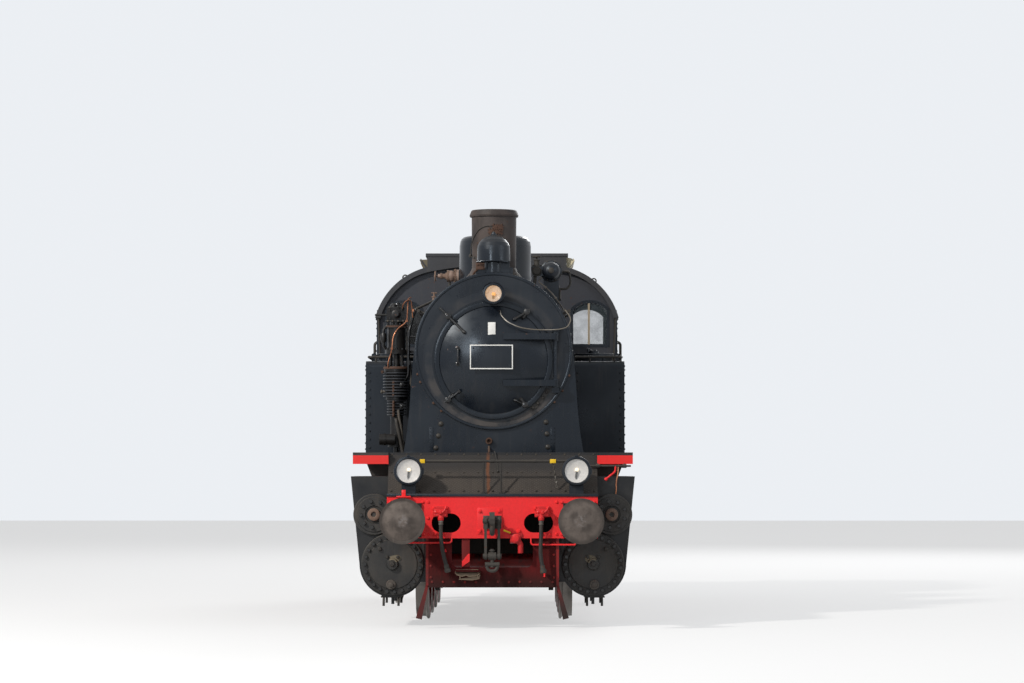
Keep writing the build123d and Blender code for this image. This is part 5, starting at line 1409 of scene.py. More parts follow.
# %% Lamp hood
HOOD_FACE, HOOD_R, HOOD_THICK, HOOD_STEPS = SMOKEBOX_FRONT - 262, 114, 4, 24
HOOD_START, HOOD_END = 20, 160
hood = Piece("upper_lamp_hood")
rows = []
for n in range(HOOD_STEPS + 1):
    a = math.radians(HOOD_START + (HOOD_END - HOOD_START) * n / HOOD_STEPS)
    x, z = HOOD_R * math.cos(a), HOOD_R * math.sin(a)
    scale = (HOOD_R + HOOD_THICK) / HOOD_R
    length = 38 + 14 * math.sin(math.pi * n / HOOD_STEPS)
    back, tip = HOOD_FACE + 26, HOOD_FACE - length * 0.35
    low, high = UPPER_LAMP_H + z, UPPER_LAMP_H + z * scale
    section = (at(x, back, low), at(x, tip, low), at(x * scale, tip, high), at(x * scale, back, high))
    rows.append([hood.mesh.verts.new(p) for p in section])
for one, two in zip(rows, rows[1:]):
    for k in range(4):
        hood.mesh.faces.new((one[k], one[(k + 1) % 4], two[(k + 1) % 4], two[k]))
hood.mesh.faces.new(rows[0])
hood.mesh.faces.new(rows[-1][::-1])
hood.done(black_flat, "smokebox_door", "black_paint")

# %% [markdown]
# ## The lamp's cable
# A pale cable feeds the upper lamp. It is clipped to the smokebox's ring and hangs in a loose bow before the
# door. Cut at the hinge, it would tear when the door swings, so it is one tube.

# %% Lamp cable
lead_line = [at(70, door_face(70, 3190) - 8, 3190), at(77, door_face(77, 3145) - 14, 3145),
             at(139, -3268, 3072), at(273, -3262, 3011), at(428, -3250, 2990), at(582, -3238, 2990),
             at(685, -3225, 2995), at(768, -3200, 3021), at(799, -3178, 3093), at(788, -3160, 3134),
             at(752, -3142, 3185), at(738, -3128, 3200)]
data = Piece("lamp_cable").rod(lead_line, 0.0062, bend=0.09, around=12, steps=6).closed(zinc)
for polygon in data.polygons:
    polygon.use_smooth = True
cable = bpy.data.objects.new("lamp_cable", data)
scene.collection.objects.link(cable)
at(150, -3260, 3072)
at(760, -3150, 3072)
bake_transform(cable)

# %% [markdown]
# From the ring the wire goes on to the generator in an iron conduit, which follows the barrel and has
# three clips.

# %% Generator conduit
conduit = Piece("generator_conduit")
conduit.rod([at(738, -3120, 3200), at(724, -3060, 3200), at(715, -3010, 3225), at(646, -2990, 3330),
             at(584, -2990, 3402), at(520, -2990, 3460), at(480, -2930, 3490), at(470, -2760, 3520),
             at(500, -2700, 3560)], 0.0075, bend=0.05)
for x, y, h in ((738, -3124, 3200), (646, -2990, 3330), (540, -2990, 3442)):
    conduit.lathe(drum(0.012, 0.014), at(x, y, h), axis="-Y", around=16)
conduit.done(dark_iron, "frame", "worn_steel")

# %% [markdown]
# ## Fittings on the buffer beam
# The beam carries the draw hook with its bolts, the brake pipes' cocks and the lamp iron on the right.
# Under it run two red rods that bend up at their inner ends. All of it was painted with the beam, apart
# from a yellow grip on the middle cock.

# %% Beam fittings
HEX = [(0, 0), (0, 0.024), (0.014, 0.024), (0.018, 0.020), (0.018, 0.011), (0.027, 0.010), (0.027, 0)]


def nuts(piece, places, facing="-Y", scale=1.0):
    """Hexagon nuts, each with the end of its bolt."""
    for place in places:
        piece.lathe([(along * scale, radius * scale) for along, radius in HEX], place, axis=facing,
                    around=6)


beam_nuts = Piece("beam_nuts")
nuts(beam_nuts, [at(x, FRONT_BEAM, h) for x in (-124, 66) for h in (942, 1141)], scale=0.9)
nuts(beam_nuts, [at(x, FRONT_BEAM - 16, 1171) for x in (-587, -462, 424, 554)], scale=0.8)
low_nuts = ((175, 941), (265, 941), (484, 921), (564, 911), (-560, 921), (-480, 911))
nuts(beam_nuts, [at(x, FRONT_BEAM, h) for x, h in low_nuts], scale=0.85)
beam_nuts.box(at(-150, FRONT_BEAM - 6, 910), at(96, FRONT_BEAM, 1172), bevel=0.002)
beam_nuts.done(red, slot="red_paint")

# %% [markdown]
# The lamp iron is an upright tongue for a hand lamp. The two rods hang under the beam, a black angle
# edges the platform, and the grip of the middle cock is yellow.

# %% Lamp iron and rods
iron_rod = Piece("lamp_iron")
iron_rod.box(at(-955, -4424, 1276), at(-811, -4362, 1292), bevel=0.003)
iron_rod.box(at(-903, -4404, 1276), at(-862, -4390, 1352), bevel=0.004)
iron_rod.done(red, slot="red_paint")

under_rods = Piece("beam_rods")
for (x0, x1), h in (((-874, -405), 826), ((824, 385), 806)):
    under_rods.rod([at(x0, -4372, h), at(x1, -4372, h), at(x1, -4366, h + 66)], 0.0095, bend=0.03)
    under_rods.rod([at(x0, -4372, h), at(x0, -4366, h + 70)], 0.008)
under_rods.done(red, slot="red_paint")

edges = Piece("platform_edges")
for end, out in ((FRONT_BEAM, -1), (REAR_BEAM, 1)):
    near, far = sorted((end, end + out * 13))
    edges.box(at(-1052, near, 1285), at(1052, far, 1313), bevel=0.002)
edges.done(black_flat)

grip = Piece("cock_grip")
grip.rod([at(178, FRONT_BEAM - 60, 925), at(150, FRONT_BEAM - 75, 938), at(112, FRONT_BEAM - 78, 952)],
         0.009)
grip.done(yellow, slot="red_paint")

# %% [markdown]
# ## Brake cocks
# The cocks are castings with flanges, a plug and a handle, and their rough form is in the solid. Turned
# rims, blocks and nuts add the small steps that catch the light. A clamp closes each hose on its cock.

# %% Cock bodies and clamps
ribs = Piece("cock_bodies")
for x in (499, -517):
    ribs.box(at(x - 78, FRONT_BEAM - 14, 1082), at(x + 72, FRONT_BEAM, 1190), bevel=0.003)
    ribs.box(at(x - 64, COCK_Y - 26, 1092), at(x + 58, FRONT_BEAM - 10, 1112), bevel=0.005)
    ribs.box(at(x - 64, COCK_Y - 22, 1146), at(x + 58, FRONT_BEAM - 10, 1166), bevel=0.005)
    ribs.lathe([(-0.055, 0), (-0.055, 0.030), (-0.046, 0.033), (-0.038, 0.028), (0.038, 0.028),
                (0.046, 0.033), (0.055, 0.030), (0.055, 0)], at(x, COCK_Y, 1128), axis="X", around=24)
    ribs.lathe([(0, 0), (0, 0.020), (0.012, 0.021), (0.022, 0.014), (0.024, 0)], at(x, COCK_Y - 28, 1128),
               around=20)
    ribs.rod([at(x + 20, COCK_Y - 40, 1128), at(x + 44, COCK_Y - 42, 1150), at(x + 62, COCK_Y - 36, 1190)],
             0.007)
ribs.lathe([(0, 0), (0, 0.046), (0.010, 0.048), (0.016, 0.038), (0.026, 0.030), (0.030, 0)],
           at(235, FRONT_BEAM - 100, 870), around=28)
nuts(ribs, [at(235 + 34 * math.cos(a), FRONT_BEAM - 104, 870 + 34 * math.sin(a))
            for a in (0.6, 2.2, 3.8, 5.4)], scale=0.5)
ribs.done(grimy_red, slot="red_paint")

clamps = Piece("hose_clamps")
for route, _ in HOSES.values():
    x = route[0][0]
    clamps.lathe([(-0.044, 0.0195), (-0.044, 0.0245), (-0.030, 0.0245), (-0.028, 0.022), (-0.020, 0.022),
                  (-0.018, 0.0245), (-0.004, 0.0245), (-0.004, 0.0195), (-0.044, 0.0195)],
                 at(x, COCK_Y, 1050), axis="Z", around=32)
clamps.done(steel, slot="worn_steel")

# %% [markdown]
# ## The apron and the platform
# The front platform is where one stands to open the smokebox. A hand rail crosses it, and the chequered
# apron rises from it to the running plate. Yellow blocks sit where the hand rail meets the lamps, and its
# two feet are bolted down. Blocks with a bevel and turned collars are enough for all of these.

# %% Hand rail fittings
RAIL_Y, RAIL_H = FRONT_BEAM + 275, 1637

blocks = Piece("rail_end_blocks")
blocks.box(at(576, RAIL_Y - 22, RAIL_H - 20), at(636, RAIL_Y + 22, RAIL_H + 21), bevel=0.004)
blocks.box(at(-730, RAIL_Y - 22, RAIL_H - 20), at(-680, RAIL_Y + 22, RAIL_H + 21), bevel=0.004)
blocks.done(yellow, slot="red_paint")

rail_bolts = Piece("rail_fittings")
for x in (-90, 86):
    rail_bolts.box(at(x - 26, RAIL_Y - 22, PLATFORM), at(x + 26, RAIL_Y + 22, PLATFORM + 10), bevel=0.002)
    for out in (-1, 1):
        rail_bolts.lathe([(0, 0), (0, 0.007), (0.006, 0.007), (0.006, 0)],
                         at(x + out * 16, RAIL_Y, PLATFORM + 10), axis="Z", around=6)
for x in (-455, 0, 420):
    rail_bolts.lathe(drum(0.018, 0.0165), at(x, RAIL_Y, RAIL_H), axis="X", around=20)
rail_bolts.done(iron)

# %% [markdown]
# A short chain hangs from the hand rail. Its links are ovals of round bar, each turned by a quarter
# from the one before.

# %% Chain


def chain(name, start, end, links, wire, material):
    """Oval links that hang between two places, every second one turned by a quarter."""
    piece = Piece(name)
    marks = [start.lerp(end, n / links) for n in range(links + 1)]
    for n, (one, two) in enumerate(zip(marks, marks[1:])):
        middle, along = (one + two) / 2, (two - one).normalized()
        side = along.cross(Vector((0, 1, 0)))
        if side.length < 0.1:
            side = Vector((1, 0, 0))
        side.normalize()
        if n % 2:
            side = along.cross(side).normalized()
        half = (two - one).length / 2 + wire * 1.3
        reach, wide = along * (half - wire * 1.8), side * wire * 1.7
        tip = along * half
        loop = [middle + reach + wide, middle - reach + wide, middle - tip, middle - reach - wide,
                middle + reach - wide, middle + tip, middle + reach + wide]
        piece.rod(loop, wire, bend=wire * 1.2, around=6, steps=2)
    piece.done(material)


chain("rail_chain", at(606, RAIL_Y - 4, 1618), at(648, RAIL_Y + 40, 1372), links=9, wire=0.0042,
      material=steel)

# %% [markdown]
# A rusty stub of a washout pipe stands out of the smokebox's foot, and a thin lever lies on the apron.
# Both are small, but they break up a wide plain sheet in the middle of the picture.

# %% Washout stub and lever
stub = Piece("washout_stub")
stub.lathe([(-0.01, 0), (-0.01, 0.036), (0.016, 0.036), (0.016, 0.030), (0.050, 0.030), (0.050, 0.021),
            (0.020, 0.018), (0.018, 0)], at(-47, SMOKEBOX_FRONT + 25, 1846), around=28)
stub.rod([at(-47, SMOKEBOX_FRONT + 40, 1790), at(-47, -3150, 1766), at(-45, -3190, 1745),
          at(-44, -3198, DECK)], 0.012)
stub.done(rusty)

lever = Piece("apron_lever")
lever.rod([at(14, -3716, DECK), at(16, -3776, 1742), at(40, -3816, 1640), at(52, -3902, 1535)], 0.006,
          around=8)
lever.lathe(knob(0.012, 0.008, 0.011, 0.014), at(52, -3902, 1535), axis="Z", around=12)
lever.done(iron)

# %% [markdown]
# The apron has weathered in its own way: water that wept from the stub has left a rust streak down its
# middle, and the slope turns darker towards its top. The streak is painted with a mask of the place: a
# narrow band about X = -47 mm that fades with height.

# %% Apron finish


def apron_finish():
    finish = Finish("apron_tread")
    x, y, z = finish.axes()
    clouds = finish.noise(2.2, 4).between(0.36, 0.70)
    fine = finish.noise(60, 4)
    runs = finish.noise(8, 5, stretch=(3.0, 0.5, 0.5)).between(0.48, 0.78)
    wobble = finish.noise(5, 3) * 0.05
    streak = 1 - ((x + 0.047 + wobble - 0.025).size() / 0.024).between(0.3, 1.0)
    streak = streak * z.between(1.30, 1.36) * (1 - z.between(1.66, 1.80))
    plate = chequer(finish)
    shade = finish.mix(fine, (0.026, 0.021, 0.018), (0.044, 0.036, 0.030))
    shade = finish.mix(clouds * 0.55, shade, (0.070, 0.055, 0.042))
    shade = finish.mix(plate.least(1) * 0.55, shade, (0.130, 0.110, 0.092))
    shade = finish.mix(z.between(1.50, 1.64) * 0.80, shade, (0.016, 0.015, 0.015))
    shade = finish.mix(z.between(1.726, 1.728), shade, (0.008, 0.008, 0.009))
    shade = finish.mix(runs * 0.35, shade, (0.026, 0.018, 0.013))
    shade = finish.mix(streak * 0.75, shade, (0.150, 0.052, 0.020))
    front_edge = 1 - y.between(-4.376, -4.368)
    shade = finish.mix(front_edge, shade, (0.0075, 0.0075, 0.0085))
    rough = 0.42 + clouds * 0.22 + fine * 0.12
    return finish.wear(shade, rough, None, plate + fine * 0.25, 0.0024)


clothe(apron_finish(), "platform")

# %% [markdown]
# ## Running plate edges
# The running plate itself is black on its top and edge, and the valance hung below it is red. Both are
# one solid, so one finish splits them at the plate's underside, where the real colours meet too.

# %% Running plate finish


def split_finish(name, low_colour, high_colour, height, above_dust):
    """One colour below a height and another above it, with the same dust and streaks over both."""
    finish = Finish(name)
    x, y, z = finish.axes()
    clouds = finish.noise(1.9, 4).between(0.36, 0.70)
    fine = finish.noise(55, 4)
    runs = finish.runs()
    over = z.between(height - 0.0012, height + 0.0012)
    low = finish.mix(clouds * 0.16 + runs * 0.14, low_colour, (0.14, 0.045, 0.030))
    high = finish.mix(clouds * 0.25 + finish.upward() * above_dust, high_colour, DUST)
    shade = finish.mix(over, low, high)
    return finish.wear(shade, 0.26 + clouds * 0.26 + fine * 0.10, None, fine * 0.3 + clouds * 0.6, 0.0012,
                       Specular_IOR_Level=0.26)


clothe(split_finish("running_plate_paint", (0.80, 0.028, 0.026), (0.014, 0.014, 0.016), mm(1696 + FLANGE),
                    0.30), "running_plates")

# %% [markdown]
# ## Smokebox saddle
# The saddle's front sheet is bolted to the casting behind it with a few large domed bolts, and a strip
# down each side covers its seam. Sheets are cut to overlap, so the strips stand a few millimetres proud.

# %% Saddle fittings
SADDLE_FRONT = SMOKEBOX_FRONT + 25
saddle_bolts = Piece("saddle_bolts")
for x, h in ((-543, 2022), (-569, 1898), (-595, 1774), (552, 1919), (562, 1784), (543, 2040)):
    saddle_bolts.lathe([(0, 0), (0, 0.027), (0.004, 0.027), (0.010, 0.024), (0.017, 0.014), (0.019, 0)],
                       at(x, SADDLE_FRONT, h), around=24)
saddle_bolts.done(iron)

strips = Piece("saddle_strips")
for x in (-640, 614):
    strips.box(at(x - 22, SADDLE_FRONT - 5, 1733), at(x + 22, SADDLE_FRONT, 1990), bevel=0.001)
for low, high in ((-905, -650), (650, 905)):
    strips.box(at(low, SADDLE_FRONT - 34, DECK), at(high, SADDLE_FRONT - 1, DECK + 8), bevel=0.001)
strips.done(smoky)
strip_lines = Lines()
for x in (-640, 614):
    for edge in (-13, 13):
        strip_lines.row(at(x + edge, SADDLE_FRONT - 5, 1745), at(x + edge, SADDLE_FRONT - 5, 1980), FRONT)
fasten("saddle_strip_rivets", strip_lines, smoky, pitch=39, radius=6, height=4, sides=8)

# %% [markdown]
# The ring round the door carries a short curved strip with four studs, and rusty bolt ends stand along
# the smokebox's edge. An outline of two arcs makes the strip.

# %% Door ring fittings
ring_strip = Piece("door_ring_strip")
inner_arc = [(math.radians(-53 + 25 * n / 12), 619) for n in range(13)]
outer_arc = [(math.radians(-28 - 25 * n / 12), 664) for n in range(13)]
outline = [at(r * math.cos(a), SMOKEBOX_FRONT, DOOR_H + r * math.sin(a)) for a, r in inner_arc + outer_arc]
ring_strip.slab(outline, at(0, SMOKEBOX_FRONT, 0), at(0, SMOKEBOX_FRONT - 12, 0))
for degrees in (-31.2, -37.4, -44.4, -50.6):
    a = math.radians(degrees)
    ring_strip.lathe(cap(0.017, 0.010, 0.011, 0.017),
                     at(640 * math.cos(a), SMOKEBOX_FRONT - 12, DOOR_H + 640 * math.sin(a)), around=12)
ring_strip.done(iron)

ring_bolts = Piece("smokebox_ring_bolts")
for degrees in (197, 203, 221, 229, -40, -30, -18):
    a = math.radians(degrees)
    reach = SMOKEBOX_R + 4
    ring_bolts.lathe([(-0.01, 0), (-0.01, 0.016), (0.020, 0.016), (0.026, 0.010), (0.026, 0)],
                     at(reach * math.cos(a), SADDLE_FRONT - 2, BOILER_H + reach * math.sin(a)), around=6)
ring_bolts.done(rusty)

# %% [markdown]
# ## Cylinder fittings
# Each cylinder cover has a boss with a threaded plug, and below the cylinder hang two drain cocks that
# blow out condensed water. The big steel plug near the cover's foot is bright, because it is unscrewed
# at every wash.

# %% Cylinder fittings
COVER_FACE = CYL_FRONT - 52
fittings = Piece("cylinder_fittings")
plugs = Piece("cylinder_plugs")
boss = Piece("valve_chest_bosses")
drains = Piece("drain_cocks")
for side in (-1, 1):
    x = side * CYL_X
    for turn in (50, 130):
        a = math.radians(turn)
        fittings.lathe(cap(0.017, 0.022, 0.012, 0.026),
                       at(x + 62 * math.cos(a) * 1.35, COVER_FACE, AXLE_H + 8 + 62 * math.sin(a) * 1.35),
                       around=6)
    fittings.lathe(cap(0.022, 0.024, 0.015, 0.030), at(side * 1141, COVER_FACE, 754), around=6)
    fittings.lathe([(0, 0.040), (0, 0.030), (0.008, 0.028), (0.008, 0)], at(x, CYL_FRONT - 96, AXLE_H + 4),
                   around=24)
    fittings.lathe(cap(0.026, 0.012, 0.020, 0.016), at(x, CYL_FRONT - 100, AXLE_H + 4), around=6)
    boss.lathe([(0, 0.064), (0.010, 0.062), (0.015, 0.054), (0.015, 0.030), (0.006, 0.024), (0, 0.023),
                (0, 0.064)], at(side * CHEST_X, CYL_FRONT - 75, CHEST_H), around=40)
    plugs.lathe([(0, 0), (0, 0.050), (0.016, 0.050), (0.022, 0.044), (0.022, 0.026), (0.036, 0.026),
                 (0.040, 0.020), (0.040, 0)], at(x + 14 * side, COVER_FACE, 388 + 6), around=32)
    for along in (CYL_FRONT + 30, CYL_BACK - 90):
        for out in (-60, 90):
            drains.rod([at(x + side * out, along, 300), at(x + side * out, along, 262),
                        at(x + side * out, along - 34, 214), at(x + side * out, along - 34, 178)], 0.0125,
                       bend=0.025)
            drains.lathe([(-0.024, 0), (-0.024, 0.020), (-0.010, 0.024), (0.014, 0.024), (0.024, 0.018),
                          (0.024, 0)], at(x + side * out, along, 292), axis="Z", around=18)
        drains.rod([at(x - side * 90, along, 330), at(x - side * 90, along, 268),
                    at(x + side * 120, along, 268)], 0.008, bend=0.02)
fittings.done(iron)
plugs.done(buffer_steel, slot="worn_steel")
boss.done(pale_rust)
drains.done(iron)

# %% [markdown]
# The sheets over the valve chests meet in narrow upright seams. Strips a few millimetres proud give
# them an edge.

# %% Cylinder seams
seams = Piece("cylinder_seams")
for side in (-1, 1):
    seams.box(at(side * 1008 - 4, CYL_FRONT - 4, 890), at(side * 1008 + 4, CYL_FRONT, 1470), bevel=0.001)
    seams.box(at(side * 1008 - 2, COVER_FACE - 1, 690), at(side * 1008 + 2, COVER_FACE + 1, 838), bevel=0)
    seams.box(at(side * 700 - 12, CYL_FRONT - 7, 700), at(side * 700 + 12, CYL_FRONT, 1470), bevel=0.001)
seams.done(iron)

# %% [markdown]
# ## Running plate fittings
# On the right a rod runs across under the plate to the reversing gear, a small copper oil pipe drops
# from it, and a red handle works the drain cocks.

# %% Running plate fittings
cross_rod = Piece("drain_cock_rod")
cross_rod.rod([at(982, -3890, 1589), at(1395, -3890, 1589)], 0.010)
cross_rod.lathe(drum(0.02, 0.020), at(1060, -3890, 1589), axis="X", around=16)
cross_rod.lathe(drum(0.02, 0.020), at(1330, -3890, 1589), axis="X", around=16)
for x in (1060, 1330):
    cross_rod.rod([at(x, -3884, 1589), at(x, -3862, 1618)], 0.010)
cross_rod.done(iron)
handle = Piece("drain_cock_handle")
handle.rod([at(1144, -3896, 1457), at(1190, -3902, 1496), at(1235, -3890, 1530), at(1240, -3890, 1589)],
           0.010, bend=0.02)
handle.lathe(knob(0.02, 0.014, 0.015, 0.018), at(1144, -3896, 1457),
             axis=Vector((0.76, 0, 0.65)), around=14)
handle.done(red, slot="red_paint")
oil_pipe = Piece("oil_pipe")
oil_pipe.rod([at(1268, -3886, 1600), at(1262, -3892, 1500), at(1247, -3890, 1440), at(1245, -3890, 1320),
              at(1230, -3884, 1262), at(1228, -3872, 1240)], 0.0065, bend=0.03, around=10)
oil_pipe.done(copper, slot="worn_steel")

# %% [markdown]
# ## Cab windows
# The end windows are arched at the top, and each has a riveted frame on its outside and a pane set back in
# the wall. The pane on the right is sooty from the pump's exhaust. A pale wooden bar parts the left one.
# The outline of the arch is worked out once, and the frame and the pane both use it.

# %% Windows
WINDOW_IN, WINDOW_OUT = BOILER_R + 90, CAB_HALF - 114
SILL, HEAD = EAVES - 313, EAVES + 186


def arch_outline(x0, x1, low, high, grow=0.0, steps=14):
    """Points (x, h) of a window with an arched head, grown outwards by some millimetres."""
    width = x1 - x0
    rise = width * 0.22
    ball = (width * width / 4 + rise * rise) / (2 * rise)
    half = math.asin(width / 2 / ball)
    middle, centre = (x0 + x1) / 2, high - ball
    points = [(x0 - grow, low - grow), (x1 + grow, low - grow)]
    for n in range(steps + 1):
        a = half - 2 * half * n / steps
        points.append((middle + (ball + grow) * math.sin(a), centre + (ball + grow) * math.cos(a)))
    return points


def window_ring(piece, outer, inner, y_wall, y_front, place=at):
    """A flat frame between two outlines with the same number of points."""
    count = len(outer)
    loops = [[piece.mesh.verts.new(place(x, y, h)) for x, h in line]
             for line, y in ((outer, y_wall), (outer, y_front), (inner, y_front), (inner, y_wall))]
    for one, two in zip(loops, loops[1:] + loops[:1]):
        for n in range(count):
            m = (n + 1) % count
            piece.mesh.faces.new((one[n], one[m], two[m], two[n]))


# %% [markdown]
# Each window gets the same four things: an outer frame, an inner ledge, a ring of rivets and a thin
# pane. One loop dresses both ends of the cab.

# %% Frames and panes
window_frames = Piece("end_window_frames")
panes = Piece("end_window_panes")
sooty_pane = Piece("sooty_window_pane")
frame_rivets = Lines()
for face, wall, facing in ((CAB_FRONT, 1, -1), (CAB_BACK, -1, 1)):
    for x0, x1 in ((WINDOW_IN, WINDOW_OUT), (-WINDOW_OUT, -WINDOW_IN)):
        outer, inner = arch_outline(x0, x1, SILL, HEAD, 24), arch_outline(x0, x1, SILL, HEAD, -7)
        window_ring(window_frames, outer, inner, face, face + facing * 7)
        window_ring(window_frames, arch_outline(x0, x1, SILL, HEAD, 0),
                    arch_outline(x0, x1, SILL, HEAD, -12), face + wall * 30, face + wall * 12)
        rivets = [at(x, face + facing * 7, h) for x, h in arch_outline(x0, x1, SILL, HEAD, 9)]
        frame_rivets.run(rivets, Vector((0, facing, 0)), closed=True)
        target = sooty_pane if (face == CAB_FRONT and x0 < 0) else panes
        y = face + wall * 18
        target.slab([at(x, y, h) for x, h in arch_outline(x0, x1, SILL, HEAD, -6)], at(0, y, 0),
                    at(0, y + 4, 0))
window_frames.done(black)

dirty_glass = lamp_glass("window_glass", (0.12, 0.15, 0.17), 0.16)
soot_glass = lamp_glass("sooty_glass", (0.020, 0.021, 0.022), 0.90)
panes.done(dirty_glass)
sooty_pane.done(soot_glass)
fasten("window_rivets", frame_rivets, black_flat, pitch=62, radius=5, height=4, sides=8)

# %% [markdown]
# The bar of the left front window is bare wood, and the rear has its like.

# %% Wooden bars
wood_bar = Piece("window_wood_bar")
wood_bar.box(at(1055, CAB_FRONT + 4, SILL + 5), at(1078, CAB_FRONT + 30, HEAD - 14), bevel=0.002)
wood_bar.box(at(-1078, CAB_BACK - 30, SILL + 5), at(-1055, CAB_BACK - 4, HEAD - 14), bevel=0.002)
wood_bar.done(wood)

# %% [markdown]
# ## Cab sides
# The side window slides behind a beaded frame, and the half door has a handle and a hinge plate. Half-round
# beading runs along the cab's opening and the bunker's top edge, where a hand or a shovel would otherwise
# meet a sharp sheet.

# %% Cab side fittings
side_frames = Piece("side_window_frames")
side_panes = Piece("side_window_panes")
beading = Piece("beading")
for side, word in ((1, "left"), (-1, "right")):
    x = side * CAB_HALF

    def on_side(along, out, h, side=side, x=x):
        return at(x + side * out, along, h)

    outer = [(1452, 2612), (2008, 2612), (2008, 3148), (1452, 3148)]
    inner = [(1484, 2644), (1976, 2644), (1976, 3116), (1484, 3116)]
    window_ring(side_frames, outer, inner, 0, 9, place=on_side)
    inset = [(1480, 2640), (1980, 2640), (1980, 3120), (1480, 3120)]
    inner = [(1512, 2672), (1948, 2672), (1948, 3088), (1512, 3088)]
    window_ring(side_frames, inset, inner, -34, -10, place=on_side)
    side_frames.box(at(x - side * 30, 1718, 2650), at(x - side * 14, 1742, 3110), bevel=0.002)
    pane = ((1500, 2660), (1960, 2660), (1960, 3100), (1500, 3100))
    side_panes.slab([on_side(y, -24, h) for y, h in pane], on_side(0, -24, 0), on_side(0, -20, 0))
    beading.rod([on_side(2150, 2, 1760), on_side(2150, 2, 3120), on_side(2800, 2, 3120),
                 on_side(2800, 2, 1760)], 0.011, bend=0.05, around=10)
    beading.rod([on_side(3040, 3, 2893), on_side(REAR_BEAM - 4, 3, 2893)], 0.013, around=10)
    beading.rod([on_side(CAB_FRONT + 6, 4, EAVES - 14), on_side(CAB_BACK - 6, 4, EAVES - 14)], 0.010,
                around=10)
    beading.rod([on_side(CAB_FRONT + 4, 2, DECK + 12), on_side(REAR_BEAM - 4, 2, DECK + 12)], 0.010,
                around=8)
    door_side = Piece(f"cab_door_fittings_{word}")
    inner_x = CAB_HALF - 40
    for h in (1850, 2300, 2700):
        door_side.box(at(side * (inner_x - 1), 2170, h - 14), at(side * (inner_x + 3.5), 2780, h + 14),
                      bevel=0.001)
    door_side.lathe([(0, 0), (0, 0.026), (0.004, 0.026), (0.006, 0.010), (0.020, 0.010), (0.024, 0)],
                    at(side * inner_x, 2215, 2400), axis="X" if side > 0 else "-X", around=20)
    door_side.rod([at(side * (inner_x + 18), 2215, 2400), at(side * (inner_x + 18), 2320, 2396)], 0.008,
                  around=10)
    door_side.rod([at(side * (inner_x - 24), 2165, 2748), at(side * (inner_x - 24), 2785, 2748)], 0.013,
                  around=12)
    door_side.done(black_flat, f"cab_door_{word}", "black_paint")
beading.rod([at(-CAB_HALF + 4, REAR_BEAM + 3, 2893), at(CAB_HALF - 4, REAR_BEAM + 3, 2893)], 0.013,
            around=10)
side_frames.done(cream)
side_panes.done(dirty_glass)
beading.done(black)

# %% [markdown]
# ## Roof and lantern
# The roof's edge is bound by an angle, and ribs cross it where its sheets meet. The lantern's side flaps
# stand open: their cheeks were left in the cream of the cab's inside. Two lifting eyes stand on the front
# edge.

# %% Roof fittings


def roof_height(x):
    """Height of the roof's outer face at x, read off its three arcs by straight pieces."""
    table = [(0, 3965), (300, 3955), (500, 3938), (700, 3908), (786, 3884), (900, 3840), (1000, 3789),
             (1100, 3725), (1200, 3646), (1300, 3528), (1350, 3450), (1395, 3360), (1410, 3305)]
    away = abs(x)
    for (a, ha), (b, hb) in zip(table, table[1:]):
        if away <= b:
            return ha + (hb - ha) * (away - a) / (b - a)
    return table[-1][1]


eyes = Piece("roof_lifting_eyes")
for x in (-1064, 1123):
    for y in (CAB_FRONT - 40, CAB_BACK + 40):
        h = roof_height(x)
        eyes.ring(mm(27), mm(8), at(x, y, h + 22), axis="Y", around=28, across=8)
        eyes.lathe([(-0.012, 0), (-0.012, 0.024), (0.004, 0.022), (0.010, 0.012), (0.010, 0)],
                   at(x, y, h - 2), axis="Z", around=16)
eyes.done(iron)

# %% [markdown]
# The right cheek is bent outwards and painted a darker cream as shade, and the left one is straight. A bent
# strip can't be one flat outline, so it is laid from flat ones that share their corners.

# %% Lantern cheeks
STRAIGHT_CHEEK = (((812, 3889), (879, 3960), (868, 3993), (806, 4004)),
                  ((800, 3871), (820, 3866), (902, 3970), (886, 3994)))
BENT_CHEEK = (((786, 3878), (832, 3876), (862, 3900), (876, 3935), (874, 3978), (788, 3982)),
              ((820, 3872), (828, 3866), (868, 3896), (862, 3902)),
              ((862, 3902), (868, 3896), (885, 3934), (877, 3936)),
              ((877, 3936), (885, 3934), (884, 3984), (876, 3984)))
# The right cheek wears the darker cream, which is painted shade.
for side, word, finish, outlines in ((-1, "right", cream_in_shade, BENT_CHEEK), (1, "left", cream, STRAIGHT_CHEEK)):
    cheeks = Piece(f"lantern_cheeks_{word}")
    for y in (1226, 2706):
        cheeks.slab([at(side * x, y, h) for x, h in outlines[0]], at(0, y, 0), at(0, y + 5, 0))
    for strip in outlines[1:]:
        cheeks.slab([at(side * x, 1219, h) for x, h in strip], at(0, 1219, 0), at(0, 2724, 0))
    for y in (1500, 2400):
        cheeks.rod([at(side * 806, y, 3995), at(side * 884, y, 3976)], 0.006, around=8)
    cheeks.done(finish)


# %% [markdown]
# Rivets follow the roof's curve near both ends, each square to it. A long grip stands at each front
# corner of the cab, on two feet.

# %% Roof rivets and grips
roof_lines = Lines()
for y in (CAB_FRONT - 55, CAB_BACK + 55):
    for side in (-1, 1):
        xs = [1385, 1340, 1270, 1180, 1080, 970, 860, 820]
        points = [at(side * x, y, roof_height(x) + 3) for x in xs]
        for one, two in zip(points, points[1:]):
            normal = Vector((two.z - one.z, 0, one.x - two.x)).normalized()
            roof_lines.row(one, two, normal if normal.z > 0 else -normal)
fasten("roof_rivets", roof_lines, roof_grey, pitch=90, radius=9, height=6, sides=8)

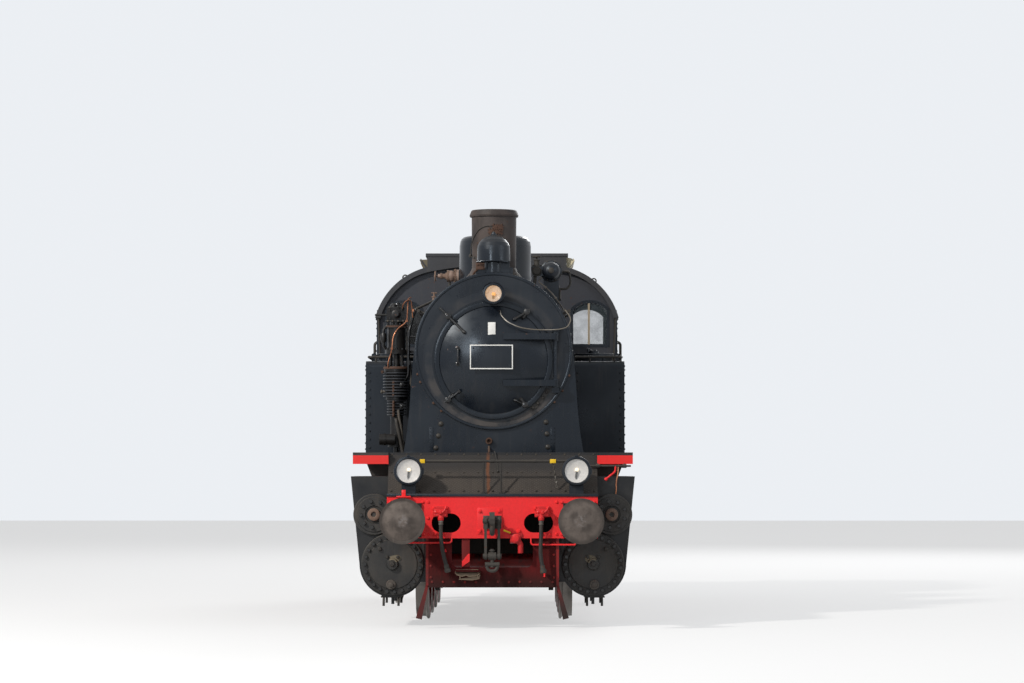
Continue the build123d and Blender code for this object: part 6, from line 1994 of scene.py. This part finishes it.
corner_grips = Piece("cab_corner_grips")
for side in (-1, 1):
    y = CAB_FRONT - 42
    corner_grips.rod([at(side * 1352, y, 2800), at(side * 1374, y, 3330)], 0.0125, around=12)
    for x, h in ((1356, 2830), (1372, 3300)):
        corner_grips.rod([at(side * x, y, h), at(side * (x - 8), CAB_FRONT + 2, h)], 0.009, around=8)
        corner_grips.lathe(drum(0.016, 0.018), at(side * x, y, h), axis="Z", around=14)
corner_grips.done(iron)

# %% [markdown]
# ## Chimney and bell
# A thin pull wire runs from the bell up round the chimney's front, and a torn, rusty patch of an old
# bracket is left on the barrel. The patch is a curved sheet whose edge wanders, so it reads as corroded
# metal rather than as a neat plate.

# %% Chimney and bell fittings
CHIMNEY_Y, CHIMNEY_R = -2575, 233


def round_chimney(x, h, out):
    return at(x, CHIMNEY_Y - math.sqrt(max(0, (CHIMNEY_R + out) ** 2 - x * x)), h)


wire = Piece("bell_wire")
wire.rod([at(-246, -2640, 3776), at(-243, -2640, 3880), round_chimney(-215, 3983, 10),
          round_chimney(-152, 4066, 10), round_chimney(-69, 4097, 10), round_chimney(14, 4077, 9),
          round_chimney(40, 4060, 4)], 0.0048, bend=0.06, around=8)
wire.lathe(knob(0.02, 0.016, 0.014, 0.018), at(-246, -2640, 3790), axis="Z", around=12)
wire.lathe(knob(0.014, 0.010, 0.010, 0.013), at(-203, -2700, 3768), axis="-Y", around=12)
wire.rod([at(-246, -2640, 3782), at(-203, -2700, 3768), at(-150, -2790, 3740)], 0.006, around=8)
wire.done(iron)

# %% [markdown]
# A sheet that lies on a barrel is a grid bent to its radius. Sums of sines make its border wander, not
# random draws, so it comes out the same at every run. A second sheet and three studs lie over the
# first.

# %% Rust patch


def curved_patch(piece, centre, radius, span, heights, thick, edge):
    """A sheet on a barrel, from one angle to another, with a wandering edge."""
    cols, rows = 14, 7
    skins = []
    for out in (0.0005, thick):
        skin = []
        for r in range(rows + 1):
            line = []
            for c in range(cols + 1):
                wander = math.sin(c * 2.3 + r * 1.7) * edge + math.sin(c * 5.1 - r * 3.3) * edge * 0.5
                at_side, at_end = (1 if c in (0, cols) else 0.2), (1 if r in (0, rows) else 0.2)
                a = span[0] + (span[1] - span[0]) * c / cols + wander / radius * at_side
                h = heights[0] + (heights[1] - heights[0]) * r / rows + wander * at_end
                reach = radius + out + (abs(wander) * 0.12 if out > 0.001 else 0)
                place = Vector(centre) + Vector((reach * math.sin(a), -reach * math.cos(a), h))
                line.append(piece.mesh.verts.new(place))
            skin.append(line)
        skins.append(skin)
    for skin in skins:
        for r in range(rows):
            for c in range(cols):
                piece.mesh.faces.new((skin[r][c], skin[r][c + 1], skin[r + 1][c + 1], skin[r + 1][c]))
    low, high = skins
    border = [(0, c) for c in range(cols)] + [(r, cols) for r in range(rows)]
    border += [(rows, c) for c in range(cols, 0, -1)] + [(r, 0) for r in range(rows, 0, -1)]
    for (r, c), (s, d) in zip(border, border[1:] + border[:1]):
        piece.mesh.faces.new((low[r][c], low[s][d], high[s][d], high[r][c]))


patch = Piece("chimney_rust_patch")
curved_patch(patch, at(0, CHIMNEY_Y, 0), mm(CHIMNEY_R), (-0.24, 0.40), (mm(4008), mm(4062)), 0.007, 0.011)
curved_patch(patch, at(0, CHIMNEY_Y, 0), mm(CHIMNEY_R), (-0.05, 0.42), (mm(4056), mm(4106)), 0.012, 0.010)
for x, h in ((-20, 4035), (64, 4040), (30, 4082)):
    place = round_chimney(x, h, 8)
    patch.lathe(cap(0.010, 0.006, 0.006, 0.010), place, around=8)
patch.done(rusty)

# %% [markdown]
# The bell has a rusty bracket with two nuts, and a lever that reaches across in front of it. Its mouth
# and crown are edged by turned rings.

# %% Bell fittings
BELL_Y = -2985
bell_parts = Piece("bell_bracket")
bell_parts.box(at(-184, BELL_Y - 84, 3622), at(-92, BELL_Y - 60, 3692), bevel=0.004)
bell_parts.rod([at(-150, BELL_Y - 72, 3640), at(-196, BELL_Y - 60, 3600), at(-214, BELL_Y - 20, 3565)],
               0.011)
nuts(bell_parts, [at(x, BELL_Y - 84, h) for x, h in ((-164, 3672), (-112, 3640))], scale=0.5)
bell_parts.done(rusty)
bar = Piece("bell_lever")
bar.rod([at(-173, BELL_Y - 120, 3700), at(-60, BELL_Y - 160, 3712), at(60, BELL_Y - 160, 3712),
         at(148, BELL_Y - 120, 3698)], 0.011, bend=0.05)
bar.lathe([(0, 0.132), (0, 0.150), (0.008, 0.156), (0.016, 0.150), (0.016, 0.132), (0, 0.132)],
          at(0, BELL_Y, 3700), axis="Z", around=48)
bar.lathe([(0, 0), (0, 0.030), (0.012, 0.030), (0.020, 0.018), (0.034, 0.014), (0.038, 0)],
          at(0, BELL_Y, 3984), axis="Z", around=28)
bar.done(black)

# %% [markdown]
# ## Steam fittings
# Valves, pipes and nuts stand close round the dome, the generator and the pump. They are what makes the
# top and the right side of a real front look busy. The small pipes are copper that has gone brown.

# %% Dome valve and generator
valve_parts = Piece("dome_valve_fittings")
DOME_Y, DOME_R, VALVE_H = -1125, 393, 3659
valve_parts.lathe(band(0.066, 0.079, 0.014), at(-DOME_R - 36, DOME_Y, VALVE_H), axis="-X", around=32)
valve_parts.lathe([(0.02, 0.0635), (0.035, 0.0645), (0.045, 0.0640), (0.045, 0.040), (0.060, 0.036),
                   (0.062, 0.027), (0.100, 0.0265), (0.100, 0.0345), (0.116, 0.0345), (0.116, 0.012)],
                  at(-DOME_R - 90, DOME_Y, VALVE_H), axis="-X", around=28)
valve_parts.ring(mm(50), mm(8), at(-DOME_R - 262, DOME_Y, VALVE_H), axis="X", around=40, across=8)
for n in range(6):
    a = math.tau * n / 6
    valve_parts.lathe(cap(0.009, 0.007, 0.006, 0.010),
                      at(-DOME_R - 50, DOME_Y + 71 * math.cos(a), VALVE_H + 71 * math.sin(a)), axis="-X",
                      around=6)
valve_parts.done(pale_rust)

# %% [markdown]
# ## Dome and valve
# The valve at the dome's side belongs to the dome's solid, yet it is dry and brown where the dome is
# enamelled. Its place parts the two: the valve is all that stands beside the barrel and above the
# valve's foot.

# %% Dome finish


def dome_finish():
    """Black enamel on the dome, and a dry brown film on the valve that stands out of its right side."""
    finish = Finish("dome_and_valve")
    x, y, z = finish.axes()
    clouds = finish.clouds()
    fine = finish.noise(55, 4)
    beside = 1 - x.between(mm(-DOME_R - 6), mm(-DOME_R - 3))
    above_foot = z.between(mm(VALVE_H - 77 + FLANGE), mm(VALVE_H - 73 + FLANGE))
    valve = beside * above_foot
    enamel = finish.mix(clouds * 0.10 + finish.upward() * 0.14, BLUE_BLACK, DUST)
    film = finish.mix(finish.noise(16, 5).between(0.42, 0.62), (0.22, 0.150, 0.118), (0.31, 0.220, 0.178))
    shade = finish.mix(valve, enamel, film)
    rough = 0.12 + clouds * 0.26 + valve * 0.35 + fine * 0.08
    return finish.wear(shade, rough, None, fine * 0.2 + finish.noise(6.5, 3) * 0.65, 0.0012,
                       Specular_IOR_Level=0.34, Specular_Tint=COLD_SHEEN)


clothe(dome_finish(), "dome")

# %% [markdown]
# ## Turbo generator
# A small steam turbine makes the lamps' current. A ring of bolts, a valve with its hand wheel and bent
# pipes stand on it, all placed from the generator's middle.

# %% Generator fittings
GENERATOR = (600, -2520, 3634)
gx, gy, gh = GENERATOR
generator_parts = Piece("generator_fittings")
for n in range(8):
    a = math.tau * (n + 0.5) / 8
    generator_parts.lathe(cap(0.009, 0.008, 0.006, 0.012),
                          at(gx + 102 * math.cos(a), gy - 71, gh + 102 * math.sin(a)), around=6)
generator_parts.ring(mm(112), mm(5), at(gx, gy - 48, gh), axis="Y", around=56, across=8)
generator_parts.lathe(cap(0.030, 0.010, 0.020, 0.016), at(gx, gy - 176, gh), around=20)
generator_parts.lathe([(0, 0), (0, 0.048), (0.014, 0.048), (0.014, 0.030), (0.060, 0.026), (0.062, 0.036),
                       (0.074, 0.036), (0.074, 0.012), (0.110, 0.010), (0.112, 0)],
                      at(448, gy - 70, gh + 45), axis="Z", around=24)
generator_parts.ring(mm(42), mm(7), at(448, gy - 70, gh + 150), axis="Z", around=36, across=8)
for n in range(3):
    a = math.tau * n / 3
    spoke_end = at(448 + 42 * math.cos(a), gy - 70 + 42 * math.sin(a), gh + 150)
    generator_parts.rod([at(448, gy - 70, gh + 152), spoke_end], 0.005, around=8)
generator_parts.lathe([(0, 0), (0, 0.052), (0.012, 0.052), (0.012, 0.038), (0.060, 0.034), (0.060, 0)],
                      at(448, gy - 110, gh - 6), around=24)
generator_parts.rod([at(430, gy - 70, gh - 50), at(430, gy - 70, gh - 110), at(404, gy - 60, gh - 205)],
                    0.018, bend=0.04)
generator_parts.rod([at(640, gy + 120, gh - 86), at(690, gy + 120, gh - 190), at(690, gy + 60, gh - 300)],
                    0.016, bend=0.05)
generator_parts.rod([at(799, -2400, 3601), at(809, -2400, 3506), at(767, -2400, 3453),
                     at(651, -2400, 3453)], 0.012, bend=0.04)
generator_parts.rod([at(700, -2400, 3634), at(799, -2400, 3640), at(799, -2400, 3590)], 0.012, bend=0.03)
generator_parts.done(iron)

# %% [markdown]
# ## Air pump
# The pump has a steam barrel above and an air barrel below. The solid has both. Rings of bolts,
# flanges, glands and short pipes are bolted to them, and as all of those are small and black they go
# into one piece.

# %% Air pump fittings
PUMP_X, PUMP_Y = -1062, -1500
pump_parts = Piece("air_pump_fittings")
for h, reach, count, size in ((2840, 108, 10, 0.42), (2655, 126, 10, 0.45), (3110, 104, 8, 0.40)):
    for n in range(count):
        a = math.tau * (n + 0.5) / count
        place = at(PUMP_X + reach * math.cos(a), PUMP_Y + reach * math.sin(a), h)
        pump_parts.lathe([(-0.030, 0), (-0.030, 0.026 * size), (0.004, 0.026 * size), (0.004, 0.030 * size),
                          (0.018, 0.028 * size), (0.018, 0)], place, axis="Z", around=6)
for x, y, h in ((-70, -90, 3180), (60, -90, 3180), (-70, -90, 3265), (60, -90, 3265)):
    pump_parts.lathe(cap(0.012, 0.010, 0.008, 0.014), at(PUMP_X + x, PUMP_Y + y, h), around=6)
pump_parts.lathe([(0, 0), (0, 0.050), (0.010, 0.050), (0.014, 0.040), (0.050, 0.036), (0.060, 0.024),
                  (0.060, 0)], at(PUMP_X, PUMP_Y - 90, 3222), around=28)
pump_parts.lathe([(0, 0), (0, 0.040), (0.030, 0.038), (0.046, 0.022), (0.046, 0)],
                 at(PUMP_X - 30, PUMP_Y, 3300), axis="Z", around=20)
pump_parts.rod([at(PUMP_X - 110, PUMP_Y - 30, 3090), at(PUMP_X - 140, PUMP_Y - 40, 3060),
                at(PUMP_X - 140, PUMP_Y - 40, 2880), at(PUMP_X - 110, PUMP_Y - 20, 2850)], 0.014, bend=0.04)
pump_parts.lathe([(-0.05, 0), (-0.05, 0.026), (-0.02, 0.034), (0.02, 0.034), (0.05, 0.026), (0.05, 0)],
                 at(PUMP_X - 140, PUMP_Y - 40, 2970), axis="Z", around=20)
for h in (2230, 2460):
    pump_parts.lathe([(0, 0), (0, 0.030), (0.020, 0.030), (0.020, 0.022), (0.046, 0.022), (0.050, 0.014),
                      (0.050, 0)], at(PUMP_X + 60, PUMP_Y - 104 if h > 2300 else PUMP_Y - 76, h), around=6)
for low, high in (((-118, -98, 3142), (98, 60, 3156)), ((-92, -92, 3290), (84, 56, 3303)),
                  ((-104, -84, 3076), (104, 40, 3088))):
    pump_parts.box(at(PUMP_X + low[0], PUMP_Y + low[1], low[2]),
                   at(PUMP_X + high[0], PUMP_Y + high[1], high[2]), bevel=0.003)
pump_parts.rod([at(PUMP_X - 80, PUMP_Y - 60, 3216), at(PUMP_X - 232, PUMP_Y - 60, 3216)], 0.011)
pump_parts.rod([at(PUMP_X + 60, PUMP_Y - 110, 3340), at(PUMP_X + 62, PUMP_Y - 100, 3260)], 0.015)
pump_parts.rod([at(PUMP_X + 20, PUMP_Y - 96, 3352), at(PUMP_X + 24, PUMP_Y - 90, 3280)], 0.010)
pump_parts.done(pump_black)

# %% [markdown]
# Thin copper pipes bring oil to the pump in loose bends that follow no rule, so their points are read
# off the picture one by one. A steel pipe and some bright bolts go with them.

# %% Pump pipes
pump_bolts = Piece("pump_bolts")
pump_pipes = Piece("pump_copper_pipes")
pipe_y = PUMP_Y - 130
pump_pipes.rod([at(-905, pipe_y + 60, 3405), at(-934, pipe_y, 3390), at(-945, pipe_y, 3137),
                at(-1042, pipe_y, 3072), at(-1095, pipe_y - 10, 2986), at(-1106, pipe_y - 20, 2835),
                at(-1149, pipe_y - 30, 2695), at(-1149, PUMP_Y - 100, 2640)], 0.0068, bend=0.06, around=10)
pump_pipes.rod([at(-1000, PUMP_Y - 95, 3265), at(-985, PUMP_Y - 150, 3330), at(-948, PUMP_Y - 150, 3372),
                at(-902, PUMP_Y - 120, 3373), at(-890, PUMP_Y - 90, 3265), at(-884, PUMP_Y - 66, 3150)],
               0.0062, bend=0.05, around=10)
for x, y, h in ((-945, pipe_y, 3150), (-1106, pipe_y - 20, 2850), (-880, PUMP_Y - 90, 3265)):
    pump_pipes.lathe(drum(0.012, 0.0145), at(x, y, h), axis="Z", around=6)
pump_pipes.done(copper, slot="worn_steel")

for x, h in ((-92, 3150), (-40, 3150), (20, 3150), (74, 3150), (-70, 3298), (56, 3298)):
    pump_bolts.lathe(cap(0.011, 0.012, 0.007, 0.015),
                     at(PUMP_X + x, PUMP_Y - 97 + (6 if h > 3200 else 0), h), around=6)
pump_bolts.lathe([(0, 0), (0, 0.014), (0.026, 0.014), (0.030, 0.021), (0.044, 0.021), (0.050, 0.012),
                  (0.050, 0)], at(PUMP_X - 120, PUMP_Y - 70, 2388), axis="-X", around=16)
pump_bolts.rod([at(-1040, PUMP_Y - 100, 2190), at(-1034, PUMP_Y - 112, 2130), at(-1004, PUMP_Y - 100, 1960),
                at(-992, PUMP_Y - 80, 1800), at(-990, PUMP_Y - 70, 1690)], 0.0155, bend=0.05, around=14)
pump_bolts.done(steel, slot="worn_steel")

# %% [markdown]
# The exhaust pipe runs down beside the pump. The flanges and the cover strips have lost their black and
# rust.

# %% Pump exhaust and flanges
exhaust = Piece("pump_exhaust_pipe")
exhaust.rod([at(-858, PUMP_Y - 40, 3262), at(-880, PUMP_Y - 60, 3210), at(-930, PUMP_Y - 84, 3020),
             at(-932, PUMP_Y - 90, 2560), at(-985, PUMP_Y - 60, 2490)], 0.016, bend=0.05, around=14)
for h in (3010, 2700):
    exhaust.lathe(drum(0.022, 0.024), at(-931, PUMP_Y - 86, h), axis="Z", around=6)
exhaust.rod([at(-931, PUMP_Y - 86, 2985), at(-812, PUMP_Y - 80, 2968)], 0.010)
exhaust.done(bolt_black)

pump_rust = Piece("pump_flange")
pump_rust.lathe([(0, 0.120), (0, 0.141), (0.006, 0.1425), (0.020, 0.1425), (0.026, 0.139), (0.026, 0.118)],
                at(PUMP_X, PUMP_Y, 2632), axis="Z", around=48)
pump_rust.lathe([(0, 0.098), (0, 0.1175), (0.020, 0.1175), (0.020, 0.098)], at(PUMP_X, PUMP_Y, 3082),
                axis="Z", around=48)
pump_rust.lathe([(0, 0), (0, 0.017), (0.012, 0.017), (0.012, 0.010), (0.040, 0.009), (0.040, 0)],
                at(PUMP_X - 150, PUMP_Y - 80, 2600), axis="-Y", around=14)
for low, high in ((2330, 2505), (2114, 2290)):
    pump_rust.box(at(PUMP_X - 40, PUMP_Y - 136, low), at(PUMP_X - 18, PUMP_Y - 100, high), bevel=0.004)
    for n in range(4):
        pump_rust.lathe(cap(0.013, 0.010, 0.007, 0.014),
                        at(PUMP_X - 29, PUMP_Y - 136, low + 20 + n * (high - low - 40) / 3), around=6)
pump_rust.done(rusty)

# %% [markdown]
# ## Fittings behind the picture
# The picture shows the front alone. The sides, the top and the rear are dressed after the usual practice
# of such engines, with plain fittings: safety valves and a whistle, straps round the reservoirs, sand
# pipes, lid clamps and a few gauges on the boiler's rear face.

# %% Boiler top
BOILER_TOP = BOILER_H + BOILER_R
valves = Piece("safety_valves")
for x in (-75, 75):
    valves.lathe([(-0.04, 0), (-0.04, 0.060), (0.020, 0.060), (0.020, 0.044), (0.100, 0.040),
                  (0.104, 0.050), (0.118, 0.050), (0.122, 0.034), (0.190, 0.030), (0.196, 0.012),
                  (0.215, 0.010), (0.217, 0)], at(x, 520, BOILER_TOP), axis="Z", around=32)
valves.box(at(-130, 455, BOILER_TOP - 20), at(130, 585, BOILER_TOP + 14), bevel=0.006)
valves.done(brass, slot="worn_steel")
whistle = Piece("whistle")
whistle.lathe([(-0.05, 0), (-0.05, 0.030), (0.010, 0.030), (0.016, 0.016), (0.070, 0.016), (0.076, 0.036),
               (0.090, 0.036), (0.092, 0.031), (0.098, 0.031), (0.100, 0.036), (0.210, 0.036),
               (0.222, 0.024), (0.226, 0.008), (0.236, 0.007), (0.238, 0)], at(-330, 980, BOILER_H + 712),
              axis="Z", around=32)
whistle.done(brass, slot="worn_steel")
top_parts = Piece("boiler_top_fittings")
for y in (-420, 180, 800):
    top_parts.lathe(band(mm(BOILER_R + 0.5), mm(BOILER_R + 5), 0.045), at(0, y, BOILER_H), axis="-Y",
                    around=96)
top_parts.lathe(band(mm(DOME_R - 4), mm(DOME_R + 5), 0.030),
                at(0, DOME_Y, 3618), axis="Z", around=96)
top_parts.rod([at(330, CAB_FRONT - 6, 3480), at(330, 300, 3480), at(330, -700, 3520), at(300, -780, 3560)],
              0.012, bend=0.05)
top_parts.done(black)

small = Piece("boiler_shoulder_valve")
small.lathe([(0, 0), (0, 0.040), (0.010, 0.040), (0.014, 0.022), (0.040, 0.020), (0.046, 0.028),
             (0.058, 0.028), (0.062, 0.010), (0.100, 0.009), (0.102, 0)], at(-667, -1175 + 60, 3380),
            axis="Z", around=20)
small.rod([at(-697, -1115, 3476), at(-637, -1115, 3476)], 0.0065, around=8)
small.rod([at(-650, -1115, 3200), at(-662, -1115, 3300), at(-667, -1115, 3392)], 0.012, bend=0.03)
small.done(pale_rust)

# %% [markdown]
# Straps hold the air reservoirs. Each tank lid has a rim, a grip and bolts, which ride on the lid, and
# grab irons stand on the tanks.

# %% Tank and reservoir fittings
straps = Piece("reservoir_straps")
for side in (-1, 1):
    for y in (3125, 3875):
        straps.lathe(band(0.1905, 0.196, 0.05), at(side * 980, y, 1380), axis="Y", around=48)
        straps.lathe(drum(0.02, 0.014), at(side * 1178, y + 25, 1440), axis="Z", around=6)
    straps.lathe([(0, 0), (0, 0.030), (0.020, 0.030), (0.030, 0.018), (0.050, 0.016), (0.050, 0)],
                 at(side * 980, 3520, 1192), axis="Z", around=16)
straps.done(iron)

for side, word in ((1, "left"), (-1, "right")):
    neck_r = (TANK_HALF - 120 - BOILER_R - 40 - 45) / 2
    neck_x, neck_y = side * (TANK_HALF - 120 - neck_r), TANK_FRONT + 500
    lid_parts = Piece(f"tank_lid_fittings_{word}")
    lid_parts.ring(mm(neck_r + 17), mm(6), at(neck_x, neck_y, TANK_TOP + 87), axis="Z", around=72, across=8)
    lid_parts.rod([at(neck_x - 60 * side, neck_y - 40, TANK_TOP + 110),
                   at(neck_x - 60 * side, neck_y - 40, TANK_TOP + 150),
                   at(neck_x - 60 * side, neck_y + 40, TANK_TOP + 150),
                   at(neck_x - 60 * side, neck_y + 40, TANK_TOP + 110)], 0.010, bend=0.02)
    for n in range(4):
        a = math.tau * (n + 0.5) / 4
        lid_parts.lathe(cap(0.014, 0.010, 0.006, 0.016),
                        at(neck_x + 34 * math.cos(a), neck_y + 34 * math.sin(a), TANK_TOP + 120), axis="Z",
                        around=6)
    lid_parts.done(black_flat, f"tank_lid_{word}", "black_paint")

tank_parts = Piece("tank_fittings")
for side in (-1, 1):
    for y in (TANK_FRONT + 160, TANK_BACK - 160):
        tank_parts.rod([at(side * 1180, y - 35, TANK_TOP - 2), at(side * 1180, y - 35, TANK_TOP + 46),
                        at(side * 1180, y + 35, TANK_TOP + 46), at(side * 1180, y + 35, TANK_TOP - 2)],
                       0.011, bend=0.03)
    tank_parts.box(at(side * (TANK_HALF + 3) - 4, TANK_FRONT + 30, TANK_TOP - 64),
                   at(side * (TANK_HALF + 3) + 4, TANK_BACK - 8, TANK_TOP - 44), bevel=0.001)
    tank_parts.rod([at(side * 1300, 600, DECK + 6), at(side * 1440, 600, DECK + 6),
                    at(side * 1440, 640, DECK - 160)], 0.0125, bend=0.03)
tank_parts.done(black_flat)

# %% [markdown]
# Sand pipes run down beside the frames and end close to the wheels' treads, which need sand when they
# slip.

# %% Sand pipes
sand_pipes = Piece("sand_pipes")
for side in (-1, 1):
    for y in (-1400, 0, 1400):
        sand_pipes.rod([at(side * 735, y - 130, 1690), at(side * 740, y - 130, 1330),
                        at(side * 750, y - 118, 700), at(side * 752, y - 60, 260),
                        at(side * 752, y - 20, 90)], 0.016, bend=0.10, around=10)
        sand_pipes.lathe(drum(0.02, 0.024), at(side * 742, y - 130, 1250), axis="Z", around=12)
sand_pipes.done(iron)

# %% [markdown]
# Two grab irons and a ladder of four rungs go up the bunker's rear. Each is a bent rod with its ends in
# the sheet.

# %% Bunker fittings
bunker_parts = Piece("bunker_fittings")
for side in (-1, 1):
    bunker_parts.rod([at(side * 1270, REAR_BEAM + 2, 1960), at(side * 1270, REAR_BEAM + 58, 1960),
                      at(side * 1270, REAR_BEAM + 58, 2560), at(side * 1270, REAR_BEAM + 2, 2560)], 0.012,
                     bend=0.03)
for h in (1860, 2130, 2400, 2670):
    bunker_parts.rod([at(-1010, REAR_BEAM + 1, h), at(-1010, REAR_BEAM + 76, h),
                      at(-740, REAR_BEAM + 76, h), at(-740, REAR_BEAM + 1, h)], 0.011, bend=0.025)
    for x in (-1010, -740):
        bunker_parts.lathe(cap(0.026, 0.006, 0.014, 0.010), at(x, REAR_BEAM, h), axis="Y", around=16)
bunker_parts.box(at(-420, REAR_BEAM, 2905 - 16), at(420, REAR_BEAM + 14, 2905 - 4), bevel=0.002)
bunker_parts.done(black_flat)

# %% [markdown]
# The boiler's rear face has gauges, water glasses and handles. They are seen only through the cab's
# openings, so plain turned and bent shapes do.

# %% Footplate fittings
BACKHEAD_Y = CAB_FRONT + 260
cab_parts = Piece("backhead_fittings")
for x, h, radius in ((-150, 3205, 62), (20, 3215, 74), (190, 3200, 52)):
    cab_parts.lathe([(0, 0), (0, mm(radius)), (0.030, mm(radius)), (0.036, mm(radius - 6)),
                     (0.030, mm(radius - 10)), (0.030, 0)], at(x, BACKHEAD_Y + 20, h), axis="Y", around=40)
for x in (-420, -360, 380, 440):
    cab_parts.rod([at(x, BACKHEAD_Y + 6, 2500), at(x, BACKHEAD_Y + 60, 2530), at(x, BACKHEAD_Y + 60, 2950),
                   at(x, BACKHEAD_Y + 6, 2990)], 0.013)
    cab_parts.ring(mm(38), mm(6), at(x, BACKHEAD_Y + 84, 2740), axis="Y", around=28, across=8)
cab_parts.rod([at(-320, BACKHEAD_Y + 105, 2900), at(-320, BACKHEAD_Y + 170, 2900)], 0.017)
cab_parts.rod([at(-150, BACKHEAD_Y + 40, 2300), at(-150, BACKHEAD_Y + 90, 2320),
               at(60, BACKHEAD_Y + 90, 2330)], 0.012, bend=0.03)
cab_parts.done(iron)
dials = Piece("gauge_faces")
for x, h, radius in ((-150, 3205, 52), (20, 3215, 64), (190, 3200, 42)):
    dials.lathe([(0, 0), (0, mm(radius)), (0.002, mm(radius - 1)), (0.002, 0)], at(x, BACKHEAD_Y + 51, h),
                axis="Y", around=40)
    dials.rod([at(x, BACKHEAD_Y + 54, h), at(x - radius * 0.45, BACKHEAD_Y + 54, h + radius * 0.45)],
              0.0022, around=6)
dials.done(white)

# %% [markdown]
# ## The worn step
# Under the coupling a bent tread sheet is bolted to the frame's end, for a boot. Its paint is gone and its
# edge is torn, so it shows as a pale tan patch. A torn edge follows no rule, so the sheet's outline is
# given point by point and then made thick.

# %% Worn step


def bent_sheet(piece, outline, thick):
    """A sheet from its outline's points, with its underside a little lower."""
    top = [piece.mesh.verts.new(p) for p in outline]
    low = [piece.mesh.verts.new(p - Vector((0, 0.002, thick))) for p in outline]
    piece.mesh.faces.new(top)
    piece.mesh.faces.new(low[::-1])
    for n in range(len(top)):
        m = (n + 1) % len(top)
        piece.mesh.faces.new((top[n], low[n], low[m], top[m]))


tan = painted("worn_tan", (0.34, 0.25, 0.17), gloss=0.55, dust=0.35, streaks=0.5, rust=0.10, grain=1.4)
step = Piece("worn_step")
bent_sheet(step, [at(-364, -4348, 560), at(-330, -4352, 561), at(-250, -4350, 559), at(-170, -4346, 562),
                  at(-140, -4345, 560), at(-120, -4400, 538), at(-128, -4440, 520), at(-170, -4452, 506),
                  at(-230, -4458, 498), at(-262, -4450, 512), at(-300, -4456, 500), at(-352, -4444, 516),
                  at(-372, -4410, 536)], 0.010)
bent_sheet(step, [at(-330, -4458, 470), at(-270, -4462, 466), at(-200, -4464, 464), at(-128, -4462, 476),
                  at(-118, -4440, 512), at(-150, -4430, 494), at(-210, -4436, 484), at(-300, -4438, 478)],
           0.008)
step.rod([at(-150, -4446, 512), at(-140, -4456, 490), at(-142, -4460, 474)], 0.006, around=8)
step.rod([at(-318, -4450, 504), at(-322, -4458, 486), at(-318, -4460, 472)], 0.006, around=8)
step.done(tan)

# %% [markdown]
# Bent red bars hang behind the beam. A stay runs down to the step in a dark red that is painted shade, and a
# bright red triangle over its lower end is a painted patch of light.

# %% Red bars and stay
bars_and_lit_patch = Piece("lower_bars_and_lit_patch")
lit_patch_y = FRONT_BEAM + 14
# Painted light: this outline is a sunlit patch, in bright red, over the stay's lower end.
lit_patch_outline = ((-303, 584), (-303, 640), (-262, 690), (-240, 716), (-226, 716), (-226, 640))
bars_and_lit_patch.slab([at(x, lit_patch_y, h) for x, h in lit_patch_outline], at(0, lit_patch_y, 0), at(0, lit_patch_y + 5, 0))
bars_and_lit_patch.rod([at(-469, -4325, 832), at(-470, -4330, 780), at(-464, -4340, 731)], 0.012)
bars_and_lit_patch.rod([at(505, -4325, 812), at(522, -4330, 640), at(519, -4345, 484)], 0.010)
bars_and_lit_patch.done(red, slot="red_paint")
# Painted shade: the stay's dark red stands for the beam's shadow on it.
stay = Piece("lower_stay")
stay.box(at(-304, FRONT_BEAM + 20, 584), at(-225, FRONT_BEAM + 27, 872), bevel=0.002)
stay.done(shaded_red, slot="red_paint")

# %% [markdown]
# A draw hook ends in a nose that a coupling is hung on. A thick rod through six places with a rounded
# end makes it, at the front and at the rear.

# %% Hook's nose
nose = Piece("draw_hook_nose")
for end, out in ((FRONT_BEAM, -1), (REAR_BEAM, 1)):
    nose.rod([at(0, end + out * 70, 1046), at(0, end + out * 92, 950), at(0, end + out * 150, 912),
              at(0, end + out * 205, 950), at(0, end + out * 214, 1040), at(0, end + out * 202, 1096)],
             0.0255, bend=0.05, around=16)
    nose.lathe([(0, 0.0255), (0.008, 0.022), (0.013, 0.012), (0.014, 0)], at(0, end + out * 202, 1096),
               axis=Vector((0, -out * 0.2, 1)), around=16)
nose.done(dark_iron)

# %% [markdown]
# A last row of rivets runs along the foot of the end plates and up both sides.

# %% Foot rivets
foot_lines = Lines()
for end, facing, out in ((FRONT_BEAM + 30, FRONT, -1), (REAR_BEAM - 30, BACK, 1)):
    foot_lines.row(at(-600, end, 435), at(600, end, 435), facing)
    for side in (-1, 1):
        foot_lines.row(at(side * 612, end, 480), at(side * 612, end, 820), facing)
fasten("foot_rivets", foot_lines, red_dull, pitch=109, radius=14, height=9, sides=8)

# %% [markdown]
# ## Last lines
# Every node must wear a finish by now, and the nodes without a finish are printed.

# %% Last lines
print("nodes without a finish:", [name for name, node in NODES.items() if not node.data.materials])
